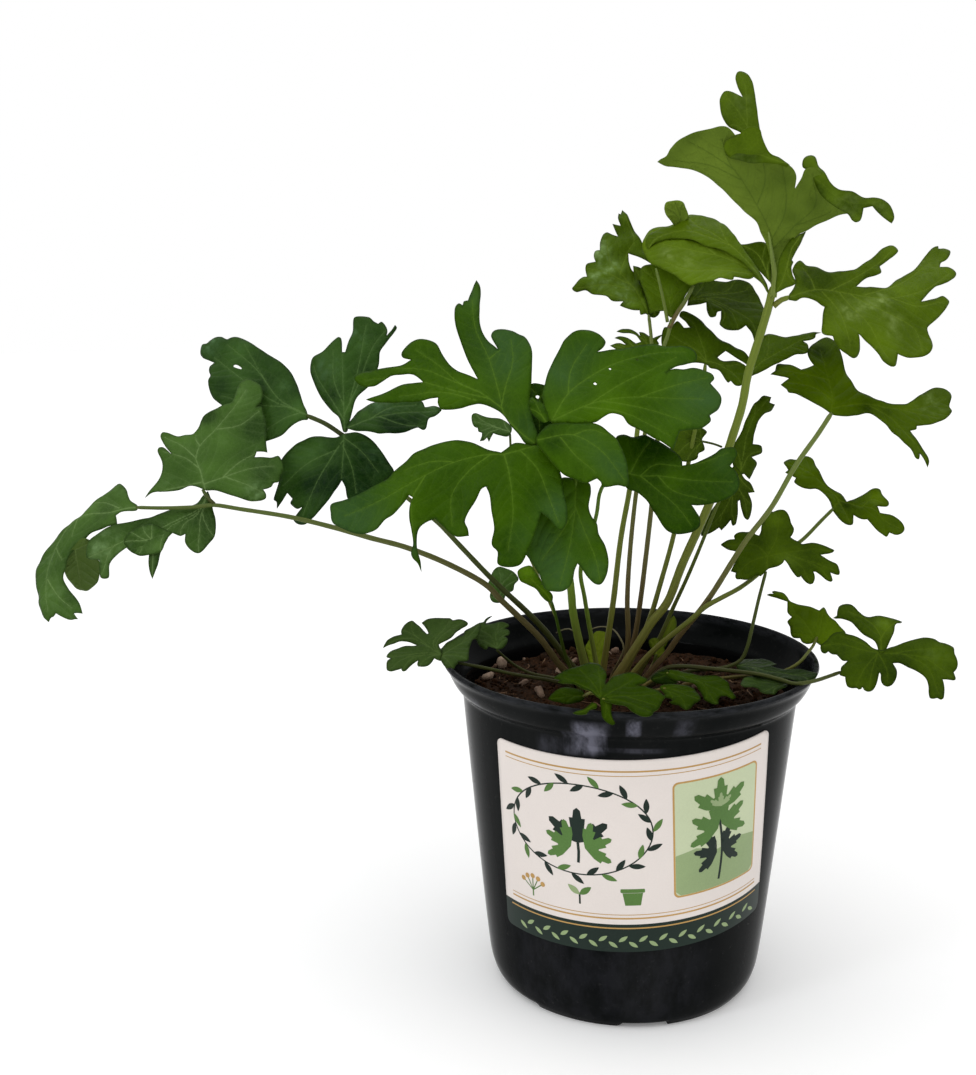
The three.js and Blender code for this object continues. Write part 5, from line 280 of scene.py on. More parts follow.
     "edge": [-6.51, 25.55, -10.67, 24.1, -11.94, 20.46, -9.98, 9.87, -9.03, 2.27, -7.19, 3.01, -2.46, 3.02, -1.26, 0.58, 0.39, -0.5, 4.48, 4.31, 9.38, 11.95, 14.79, 15.89, 10.91, 21.31, 3.21, 24.68],
     "zones": [[1.74, 11.57, 5.24, 0.4, 0.1]]},
   ], "stalks": [
   ]},
  {"name": "back_leaf_shaded", "node": "back_leaf_shaded", "family": "back", "stem": "stem_green", "slot": "leaf_mid_green",
   "blades": [
    {"at": [27.83, 38, 301.48], "across": [-0.5195, -0.5981, -0.6102], "along": [0.8486, -0.2773, -0.4505], "bend": [-0.001, -0.003, 0, 3, 0.8, 22, 0.4, 0.7], "tone": 0.3, "quilt": 0.3, "ruffle": 0.35,
     "edge": [3.91, 0.49, 3.27, 1.17, -0.15, 4.22, -2.69, 6.74, 1.1, 9.19, 2.77, 11.94, 1.1, 13.7, -1.31, 13.28, -2.66, 14.37, 0.61, 16.11, 3.92, 17.24, 4.04, 20.62, 0.89, 25.35, -2.9, 27.15, -1.46, 30.83, 2.4, 34.85, 3.2, 36.55, -5.93, 34.91, -14.07, 31.4, -20.38, 26.93, -23.19, 22.79, -25.86, 18.68, -25.58, 14.77, -23.68, 11.62, -20.04, 8.91, -18.78, 6.42, -16.76, 3.81, -13.66, 0.02, -6.79, -2.68],
     "zones": [[13.79, 12.54, 5.24, 0.2, 0.2]]},
   ], "stalks": [
   ]},
  {"name": "back_stem_4", "node": "back_stem_4", "family": "back", "stem": "stem_green", "slot": "stem_green",
   "blades": [
   ], "stalks": [
    {"r": [0.8, 1.2], "ground": True, "dark": [0.25, 0], "reach": 1.2, "seed": 0.66, "tone": 0.27, "path": [[34.06, 28.6, 272.54], [32.29, 23, 260.71], [29.05, 16, 248.31], [26.51, 14, 235.31], [23.07, 11, 217.98], [19.22, 8, 199.28], [13.56, 6, 177.69], [10.5, 6, 166.13], [6.31, 6, 154.17], [0.75, 6, 142.12], [-1.8, 6.6, 132.9]]},
   ]},
  {"name": "back_leaf_forked", "node": "back_leaf_forked", "family": "back", "stem": "stem_green", "slot": "leaf_mid_green",
   "blades": [
    {"at": [34.64, 30, 274.62], "across": [0.9649, 0.2221, 0.14], "along": [-0.2424, 0.5494, 0.7996], "bend": [0, -0.002, 0, 3, 0.5, 22, 0.4, 0.7], "tone": 0.42, "quilt": 0.3, "ruffle": 0.35,
     "edge": [-4.9, 25.09, -2.84, 21.51, -1.82, 18.65, -4.62, 18.88, -6.84, 22.5, -10.35, 20.09, -13, 21.15, -17.24, 11.03, -15.98, 5.98, -11.27, 2.94, -7.2, 1, -4.04, 0.65, 0.03, -1.38, 0.88, -3.17, 4.72, -5.92, 6.06, -10.59, 6.81, -11.92, 8.08, -11.38, 9.69, -14.04, 12.22, -14.42, 15.18, -10.87, 18.02, -5.45, 14.27, -2.04, 7.46, -0.46, 6.01, 1.46, 10.53, 3.75, 12.26, 2.2, 14.93, -0.81, 16.99, -2.68, 19.12, -4.32, 20.52, -2.24, 19.27, 1.97, 15.92, 5.32, 10.13, 10.49, 7.28, 15.75, 4.03, 21.64, 1.02, 25.13, -2.85, 27.52]},
   ], "stalks": [
   ]},
  {"name": "back_leaf_strap", "node": "back_leaf_strap", "family": "back", "stem": "stem_green", "slot": "leaf_mid_green",
   "blades": [
    {"at": [53.73, 19, 272.14], "across": [0.5849, -0.5125, -0.6287], "along": [0.8049, 0.4627, 0.3716], "bend": [0, -0.003, 0, 3, 0.5, 22, 0.4, 0.7], "tone": 0.5, "quilt": 0.3, "ruffle": 0.35,
     "edge": [-2.82, 0.7, 2.44, -4.54, 2.45, -1.35, 2.78, 5.4, 3.02, 11.8, 3.18, 17.44, 3.77, 23.66, 5.61, 27.8, 2.19, 31.36, -0.24, 30.47, 1.13, 34.17, 1.12, 36.64, -0.14, 38.43, 0.28, 41.43, -2.29, 36.93, -3.61, 33.5, -4.22, 29.68, -7.54, 23.17, -11.72, 19.89, -11.72, 15.94, -5.91, 6.44]},
   ], "stalks": [
   ]},
  {"name": "back_stem_5", "node": "back_stem_5", "family": "back", "stem": "stem_green", "slot": "stem_green",
   "blades": [
   ], "stalks": [
    {"r": [0.7, 1], "ground": True, "dark": [0.5, 0.58], "reach": 1.2, "seed": 0.03, "tone": 0.89, "path": [[45.81, 19.5, 222.77], [42.37, 16.5, 218.79], [36.63, 14, 206.18], [32.37, 13, 195.05], [26.49, 12.5, 180.09], [20.74, 12, 166.87], [14.91, 11, 153.23], [4.6, 10.6, 132.9]]},
   ]},
  {"name": "back_leaf_cut", "node": "back_leaf_cut", "family": "back", "stem": "stem_green", "slot": "leaf_mid_green",
   "blades": [
    {"at": [51.2, 26, 226.66], "across": [0.874, 0.1139, -0.4724], "along": [0.3741, 0.4629, 0.8036], "bend": [0, 0, -0.3, 2, 0, 22, 0.4, 0.7], "tone": 0.4, "quilt": 0.3, "ruffle": 0.35,
     "edge": [-6.74, 8.45, -4.96, 1.82, -1.19, -3.68, 2.37, -0.66, 5.72, -1.67, 6.41, 3.24, 6.36, 7.27, 3.07, 8.45, 7.08, 13.28, 5.73, 15.51, 1, 14.15, 0.01, 18.85, -0.41, 24.31, 1.18, 30.04, 4.05, 33.35, 4.65, 37.02, 1.71, 36.46, 1.47, 39.14, -2.51, 37.77, -3.91, 34.41, -5.04, 32.3, -5.73, 25.85, -5.89, 17.67]},
    {"at": [48.81, 24.88, 225.49], "across": [-0.9945, -0.0942, 0.0455], "along": [-0.0229, -0.2278, -0.9734], "bend": [0, 0, -0.25, 2, 0, 22, 0.4, 0.7], "tone": 0.3, "quilt": 0.3, "ruffle": 0.35,
     "edge": [4.33, 3.23, 7.61, 12.25, 10.54, 17.15, 14.5, 24.05, 14.75, 26.88, 14.42, 28.63, 11.12, 27.49, 6.86, 24.67, 5.85, 25.9, 3.95, 23.85, 2.05, 21.12, 1.21, 23.66, -0.18, 23.13, -1.16, 18.26, -1.05, 12.75, -1.99, 12.05, -2.59, 15.48, -4.54, 19.9, -6.08, 20.88, -7.18, 19.49, -8.2, 13.88, -6.22, 8.74, -9.22, 8.3, -7.26, 4.2, -4.17, 2.31, -1.13, -1.83, 0.96, -3.12]},
   ], "stalks": [
   ]},
  {"name": "right_upper_stem", "node": "right_upper_stem", "family": "right", "stem": "stem_purple", "slot": "stem_purplish",
   "blades": [
   ], "stalks": [
    {"r": [1, 1.25], "ground": True, "reach": 1.2, "seed": 0.41, "tone": 0.51, "path": [[86.22, 9.5, 253.33], [80.38, 5, 245.86], [69.78, -3, 233.59], [58.45, -10, 216.15], [47.81, -12, 202.18], [34.57, -8, 177.63], [29.01, -5, 168.12], [21.78, -1.5, 157.19], [17, 1, 148.69], [6, 4.6, 132.9]]},
   ]},
  {"name": "right_upper_leaf", "node": "right_upper_leaf", "family": "right", "stem": "stem_green", "slot": "leaf_mid_green",
   "blades": [
    {"at": [86.71, 10, 254.35], "across": [0.1993, -0.6402, -0.7419], "along": [0.9766, 0.1919, 0.0968], "bend": [-0.0012, -0.001, 0, 3, 1.1, 30, 0.4, 0.7], "tone": 0.55, "quilt": 0.3, "ruffle": 0.35,
     "edge": [2.39, 3.49, 2.84, 10.65, 2.92, 17.35, 8.26, 22.48, 15.37, 25.96, 22.03, 29.24, 27.27, 30.01, 28.11, 31.29, 25.25, 32.94, 28.62, 33.81, 31.85, 34.61, 29.45, 36.01, 25.06, 35.71, 19.25, 34.01, 12.88, 33.22, 12.4, 36.25, 10.73, 37.12, 10.52, 45.79, 8.12, 52.51, 4.33, 56.71, 1.49, 56.83, -4.23, 60.19, -6.35, 60.21, -8.45, 57.34, -8.45, 52.36, -6.18, 46.78, -1.72, 38.14, -0.64, 35.39, -3.11, 23.81, -6.67, 19.83, -9.59, 16.47, -15.57, 15.03, -23.48, 14.32, -31.26, 15.26, -39.5, 14.05, -41.01, 12.41, -39.85, 7.48, -36.21, 2.01, -32.52, -0.43, -25.75, 0.22, -24.04, -6.27, -28.34, -11.04, -29.41, -15.38, -25.93, -17.64, -24, -20.49, -21.89, -16.47, -20.49, -12.98, -17.97, -17.55, -15.09, -15.5, -13.52, -15.34, -11.66, -10.71, -4.95, -4.2, -1.46, -1.85, 0.26, -0.09],
     "veins": [[0, 0, -9.42, 3.69, -22.79, 5.24, -33.81, 5.99], [-6.68, 2.71, -14.26, -2.62, -18.68, -13.99], [-17.62, 5.07, -21.75, -5.09, -25.71, -15.43], [-2.44, 1.24, -2.48, 14.2, 0.77, 27.53, 1.46, 42.16, -3.11, 56.91], [-0.9, 18.38, 6.61, 27.13, 18.16, 31.76, 28.49, 34.83], [1.48, 32.23, 4.57, 41.01, 7.72, 48.43]],
     "zones": [[-0.85, 47.99, 5.68, 0, 0.9], [-1.8, 35.76, 4.37, 0.3, 0.3], [0, 17.14, 3.5, -0.5, 0], [-17.6, 15.1, 5.24, 0.3, 0], [-32.79, 4.68, 4.81, -0.6, 0], [7.91, 11.81, 6.12, -0.2, 0], [-8.07, 1.35, 3.93, 0.3, 0], [2.54, 24.53, 3.5, -0.3, 0]]},
   ], "stalks": [
   ]},
  {"name": "right_middle_stem", "node": "right_middle_stem", "family": "right", "stem": "stem_green", "slot": "stem_green",
   "blades": [
   ], "stalks": [
    {"r": [0.75, 1.2], "ground": True, "dark": [0.55, 0.08], "reach": 1.2, "seed": 0.79, "tone": 0.12, "path": [[93.24, 28.5, 207.69], [87.69, 24, 203.74], [77.59, 17, 196.01], [67.26, 11, 191.39], [56.12, 4, 183.48], [47.42, -3, 179.3], [38.11, -9, 176.1], [31.28, -12, 173.08], [26.11, -12, 168.18], [19.82, -11, 162.31], [12.41, -9, 155.22], [5.06, -6, 146.17], [-2.2, -1.6, 132.9]]},
   ]},
  {"name": "right_middle_leaf", "node": "right_middle_leaf", "family": "right", "stem": "stem_green", "slot": "leaf_mid_green",
   "blades": [
    {"at": [94.24, 30, 208.09], "across": [-0.3187, -0.6428, -0.6966], "along": [0.9465, -0.1768, -0.2699], "bend": [0, -0.002, 0, 3, 0.6, 22, 0.4, 0.7], "tone": 0.55, "quilt": 0.3, "ruffle": 0.35,
     "edge": [-13.57, -24, -11.76, -25.09, -10.84, -22.3, -10.45, -19.69, -7.7, -19.99, -6.59, -17.15, -6.59, -12.6, -7.86, -9.25, -6.22, -5.18, -3.47, -2.4, -0.18, -0.27, 1.98, 0.87, 4.76, 4.43, 6.08, 7.67, 5.21, 10.03, -0.12, 9.58, 0.89, 13.85, 0.15, 15.87, 2.06, 18.55, 4.72, 22.79, 5.59, 26.1, 3.21, 26.87, 3.14, 30.5, -0.9, 33.13, -3.9, 31.26, -5.76, 27.11, -5.18, 20.62, -8.69, 18.94, -10.36, 23.37, -12.35, 23.67, -15.94, 19.97, -18.59, 18.36, -17.92, 15.51, -12.58, 11.34, -5.97, 5.17, -9.66, 1.53, -11.74, -4.86, -18.69, -10.84, -24.43, -14.81, -24.76, -17.87, -21.15, -21.79, -20.59, -24.52, -17.11, -26.88],
     "veins": [[0.17, -0.43, -5.65, 1.18, -12.1, -7.7, -16.46, -16.22, -17.06, -24.8], [-5.65, 1.18, -0.23, 5.49, 4.1, 8.75], [-5.65, 1.18, -5.54, 10.48, -6.66, 16.74, -2.3, 23.18, -0.83, 30.53], [-5.62, 12.31, -11.89, 15.89, -11.52, 21.49], [-16.46, -16.22, -12.04, -18.15]],
     "zones": [[-4.02, 4.75, 3.5, -0.45, 0], [-13.15, 17.54, 3.06, 0.5, 0.2], [-14.27, -18.62, 3.5, 0.25, 0.2], [-21.06, -24.62, 2.19, -0.3, 0], [-1.65, 28.48, 3.5, -0.2, 0]]},
   ], "stalks": [
   ]},
  {"name": "right_inner_stem", "node": "right_inner_stem", "family": "right", "stem": "stem_dark", "slot": "stem_green",
   "blades": [
   ], "stalks": [
    {"r": [0.7, 0.95], "ground": True, "reach": 1.2, "seed": 0.16, "tone": 0.74, "path": [[57.92, -5.7, 186.21], [55.16, -8, 176.07], [52.07, -11, 163.43], [50.04, -12, 154.73], [47.63, -12, 149.32], [43.02, -11.5, 146.46], [36.69, -10.5, 144.79], [26.44, -6, 142.52], [8.6, -0.4, 132.9]]},
   ]},
  {"name": "right_inner_leaf", "node": "right_inner_leaf", "family": "right", "stem": "stem_green", "slot": "leaf_mid_green",
   "blades": [
    {"at": [58.68, -5, 188.94], "across": [0.9881, -0.0831, -0.1293], "along": [0.1537, 0.5343, 0.8312], "bend": [-0.001, -0.0014, 0, 3, 0.9, 24, 0.4, 0.7], "tone": 0.3, "quilt": 0.45, "ruffle": 0.35,
     "edge": [-1.72, 25.2, -3.3, 22.39, -4.12, 18.84, -4.26, 15.95, -4.8, 14.22, -6.35, 14.74, -7.83, 15.85, -10.14, 15.35, -12.85, 14.95, -14.75, 14.01, -15.43, 12.85, -14.92, 11.58, -17.27, 10.77, -19.55, 9.03, -20.87, 7.41, -20.16, 6.92, -17.64, 6, -14.8, 5.74, -13.01, 5.31, -13.3, 2.22, -14.54, -1.51, -15.37, -3.99, -13.1, -4.28, -13.12, -6.45, -12.42, -7.4, -10.82, -7.1, -8.44, -6.89, -6.18, -5.73, -4.37, -4.08, -3.42, -4.1, -2.37, -4.38, -1.17, -2.98, 0.1, -1.26, 0.82, -0.54, 3.09, 0.6, 5, 1.5, 6.51, 2.88, 7.17, 4.48, 8.51, 3.27, 9.86, 1.36, 11.67, -0.86, 13.39, -2.25, 14.44, -2.03, 14.96, -1.31, 16.45, -2.89, 18, -4.04, 19.27, -4.51, 20.27, -4.07, 20.92, -2.56, 20.91, -0.46, 20.18, 1.5, 21.11, 1.62, 23.58, 0.29, 26.08, -1.48, 28.1, -2.02, 28.66, -1.52, 28.35, -0.33, 27.35, 1.91, 29.79, 1.46, 31.2, 1.75, 31.63, 2.88, 31, 4.93, 29.91, 6.44, 27.79, 7.27, 24.88, 8.48, 22.55, 9.39, 24.32, 10.13, 26.3, 10.91, 28.08, 11.92, 28.44, 12.69, 26.54, 13.41, 24.02, 14.24, 21.18, 14.72, 18.43, 14.59, 16.5, 14.13, 14.16, 13.74, 13.15, 14.45, 10.87, 15.15, 9.05, 15.89, 9.89, 17.63, 10.27, 19.46, 10.05, 20.58, 8.83, 22.77, 8.1, 24.89, 6.73, 27.37, 5.41, 28.54, 3.54, 28.67, 2.19, 28.12, 0.39, 26.83, -0.6, 26.7],
     "veins": [[0.06, -0.7, -0.07, 5.28, 2.75, 13.33, 3.65, 25.86], [-0.07, 5.28, -6.09, 9.62, -18.52, 7.91], [-0.07, 5.28, -7.47, 1.54, -12.09, -4.75], [-0.07, 5.28, 9.34, 8.9, 19.98, 11.94, 26.53, 12.06], [7.17, 7.97, 19.21, 5.83, 29.8, 3.24], [5.02, 7.06, 14.17, 3.65, 18.62, -2.55], [11.7, 6.97, 22.83, 3.53, 27.06, -0.94]],
     "vein_power": 0.6,
     "zones": [[-3.96, 9.87, 4.37, -0.2, 0], [7.43, 4.67, 4.37, 0.2, 0.2], [1.61, 22.93, 3.93, 0.25, 0.1], [-12.34, 7.5, 3.93, 0.1, 0], [18.48, 4.35, 3.93, -0.15, 0]],
     "holes": [[-5.45, 15.7, 0.87]]},
   ], "stalks": [
   ]},
  {"name": "right_low_leaf_back", "node": "right_low_leaf_back", "family": "right", "stem": "stem_green", "slot": "leaf_mid_green",
   "blades": [
    {"at": [84.61, 9, 151.01], "across": [0.8714, 0.2355, 0.4304], "along": [-0.488, 0.5065, 0.7108], "bend": [0, -0.002, 0, 3, 0.7, 18, 0.4, 0.7], "tone": 0.85, "quilt": 0.3, "ruffle": 0.35,
     "edge": [-5.34, 28.52, -3.54, 26.74, -1.87, 24.75, -0.18, 22.81, -1.49, 20.9, -3.16, 18.2, -2.65, 15.58, -5.66, 14.63, -5.79, 12.23, -7.25, 9.21, -7.25, 7.43, -4.96, 5.32, -5.19, 3.51, -4.28, 1.93, -2.55, 0.89, 0.28, 0.75, 0.58, -0.95, 1.17, -2.28, 4.51, -4.33, 10.71, -5.57, 14.4, -2.64, 13.78, 1.68, 13.44, 4.86, 12.76, 6.73, 12.45, 8.91, 12.79, 11.2, 12.65, 12.53, 9.98, 12.19, 9.28, 13.31, 7.77, 15.47, 5.3, 17.64, 2.7, 20.47, 1.14, 22.59, 1.34, 25.07, 0.9, 27.4, -0.88, 29.22, -2.64, 30.32, -3.67, 30.26, -3.46, 29.11, -5.31, 30.11, -6.5, 30.13],
     "vein_power": 0.6,
     "zones": [[1.21, 14.62, 6.12, -0.2, 0.1], [-4.53, 26.25, 3.5, -0.2, 0]]},
   ], "stalks": [
    {"r": [0.65, 0.85], "ground": True, "dark": [0.52, 0], "reach": 1.2, "seed": 0.54, "tone": 0.36, "path": [[85.21, 10.6, 153.11], [82.86, 6, 150.94], [78.57, -3, 150.08], [74.36, -9, 147.98], [70.56, -11, 145.85], [65.39, -9, 142.97], [24, 2, 132.9]]},
   ]},
  {"name": "right_low_stem", "node": "right_low_stem", "family": "right", "stem": "stem_dark", "slot": "stem_green",
   "blades": [
   ], "stalks": [
    {"r": [0.75, 1], "ground": True, "reach": 1.2, "seed": 0.92, "tone": 0.98, "path": [[83.41, -39.5, 151.85], [78.03, -41.5, 150.6], [71.18, -46.5, 150.34], [64.43, -45.5, 149.08], [60.42, -38.5, 148.5], [52.93, -29, 147.97], [44, -19, 146.38], [33.53, -14, 146.08], [22.17, -8, 145.27], [15.12, -5, 143.13], [5.6, -3.6, 132.9]]},
   ]},
  {"name": "right_low_leaf_front", "node": "right_low_leaf_front", "family": "right", "stem": "stem_green", "slot": "leaf_mid_green",
   "blades": [
    {"at": [102.07, -37.1, 160.75], "across": [0.9492, 0.2537, 0.1859], "along": [-0.3105, 0.661, 0.6832], "bend": [0, -0.003, 0, 3, 0.6, 22, 0.4, 0.7], "tone": 0.25, "quilt": 0.3, "ruffle": 0.35,
     "edge": [-12.1, 19.83, -10.34, 19.15, -8, 17.92, -6.67, 16.26, -5.77, 13.67, -4.51, 10.08, -2.89, 7.29, -1.2, 4.55, -1.23, 2.75, -1.39, 1.82, -1.93, -0.51, 0.12, -1.14, 2.49, 0.75, 5.77, 3.9, 8.89, 6.88, 10.92, 9.72, 12.31, 10.47, 13.98, 10.27, 15.06, 10.71, 13.57, 12.03, 11.25, 13.59, 8.45, 14.99, 5.45, 16.05, 1.7, 16.62, -0.36, 17.8, -1.51, 19.8, -2.02, 22.33, -2.98, 23.99, -4.7, 24.96, -6.69, 25.23, -8.48, 24.69, -10.04, 22.95, -11.15, 20.94, -12.92, 20.69],
     "veins": [[-0.87, -0.34, 2.28, 7.08, 0.99, 14, -5.14, 20.82], [1.21, 4.91, 7.34, 9.4, 13.25, 11.47]],
     "zones": [[6.56, 11.64, 3.93, 0.6, 0.3], [-13.52, 12.4, 5.24, -0.2, 0]]},
    {"at": [100.43, -38, 159.84], "across": [-0.0707, -0.688, -0.7222], "along": [0.9957, -0.0048, -0.0929], "bend": [-0.0012, -0.0014, 0, 3, 1, 26, 0.4, 0.7], "tone": 0.2, "quilt": 0.3, "ruffle": 0.35,
     "edge": [-1.63, 1.56, -1.74, -0.73, -2.72, -2.58, -5.01, -4.67, -6.87, -7.19, -8.08, -10.18, -8.38, -13.29, -9.09, -14.41, -8.75, -15.99, -8.1, -18.33, -6.73, -19.93, -4.95, -21.1, -3.31, -22.7, -1.78, -24.12, -0.47, -24.29, 1.18, -23.63, 1.53, -22.13, 0.59, -20.97, 1.83, -19.53, 2.22, -17.68, 3.51, -16.69, 4.81, -15.28, 4.68, -13.39, 6.08, -14.64, 7.98, -16.29, 10.6, -16.82, 11.86, -17.24, 12.33, -16.1, 12.49, -14.99, 14.03, -14.78, 16.26, -13.88, 16.99, -12.01, 16.87, -10.09, 17.35, -9.47, 16.84, -8.17, 16, -7.79, 17.31, -7.01, 17.71, -5.52, 16.95, -3.59, 15.42, -2.38, 13.01, -1.45, 10.55, -0.92, 9.07, -0.54, 9.67, -0.1, 12.4, 0.12, 14.22, 1.46, 14.63, 2.83, 13.89, 4.41, 11.97, 6, 9.23, 6.89, 6.83, 6.98, 4.89, 6.06, 3.9, 5.57, 3.73, 8.06, 4.31, 9.97, 5.32, 12.66, 6.56, 15.36, 7.81, 17.67, 9.26, 19.17, 12.51, 20.04, 15.56, 19.95, 18.18, 20.15, 18.35, 21.28, 17.73, 23.25, 18.63, 24.52, 18.1, 25.49, 15.84, 26.29, 12.68, 26.9, 10.46, 26.8, 8.76, 26.35, 8.53, 28.15, 8.59, 31.27, 7.61, 32.16, 5.44, 32.01, 4.46, 31.72, 2.76, 33.03, 0.21, 33.6, -2.15, 33.32, -4.04, 32.6, -6.44, 32.34, -7.43, 30.79, -8.14, 28.46, -8.37, 26.12, -9.24, 24.26, -9.7, 21.61, -9.37, 18.48, -8.23, 14.85, -6.49, 11.2, -4.78, 7.92, -3.16, 4.72],
     "veins": [[-0.18, -0.41, -0.99, -7.04, -3.29, -15.95, -1.78, -23.5], [-0.18, -0.41, -3.96, -6.79, -7.12, -14.94], [-0.18, -0.41, 7.56, -6.42, 15.39, -10.41], [-0.18, -0.41, 8.15, -3.52, 16.08, -4.99], [-0.18, -0.41, 6.6, 2.43, 12.62, 3.06], [-0.18, -0.41, -0.49, 8.75, -0.23, 21.51, -0.99, 32.07], [-0.12, 4.56, -3.07, 15.27, -5.69, 28.35], [-0.23, 10.83, 4.28, 20.46, 14.89, 23.8], [0.08, 19.33, 3.5, 25.71, 6.9, 30.62]],
     "vein_power": 0.6,
     "zones": [[-1.88, 23.76, 6.12, 0.3, 0.2], [5.91, 8.37, 5.24, -0.25, 0], [-0.92, -7.87, 5.24, 0.1, 0]]},
   ], "stalks": [
   ]},
  {"name": "front_leaf_on_rim", "node": "front_leaf_on_rim", "family": "front", "stem": "stem_green", "slot": "leaf_mid_green",
   "blades": [
    {"at": [-17.79, -79, 153.35], "across": [0.9873, 0.148, 0.0573], "along": [-0.1587, 0.9208, 0.3564], "bend": [-0.0006, -0.001, 0, 3, 0.6, 22, 0.4, 0.7], "tone": 0.45, "quilt": 0.3, "ruffle": 0.35,
     "edge": [1.04, -2.42, 3.42, -3.33, 5.86, -4.64, 7.88, -6.16, 10.23, -9.44, 12.76, -12.06, 15.34, -12.72, 17.09, -12.11, 18.5, -9.73, 20.49, -8.23, 22.35, -5.64, 23.64, -3.58, 24.84, -2.05, 23.92, 0.47, 22.51, 2.82, 20.12, 4.56, 17.26, 5.93, 15.45, 6.8, 18.76, 7.07, 20.35, 8.57, 20.25, 9.78, 18.61, 11.38, 16.73, 13.7, 13.82, 15.04, 10.56, 15.1, 7.76, 13.46, 4.56, 10.28, 3.41, 8.81, 4.19, 11.67, 5.25, 15.02, 4.67, 21.4, 3.87, 23.18, 1.1, 23.73, -2.85, 22.5, -7.65, 21.2, -12.07, 19.28, -14.83, 17.68, -15.82, 16.78, -13.82, 14.68, -14.85, 13.58, -13.09, 12.29, -10.44, 11.62, -8.23, 10.63, -5.69, 7.46, -3.18, 4.4, -1.52, 1.08, -0.66, -0.29],
     "veins": [[-0.26, 0.64, -0.88, 6.84, -2.65, 13.49, -4.69, 19.12], [-0.26, 0.64, -3.96, 7.47, -11.49, 15.79], [-0.26, 0.64, 1.52, 10.31, 3.05, 20.67], [-0.26, 0.64, 6.28, 4.63, 14.56, 10.31], [-0.26, 0.64, 9.34, 0.51, 21.37, 0.24], [-0.26, 0.64, 8.41, -3.3, 16.77, -9.94], [9.34, 0.51, 16.35, -3.72, 20.02, -6.62]],
     "zones": [[2.12, 12.95, 5.24, 0.3, 0.2], [-11.32, 6.8, 4.37, -0.2, 0]]},
    {"at": [-17.03, -79.33, 153.26], "across": [-0.9687, -0.1258, -0.2138], "along": [0.2481, -0.4912, -0.835], "bend": [-0.002, 0, 0, 3, 0, 22, 0.4, 0.7], "tone": 0.5, "quilt": 0.3, "ruffle": 0.35,
     "edge": [1.88, 1.2, 2.18, 3.57, 2.61, 6.26, 2.05, 8.02, 0.86, 9.54, -0.5, 10.44, -1.77, 10.21, -1.44, 8.51, -1.33, 6.05, -1.96, 3.81, -2.81, 2.23, -1.03, -0.76, 1.05, -1.3]},
   ], "stalks": [
    {"r": [0.8, 0.9], "ground": True, "reach": 1.2, "seed": 0.29, "tone": 0.6, "path": [[-17.17, -78.6, 153.02], [-15.09, -60, 148.03], [-12.25, -35, 141.71], [-13.5, -9, 132.9]]},
   ]},
  {"name": "front_leaf_small", "node": "front_leaf_small", "family": "front", "stem": "stem_green", "slot": "leaf_mid_green",
   "blades": [
    {"at": [-23.84, -58, 147.81], "across": [-0.0758, 0.8639, 0.4979], "along": [-0.9959, -0.0405, -0.0814], "bend": [0, -0.003, 0, 3, 0.3, 22, 0.4, 0.7], "tone": 0.5, "quilt": 0.3, "ruffle": 0.35,
     "edge": [-1.03, 13.17, -1.88, 10.46, -3.26, 7.37, -3.16, 3.35, -2.82, 1.69, -1.66, -0.2, 1.54, -0.6, 3.53, 0.91, 5.22, 3.58, 5.95, 6.32, 4.68, 9.74, 2.17, 12.42, -0.34, 14.31]},
   ], "stalks": [
    {"r": [0.6, 0.8], "ground": True, "reach": 1.2, "seed": 0.67, "tone": 0.21, "path": [[-23.43, -58, 147.81], [-18.92, -40, 143.75], [-19, -9, 132.9]]},
   ]},
  {"name": "front_leaf_right_back", "node": "front_leaf_right_back", "family": "front", "stem": "stem_green", "slot": "leaf_mid_green",
   "blades": [
    {"at": [15.3, -18, 145.5], "across": [-0.5144, -0.8148, -0.2673], "along": [0.8561, -0.4698, -0.2155], "bend": [0, -0.001, 0, 3, 0.4, 22, 0.4, 0.7], "tone": 0.5, "quilt": 0.3, "ruffle": 0.35,
     "edge": [3.52, 4.48, 2.38, 8.65, 1.51, 12.95, 3.77, 16.75, 5.96, 19.14, 7.98, 20.96, 8.31, 22.95, 9.13, 25.54, 8.15, 26.94, 3.97, 25.59, 2.27, 25.76, 0.85, 27.85, 1.23, 30.77, -0.81, 31.45, -2.53, 29.59, -4.77, 27.23, -7.46, 25.14, -9.69, 21.92, -9.88, 19.51, -8.31, 15.55, -5.7, 12, -5.03, 7.64, -4.39, 4.14, -2.83, 0.15, -1.54, -1.15, 1.38, -1.26]},
    {"at": [15.19, -19.06, 145.15], "across": [-0.4741, 0.7612, 0.4425], "along": [-0.8805, -0.4098, -0.2383], "bend": [0, 0, 0, 3, 0, 22, 0.4, 0.7], "tone": 0, "quilt": 0.3, "ruffle": 0.35,
     "edge": [-2.05, 6.86, -4.94, 2.69, -6.47, -1.36, -2.69, -0.33, 2.25, -1.02, 3.29, 3.39, 0.59, 8.21]},
   ], "stalks": [
    {"r": [0.6, 0.8], "ground": True, "reach": 1.2, "seed": 0.05, "tone": 0.83, "path": [[14.39, -18.5, 144.98], [10.23, -14, 141.33], [2.6, -8.4, 132.9]]},
   ]},
  {"name": "front_leaf_right_front", "node": "front_leaf_right_front", "family": "front", "stem": "stem_green", "slot": "leaf_mid_green",
   "blades": [
    {"at": [10.86, -33, 143.27], "across": [-0.5926, -0.7671, -0.2459], "along": [0.8053, -0.5565, -0.2044], "bend": [0, -0.001, 0, 3, 0.4, 22, 0.4, 0.7], "tone": 0.5, "quilt": 0.3, "ruffle": 0.35,
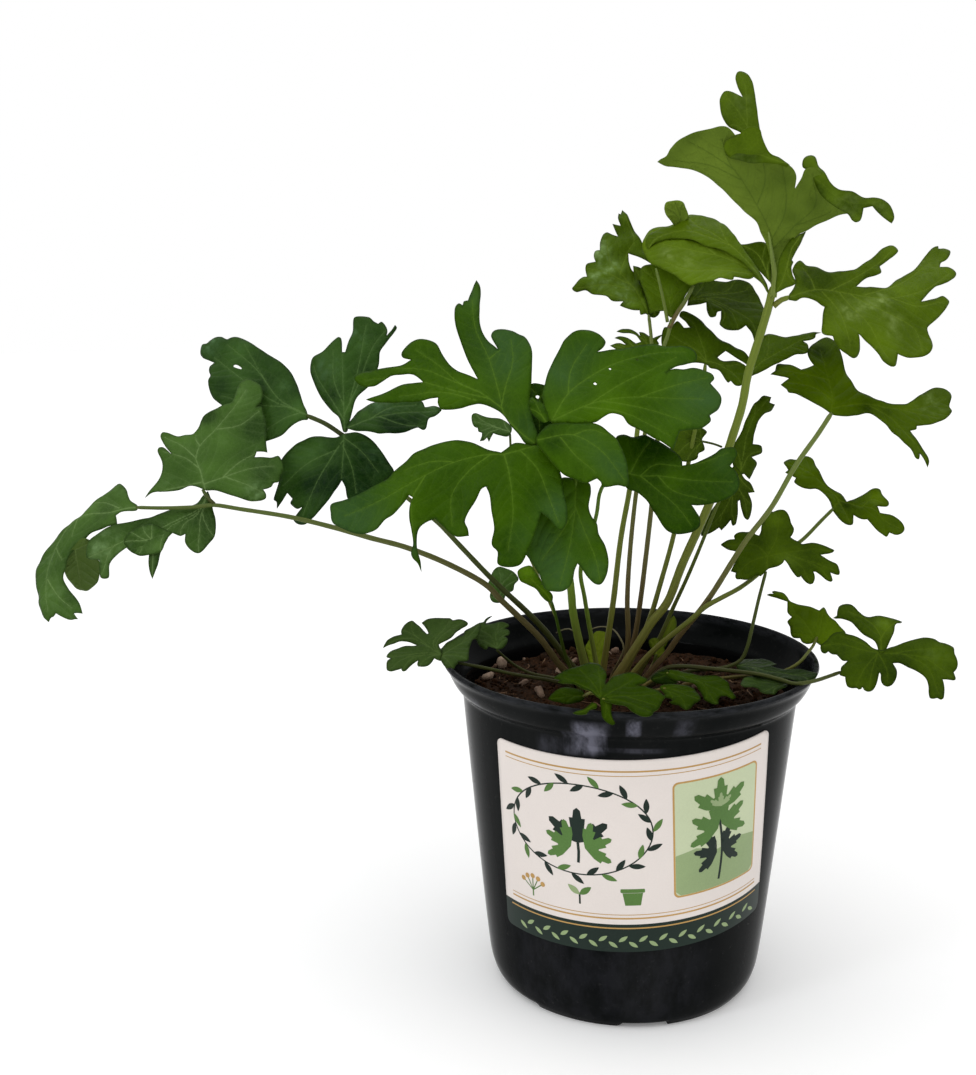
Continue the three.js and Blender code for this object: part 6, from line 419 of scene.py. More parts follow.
     "edge": [0.79, -0.17, 2.68, 3.33, 5.73, 3.73, 4, 6.04, 4.15, 8.06, 6.26, 7.39, 6.38, 9.38, 5.47, 11.68, 6.93, 13.96, 7, 15.91, 4.95, 16.62, 1.22, 16.37, -1.13, 17.36, -2.71, 17.22, -5.38, 14.96, -7.72, 11.73, -8.17, 8.63, -7.74, 5, -5.83, 2.25, -3.39, -0.24, -0.45, -0.9]},
   ], "stalks": [
    {"r": [0.6, 0.8], "ground": True, "dark": [0.15, 0.1], "reach": 1.2, "seed": 0.43, "tone": 0.45, "path": [[11.73, -32.9, 142.89], [7.68, -26, 139.72], [-1.6, -11.4, 132.9]]},
   ]},
  {"name": "rim_leaf_right_back", "node": "rim_leaf_right_back", "family": "rim", "stem": "stem_green", "slot": "leaf_bluish_green",
   "blades": [
    {"at": [46.33, -12.5, 146.76], "across": [-0.6324, -0.7588, -0.1562], "along": [0.7556, -0.6486, 0.0914], "bend": [0, 0, 0, 3, 0.3, 22, 0.4, 0.7], "tone": 0.1, "quilt": 0.3, "ruffle": 0.35,
     "edge": [2.89, 2.08, 5.58, 8.57, 7.06, 14.27, 5.85, 18.42, 6.61, 23.61, 7.53, 28.84, 7.59, 33.59, 5.41, 37.02, 1.33, 38.53, -2.68, 36.86, -3.61, 33.1, -3.29, 28.59, -2.21, 23.46, -1.59, 19.04, -2.7, 15.01, -6.42, 15.34, -8.9, 10.02, -9.95, 4.43, -8.13, -0.49, -5.6, -2.49, -0.93, -1.71]},
   ], "stalks": [
   ]},
  {"name": "rim_leaf_right_front", "node": "rim_leaf_right_front", "family": "rim", "stem": "stem_green", "slot": "leaf_bluish_green",
   "blades": [
    {"at": [63.5, -32, 144.72], "across": [0.053, 0.9888, 0.1398], "along": [-0.9986, 0.0525, 0.0074], "bend": [0, 0, 0, 3, 0.3, 22, 0.4, 0.7], "tone": 0.4, "quilt": 0.3, "ruffle": 0.35,
     "edge": [-3.02, 19.15, -4.93, 17.89, -4.68, 14.52, -5.41, 12.15, -8.35, 11.23, -10.53, 9.42, -9.41, 6.02, -6.57, 4.01, -3.59, 0.3, -0.08, -0.57, 3.05, 1.12, 5.77, 4.99, 7.16, 9.85, 6.65, 14.1, 4.44, 17.3, 0.16, 18.98]},
   ], "stalks": [
   ]},
  {"name": "rim_leaf_left_outer", "node": "rim_leaf_left_outer", "family": "rim", "stem": "stem_green", "slot": "leaf_bluish_green",
   "blades": [
    {"at": [-82.61, -15, 152.45], "across": [-0.0356, 0.798, 0.6016], "along": [-0.9943, 0.0321, -0.1015], "bend": [-0.0012, -0.001, 0, 3, 0.6, 22, 0.4, 0.7], "tone": 0.63, "quilt": 0.3, "ruffle": 0.35,
     "edge": [8.8, 23.02, 9.26, 20.76, 9.7, 17.93, 9.14, 15.05, 7.8, 11.85, 6.77, 10.56, 6.96, 13.08, 7.04, 16.32, 6.37, 19.51, 5.17, 22.03, 3.76, 23.3, 2, 23.93, 1.06, 22.09, 0.07, 23.53, -2.34, 23.92, -5.5, 23.42, -6.51, 21.53, -5.86, 19.35, -5.11, 17.43, -6.51, 16.83, -6.5, 15.57, -4.62, 13.69, -2.96, 11.8, -1.69, 10.01, -3.88, 10.42, -5, 9.92, -5.46, 7.76, -4.71, 5.54, -3.38, 3.96, -1.81, 2.89, -2.5, 1.77, -3.02, 0.22, -1.31, -0.07, 0.2, -0.48, 1.55, -0.21, 3.08, -0.19, 3.89, 0.41, 5.91, 0.86, 6.61, -0.24, 7.86, -2.81, 9.59, -5.38, 11.93, -7.3, 13.84, -9.21, 15.31, -11.48, 16.7, -12.12, 18.27, -10.55, 19.12, -8.05, 19.13, -5.48, 20.28, -4.22, 20.47, 0.24, 20.73, 3.42, 19.99, 6.62, 18.98, 8.45, 17.39, 7.33, 14.89, 6.08, 12.81, 5.43, 12.25, 5.96, 14.69, 7.67, 17.14, 9.23, 18.84, 10.81, 20.21, 12.4, 19.61, 14.31, 17.86, 16.28, 15.7, 17.53, 13.8, 17.42, 13.22, 18.84, 12.36, 21.41, 11.1, 23.63, 9.03, 24.93, 7.61, 25.59]},
    {"at": [-82.52, -15.23, 152.3], "across": [0.6086, -0.7315, -0.3075], "along": [0.7919, 0.5353, 0.2938], "bend": [0, -0.0014, 0, 3, 0.4, 22, 0.4, 0.7], "tone": 0.62, "quilt": 0.3, "ruffle": 0.35,
     "edge": [-0.68, -0.2, 1.83, -1.65, 4.17, -2.55, 6.61, -3.22, 8.48, -3.06, 8.92, -1.48, 10.15, -0.85, 8.96, 1.21, 8.64, 2.2, 7.6, 3.78, 9.07, 5.73, 9.66, 7.22, 7.39, 9.48, 4.63, 11.84, 2.83, 13.97, 1.03, 16.14, 0.46, 17.73, 0.86, 18.25, -0.56, 20.98, -3.14, 24.06, -5.89, 25.77, -6.42, 22.95, -6.14, 19.58, -5.79, 16.72, -4.64, 15.64, -4.74, 13.74, -5.09, 10.83, -5.13, 7.75, -4.48, 4.88, -3.58, 2.29]},
   ], "stalks": [
   ]},
  {"name": "rim_leaf_left_inner", "node": "rim_leaf_left_inner", "family": "rim", "stem": "stem_green", "slot": "leaf_bluish_green",
   "blades": [
    {"at": [-58.33, -2, 151.39], "across": [0.9752, 0.207, 0.0784], "along": [-0.2156, 0.808, 0.5484], "bend": [0, -0.002, 0, 3, 0.5, 22, 0.4, 0.7], "tone": 0.65, "quilt": 0.3, "ruffle": 0.35,
     "edge": [-6.6, 11.24, -7.77, 7.87, -7.6, 5.73, -7.3, 3.97, -6.66, 2.54, -5.63, 1.25, -4.46, 0.64, -3.57, 1.83, -1.54, 0.61, 0.21, -0.28, 2.19, -0.09, 4.13, 1.25, 5.57, 3.16, 5.97, 4.84, 5.05, 6.64, 7.19, 7.32, 7.86, 8.6, 7.57, 10.35, 6.16, 11.41, 8.29, 12.05, 8.29, 13.4, 6.9, 14.61, 4.41, 15.43, 1.71, 15.15, -0.4, 14.79, -1.83, 14.76, -0.95, 16.64, 0.74, 18.24, 2.42, 19.7, 0.16, 18.74, -1.44, 17.57, -2.75, 16, -4.11, 15.83, -7.19, 14.89]},
   ], "stalks": [
   ]},
  {"name": "rim_stem_left_front", "node": "rim_stem_left_front", "family": "rim", "stem": "stem_dark", "slot": "stem_green",
   "blades": [
   ], "stalks": [
    {"r": [0.7, 0.85], "ground": True, "reach": 1.2, "seed": 0.8, "tone": 0.07, "path": [[-74.2, -15, 148.72], [-67.94, -13, 146.91], [-61.43, -11, 144.95], [-52.65, -7, 141.68], [-43.77, -4, 139.15], [-34.77, 0, 136.3], [-24.6, 0.6, 132.9]]},
   ]},
  {"name": "rim_stem_left_back", "node": "rim_stem_left_back", "family": "rim", "stem": "stem_dark", "slot": "stem_green",
   "blades": [
   ], "stalks": [
    {"r": [0.6, 0.7], "ground": True, "reach": 1.2, "seed": 0.18, "tone": 0.69, "path": [[-57.88, -1, 150.19], [-54.29, 3, 145.57], [-49.78, 6, 141.19], [-43.47, 7, 137.63], [-24, 5.4, 132.9]]},
   ]},
  {"name": "young_leaf_1", "node": "young_leaf_1", "family": "young", "stem": "stem_green", "slot": "leaf_young",
   "blades": [
    {"at": [-12.78, 4, 139.94], "across": [0.9967, -0.0205, -0.0779], "along": [0.0806, 0.2537, 0.9639], "bend": [0, -0.01, 0, 3, 0, 22, 0.4, 0.7], "tone": 0.75, "quilt": 0.3, "ruffle": 0.1,
     "edge": [-6.44, 7.82, -5.46, 5.49, -4.45, 2.76, -2.73, 0.67, -0.15, -0.9, 2.11, 1.06, 2.42, 6.94, 2.98, 10.2, 3.54, 13.46, 2.49, 16.6, 0.01, 17.34, -2.35, 17.14, -4.21, 15.25, -5.95, 11.88, -6.96, 9.38]},
   ], "stalks": [
    {"r": [0.7, 0.9], "ground": True, "dark": [0.2, 0.2], "reach": 0, "seed": 0.56, "tone": 0.3, "path": [[-12.75, 4.3, 139.38], [-12.29, 4, 137.15], [-13, 6.5, 132.9]]},
   ]},
  {"name": "young_leaf_2", "node": "young_leaf_2", "family": "young", "stem": "stem_green", "slot": "leaf_young",
   "blades": [
    {"at": [12.63, 5, 145.67], "across": [0.9947, 0.0932, -0.0425], "along": [0.0118, 0.3081, 0.9513], "bend": [0, 0, 0, 3, 0, 22, 0.4, 0.7], "tone": 0.45, "quilt": 0.3, "ruffle": 0.1,
     "edge": [-2.59, 4.1, -0.91, 0.88, 1.59, -0.42, 3.18, 0.18, 4.04, 2.6, 2.41, 6.58, -0.05, 8.55, -3.31, 7.3]},
   ], "stalks": [
    {"r": [0.6, 0.8], "ground": True, "dark": [0.7, 0.7], "reach": 0, "seed": 0.93, "tone": 0.92, "path": [[12.61, 5.05, 147.05], [11.3, 5.52, 139.97], [10, 6, 132.9]]},
   ]},
  {"name": "young_leaf_3", "node": "young_leaf_3", "family": "young", "stem": "stem_green", "slot": "leaf_young",
   "blades": [
    {"at": [17.08, 17, 147.32], "across": [0.926, -0.0626, -0.3723], "along": [0.3638, 0.4118, 0.8355], "bend": [0, 0, -0.3, 1, 0, 22, 0.4, 0.7], "tone": 0.35, "quilt": 0.3, "ruffle": 0.1,
     "edge": [1.15, -0.49, 1.53, 3.38, 2.94, 9.38, 1.88, 13.32, -0.14, 15.12, -1.56, 11.89, -2.48, 7.13, -2.35, 4.05, -2.02, 1.06]},
   ], "stalks": [
    {"r": [0.6, 0.8], "ground": True, "dark": [0.3, 0.3], "reach": 0, "seed": 0.31, "tone": 0.54, "path": [[17.33, 17.1, 148.47], [13.47, 15.85, 140.69], [9.6, 14.6, 132.9]]},
   ]},
  {"name": "small_leaf_behind_left", "node": None, "family": "left", "stem": "stem_green", "slot": "leaf_bluish_green",
   "blades": [
    {"at": [-52.42, 30, 243.28], "across": [0.4064, 0.5482, 0.731], "along": [-0.9137, 0.2438, 0.3251], "bend": [0, 0, 0, 3, 0, 22, 0.4, 0.7], "tone": 0.3, "quilt": 0.3, "ruffle": 0.35,
     "edge": [-2.25, 17.7, -3.92, 15.76, -3.85, 14.21, -5.62, 12.88, -5.61, 11.36, -7.01, 10.73, -9.72, 10.55, -8.61, 8.94, -7, 8.19, -8.68, 6.46, -5.73, 6.59, -3.48, 6.56, -3.46, 4.51, -2.24, 0, 1.92, -0.14, 4.55, 4.94, 2.62, 12.47, 2.45, 18.08, 1.05, 19.18]},
   ], "stalks": [
    {"r": [0.5, 0.6], "ground": False, "dark": [0.9, 0], "reach": 1.2, "seed": 0.69, "tone": 0.16, "path": [[-52.41, 30.5, 242.3], [-51.63, 20, 227.65], [-48.39, 0, 204.52], [-41.58, -15.0, 188.97], [-33.77, -30, 173.41]]},
   ]},
  {"name": "top_leaf_stalklet", "node": None, "family": "top", "stem": "stem_green", "slot": "leaf_mid_green",
   "blades": [
    {"at": [68.21, 1, 329.85], "across": [-0.8637, -0.2372, 0.4448], "along": [-0.284, -0.4999, -0.8182], "bend": [0, 0, 0, 3, 0, 22, 0.4, 0.7], "tone": 0.3, "quilt": 0.3, "ruffle": 0.35,
     "edge": [3.41, 2.83, 6.29, 11.28, 6.41, 20.16, 4.35, 30.53, 0.23, 25.7, -3.43, 21.51, 0.35, 15.86, -0.11, 12.62, 0.81, 12.32, -0.58, 5.95, -1.73, 0.57, -2.2, -3.53]},
   ], "stalks": [
   ]},
  {"name": "top_leaf_left_scrap", "node": None, "family": "top", "stem": "stem_green", "slot": "leaf_mid_green",
   "blades": [
    {"at": [56.31, 3, 311.62], "across": [0.9065, 0.1335, 0.4005], "along": [-0.4221, 0.2867, 0.86], "bend": [0, 0, 0, 3, 0, 22, 0.4, 0.7], "tone": 0.2, "quilt": 0.3, "ruffle": 0.35,
     "edge": [-1.91, 5.68, 0, -0.96, 5.37, 9, 5.95, 14.97, -3.93, 18.85]},
   ], "stalks": [
   ]},
  {"name": "back_leaf_tiny", "node": None, "family": "back", "stem": "stem_green", "slot": "leaf_mid_green",
   "blades": [
    {"at": [32.33, 16, 241.22], "across": [-0.1523, 0.5801, 0.8002], "along": [-0.9883, -0.0894, -0.1233], "bend": [0, 0, 0, 3, 0, 22, 0.4, 0.7], "tone": 0.3, "quilt": 0.3, "ruffle": 0.35,
     "edge": [-5.19, 14.98, -9.01, 9.52, -7.72, 4.02, -5.9, 3.28, -4.47, 0.24, 0.92, 0.12, 4.36, -2.74, 7.04, -0.15, 9.78, 10.1]},
   ], "stalks": [
    {"r": [0.5, 0.5], "ground": False, "dark": [0.72, 0.85], "reach": 1.2, "seed": 0.06, "tone": 0.78, "path": [[32.33, 16, 241], [37.29, 16.5, 239.82], [40.85, 16.5, 238.48]]},
   ]},
  {"name": "front_leaf_scrap", "node": None, "family": "front", "stem": "stem_green", "slot": "leaf_mid_green",
   "blades": [
    {"at": [-20.21, -80.5, 152.01], "across": [-0.4212, 0.7501, 0.5099], "along": [-0.9015, -0.2846, -0.3261], "bend": [0, 0, 0, 3, 0, 22, 0.4, 0.7], "tone": 0.5, "quilt": 0.3, "ruffle": 0.35,
     "edge": [-0.76, 9.29, -2.13, 7.38, -2.39, 5.37, -1.33, 3.51, -1.82, 0.69, 0.11, -0.28, 1.21, 1.3, 0.75, 2.42, 0.19, 5.3, 0.72, 8.09, 0.64, 9.88]},
   ], "stalks": [
   ]},
  {"name": "left_low_stalklet", "node": None, "family": "left", "stem": "stem_green", "slot": "stem_green",
   "blades": [
   ], "stalks": [
    {"r": [0.55, 0.6], "ground": False, "dark": [0.62, 0.74], "reach": 1.2, "seed": 0.44, "tone": 0.39, "path": [[-182.44, -10, 220.92], [-180.43, -12, 219.56], [-177.34, -15.3, 218.23]]},
   ]},
  {"name": "centre_leaf_behind", "node": None, "family": "centre", "stem": "stem_green", "slot": "leaf_deep_green",
   "blades": [
    {"at": [-41.09, -55, 250.28], "across": [0.9982, 0.023, 0.0558], "along": [-0.0603, 0.3811, 0.9226], "bend": [0, 0, 0, 3, 1, 14, 0.4, 0.7], "tone": 0.15, "quilt": 0.3, "ruffle": 0.35,
     "edge": [-4.24, 19.69, -4.95, 14.8, -6.52, 8.58, -6.05, 3.7, -4.33, -0.08, -0.89, -1.57, 3.46, -1.07, 6.12, 2.93, 5.28, 7.91, 4.5, 13.7, 4.3, 19.77, 3.17, 23.5, 0.87, 24.59, -1.88, 24.99, -3.55, 23.93],
     "dark_margin": 0.5,
     "zones": [[1.6, 6.34, 3.5, -0.3, 0]],
     "holes": [[-0.48, 19.3, 0.74]]},
   ], "stalks": [
   ]},
  {"name": "centre_leaf_curl", "node": None, "family": "centre", "stem": "stem_green", "slot": "leaf_deep_green",
   "blades": [
    {"at": [-40.03, -66.5, 260.87], "across": [0.8438, 0.2856, 0.4543], "along": [-0.5268, 0.2803, 0.8024], "bend": [0, 0, -0.4, 1, 1, 7, 0.4, 0.7], "tone": 0.35, "quilt": 1.2, "ruffle": 1,
     "edge": [-2.69, 7.24, -2.68, 5.01, -1.92, 2.65, -0.85, 0.08, 1.26, -0.23, 2.21, 2.59, 2.84, 5.63, 2.86, 7.88, 1.78, 9.13, 0.67, 11.08, -1.59, 9.75],
     "dark_margin": 0.5},
   ], "stalks": [
   ]},
  {"name": "top_leaf_midrib", "node": None, "family": "top", "stem": "stem_pale", "slot": "stem_green",
   "blades": [
   ], "stalks": [
    {"r": [0.35, 1.55], "ground": False, "reach": 0, "seed": 0.82, "tone": 0.01, "path": [[54.13, -3.6, 331.52], [56.12, 0.2, 324.93], [58.02, 3.2, 317.43], [59.09, 5.3, 310.7], [58.83, 6, 304.38]]},
   ]},
  {"name": "top_leaf_left_fold", "node": None, "family": "top", "stem": "stem_green", "slot": "leaf_mid_green",
   "blades": [
    {"at": [55.57, 5.1, 307.77], "across": [0.5594, 0.5268, 0.64], "along": [-0.8228, 0.4464, 0.3517], "bend": [-0.0012, -0.003, 0, 3, 0.8, 26, 0.4, 0.7], "tone": 0.42, "quilt": 0.3, "ruffle": 0.35,
     "edge": [-1.6, 57.16, 2.79, 55.71, 6.82, 52, 9.9, 45.22, 10.4, 35, 11.06, 24.98, 8.99, 16.01, 3.86, 6.44, 0.19, -0.37, 8.7, 8.6, 14.63, 16.7, 20.65, 26.15, 27.47, 37.18, 28.14, 47.15, 24.68, 52.8, 16.24, 54, 11.02, 58.58, 5.32, 60.81, 0.76, 59.91],
     "dark_margin": 0.15},
   ], "stalks": [
   ]},
  {"name": "back_leaf_lobe", "node": None, "family": "back", "stem": "stem_green", "slot": "leaf_mid_green",
   "blades": [
    {"at": [12.25, 37, 294.91], "across": [0.9559, 0.1192, 0.2683], "along": [-0.2936, 0.3882, 0.8735], "bend": [0, 0, 0, 3, 0, 22, 0.4, 0.7], "tone": 0.35, "quilt": 0.3, "ruffle": 0.35,
     "edge": [-3.94, 16.57, -4.47, 7.8, -3.69, 1.63, -0.87, -1.21, 2.58, 0.69, 3.26, 8.39, 2.83, 18.47, 0.6, 23.16, -2.11, 24.99]},
   ], "stalks": [
   ]},
  {"name": "back_leaf_stalk_pale", "node": None, "family": "back", "stem": "stem_pale", "slot": "stem_green",
   "blades": [
   ], "stalks": [
    {"r": [0.5, 0.75], "ground": False, "dark": [0.4, 0.1], "reach": 1.2, "seed": 0.2, "tone": 0.63, "path": [[11.05, 24, 314.68], [12.83, 25, 308.63], [14.87, 26, 300.79], [16.68, 26.6, 292.49]]},
   ]},
  {"name": "dry_petiole_left", "node": None, "family": "left", "stem": "stem_dry", "slot": "stem_green",
   "blades": [
   ], "stalks": [
    {"r": [0.3, 0.45], "ground": True, "dark": [0.2, 0], "reach": 0, "seed": 0.57, "tone": 0.25, "path": [[-31.37, 20, 152.6], [-28.66, 20, 154.01], [-25.54, 19, 154.76], [-22.92, 17, 153.9], [-21.25, 14, 150.99], [-20.09, 10, 147.46], [-20, 8, 132.9]]},
   ]},
  {"name": "dry_petiole_right", "node": None, "family": "left", "stem": "stem_dry", "slot": "stem_green",
   "blades": [
   ], "stalks": [
    {"r": [0.3, 0.45], "ground": True, "reach": 0, "seed": 0.95, "tone": 0.87, "path": [[-15.34, 22, 153.7], [-12.16, 22, 154.88], [-8.6, 21, 155.15], [-5.1, 19, 154.29], [-2.68, 15, 151.64], [-1.06, 12, 147.82], [-7, 13, 132.9]]},
   ]},
  {"name": "top_leaf_fold_over", "node": None, "family": "top", "stem": "stem_green", "slot": "leaf_mid_green",
   "blades": [
    {"at": [59.08, 6.3, 310.24], "across": [0.9397, -0.1885, 0.2852], "along": [-0.3382, -0.3903, 0.8563], "bend": [-0.0008, -0.0015, 0, 3, 0.15, 30, 0.4, 0.7], "tone": 0.42, "quilt": 0.3, "ruffle": 0.35,
     "edge": [3.46, 68.28, 1.48, 66.92, -1.21, 66.65, -3.69, 65.94, -5.1, 63.73, -4.36, 60.88, -2.13, 58.19, 3.01, 55.25, 8.35, 53.05, 12.94, 51.32, 17.19, 48.47, 18.1, 48.81, 15.04, 53.04, 11.86, 56.32, 10.88, 59.95, 10.51, 63.86, 10.37, 66.86, 6.88, 68.86],
     "vein_power": 0.15,
     "dark_margin": 0.25,
     "zones": [[-0.91, 62.42, 4.37, -0.2, 0], [13.27, 53.51, 3.5, -0.15, 0]]},
   ], "stalks": [
   ]},
]

STONES = [(-56.7, 38.8, 3), (-63.7, 22.9, 2.4), (-39.3, -2.6, 2.6), (-29, 27.6, 2.4), (-0.3, 67.6, 2.2), (-59.7, 37.4, 1.7), (-46.5, 9.2, 1.8), (-21, 47.1, 1.6), (-31.6, 63, 1.6), (-11.6, 12.2, 1.5), (-44.9, 54.3, 1.5), (7.4, 21.4, 1.6), (21.3, 0.3, 1.5), (-10.1, 69.8, 1.3)]
# painted reflections on the shell as cloudy patches: angle, height, half width, half height, strength (below 0: a warm
# brown painted reflection)
PAINTED_REFLECTIONS = [(-0.319, 134.3, 4, 7.5, 0.85), (-0.242, 133.9, 2.6, 6.2, 0.5), (-0.401, 131.6, 3.5, 5.3, 0.4), (-0.063, 141.3, 2.6, 4, 0.95), (0.195, 140.8, 4, 4, 0.3), (-0.533, 128.8, 5.7, 4, 0.22), (-1.06, 138.5, 3.5, 2.2, 0.25), (-0.279, 139.6, 7, 3.5, 0.3), (-0.134, 129.7, 17.6, 1.1, 0.25), (-0.244, 22.1, 57.2, 21.1, 0.05)]


# ------------------------------------------------------------------ mesh helpers
def new_object(name, verts, faces, mats, face_mats=None, smooth=True, floats=None, uv=None):
    """verts in mm; floats is {attribute name: per-vertex values}; uv is per-vertex (n, 2)."""
    me = bpy.data.meshes.new(name)
    co = (np.asarray(verts, float) * MM).astype(np.float32)
    if len({len(f) for f in faces}) == 1 and len(faces[0]) == 3:
        idx = np.asarray(faces, dtype=np.int32)
        me.vertices.add(len(co))
        me.vertices.foreach_set("co", co.ravel())
        me.loops.add(idx.size)
        me.loops.foreach_set("vertex_index", idx.ravel())
        me.polygons.add(len(idx))
        me.polygons.foreach_set("loop_start", np.arange(0, idx.size, 3, dtype=np.int32))
        me.update(calc_edges=True)
    else:
        me.from_pydata(co.tolist(), [], [list(map(int, f)) for f in faces])
    for m in mats:
        me.materials.append(m)
    if face_mats is not None:
        me.polygons.foreach_set("material_index", np.asarray(face_mats, dtype=np.int32))
    me.polygons.foreach_set("use_smooth", np.full(len(me.polygons), smooth))
    for key, values in (floats or {}).items():
        a = me.attributes.new(key, "FLOAT", "POINT")
        a.data.foreach_set("value", np.asarray(values, dtype=np.float32))
    if uv is not None:
        layer = me.uv_layers.new(name="UVMap")
        loops = np.empty(len(me.loops), dtype=np.int32)
        me.loops.foreach_get("vertex_index", loops)
        layer.data.foreach_set("uv", np.asarray(uv, dtype=np.float32)[loops].ravel())
    me.update()
    o = bpy.data.objects.new(name, me)
    bpy.context.scene.collection.objects.link(o)
    return o


def piece(o, slot, *nodes):
    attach(o, "root")
    if nodes:
        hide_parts(*nodes)
    return o


class Soup:
    """Collects parts of one piece."""

    def __init__(self):
        self.v, self.f, self.m, self.uv = [], [], [], []
        self.at = {}
        self.n = 0

    def add(self, v, f, m, uv, **at):
        v = np.asarray(v, float)
        k = len(v)
        self.v.append(v)
        self.uv.append(np.asarray(uv, float))
        f = np.asarray(f, int) + self.n
        self.f.extend(f.tolist())
        self.m.append(np.broadcast_to(np.asarray(m, int), (len(f),)).copy())
        for key in set(self.at) | set(at):
            old = self.at.get(key, np.zeros(self.n))
            self.at[key] = np.r_[old, np.broadcast_to(np.asarray(at.get(key, 0.0), float), (k,))]
        self.n += k

    def object(self, name, mats):
        return new_object(name, np.vstack(self.v), self.f, mats, np.concatenate(self.m), True, self.at, np.vstack(self.uv))


def spline(P, step, corner=None, closed=False):
    """Centripetal Catmull-Rom through P, sampled about every step mm. Corner indexes keep their point sharp."""
    P = np.asarray(P, float)
    n = len(P)
    corner = corner or set()
    out = []
    for i in range(n if closed else n - 1):
        p1, p2 = P[i], P[(i + 1) % n]
        p0 = P[(i - 1) % n] if (closed or i > 0) and i not in corner else 2 * p1 - p2
        p3 = P[(i + 2) % n] if (closed or i + 2 < n) and (i + 1) % n not in corner else 2 * p2 - p1
        d = [max(np.linalg.norm(b - a), 1e-3) ** 0.5 for a, b in ((p0, p1), (p1, p2), (p2, p3))]
        k = max(1, int(round(np.linalg.norm(p2 - p1) / step)))
        m1 = (p2 - p1) - d[1] * ((p2 - p0) / (d[0] + d[1]) - (p1 - p0) / d[0])
        m1 = (p2 - p1) + d[1] * ((p1 - p0) / d[0] - (p2 - p0) / (d[0] + d[1]))
        m2 = (p2 - p1) + d[1] * ((p3 - p2) / d[2] - (p3 - p1) / (d[1] + d[2]))
        for j in range(k):
            t = j / k
            t2, t3 = t * t, t * t * t
            out.append((2 * t3 - 3 * t2 + 1) * p1 + (t3 - 2 * t2 + t) * m1 + (3 * t2 - 2 * t3) * p2 + (t3 - t2) * m2)
    if not closed:
        out.append(P[-1])
    return np.array(out)


def inside(poly, Q):
    x, y = Q[:, 0][:, None], Q[:, 1][:, None]
    a, b = poly, np.roll(poly, -1, axis=0)
    hit = (a[:, 1] > y) != (b[:, 1] > y)
    with np.errstate(divide="ignore", invalid="ignore"):
        xi = (b[:, 0] - a[:, 0]) * (y - a[:, 1]) / (b[:, 1] - a[:, 1]) + a[:, 0]
    return (np.sum(hit & (x < xi), axis=1) % 2) == 1


def seg_dist(Q, A, B, step=4000):
    """For each Q the nearest distance to the segments A-B, the index of that segment and the place along it."""
    D = np.empty(len(Q))
    I = np.empty(len(Q), int)
    T = np.empty(len(Q))
    AB = B - A
    L2 = np.maximum(np.sum(AB * AB, axis=1), 1e-12)
    for s in range(0, len(Q), step):
        q = Q[s:s + step]
        t = np.clip(np.einsum("nmk,mk->nm", q[:, None, :] - A[None], AB) / L2, 0, 1)
        d = np.linalg.norm(q[:, None, :] - (A[None] + t[..., None] * AB[None]), axis=2)
        i = np.argmin(d, axis=1)
        r = np.arange(len(q))
        D[s:s + step], I[s:s + step], T[s:s + step] = d[r, i], i, t[r, i]
    return D, I, T


def mesh_inside(P, n):
    """Triangles over points P whose first n are the margin, in order; only those inside the margin."""
    res = delaunay_2d_cdt([Vector(q) for q in P], [(i, (i + 1) % n) for i in range(n)], [], 0, 1e-4, False)
    Q = np.array([tuple(v) for v in res[0]])
    F = np.array([f for f in res[2] if len(f) == 3], int)
    F = F[inside(P[:n], Q[F].mean(axis=1))]
    ar = (Q[F[:, 1], 0] - Q[F[:, 0], 0]) * (Q[F[:, 2], 1] - Q[F[:, 0], 1]) - (Q[F[:, 1], 1] - Q[F[:, 0], 1]) * (Q[F[:, 2], 0] - Q[F[:, 0], 0])
    F[ar < 0] = F[ar < 0][:, ::-1]
    F = F[np.abs(ar) > 1e-7]
    used = np.unique(F)
    new = np.full(len(Q), -1)
    new[used] = np.arange(len(used))
    return Q[used], new[F]


def bend_height(b, s, t):
    ct, cs, fold, w, ripple, length, turn, phase = b
    h = ct * t * t + cs * s * s + fold * (np.sqrt(s * s + w * w) - w)
    if ripple:
        r = np.hypot(s, t)
        h = h + ripple * np.sin(2 * np.pi * (s * math.cos(turn) + t * math.sin(turn)) / length + phase) * r / (r + 12.0)
    return h


# ------------------------------------------------------------------ leaves
def signed_area(P):
    return 0.5 * np.sum(P[:, 0] * np.roll(P[:, 1], -1) - P[:, 1] * np.roll(P[:, 0], -1))


def fine_outline(O):
    """The leaf's margin: smooth lobes, sharp notches."""
    n = len(O)
    a = O - np.roll(O, 1, axis=0)
    b = np.roll(O, -1, axis=0) - O
    turn = np.degrees(np.arctan2(a[:, 0] * b[:, 1] - a[:, 1] * b[:, 0], np.sum(a * b, axis=1)))
    corner = {i for i in range(n) if turn[i] < -50 or turn[i] > 95}
    return spline(O, 0.75, corner, True)


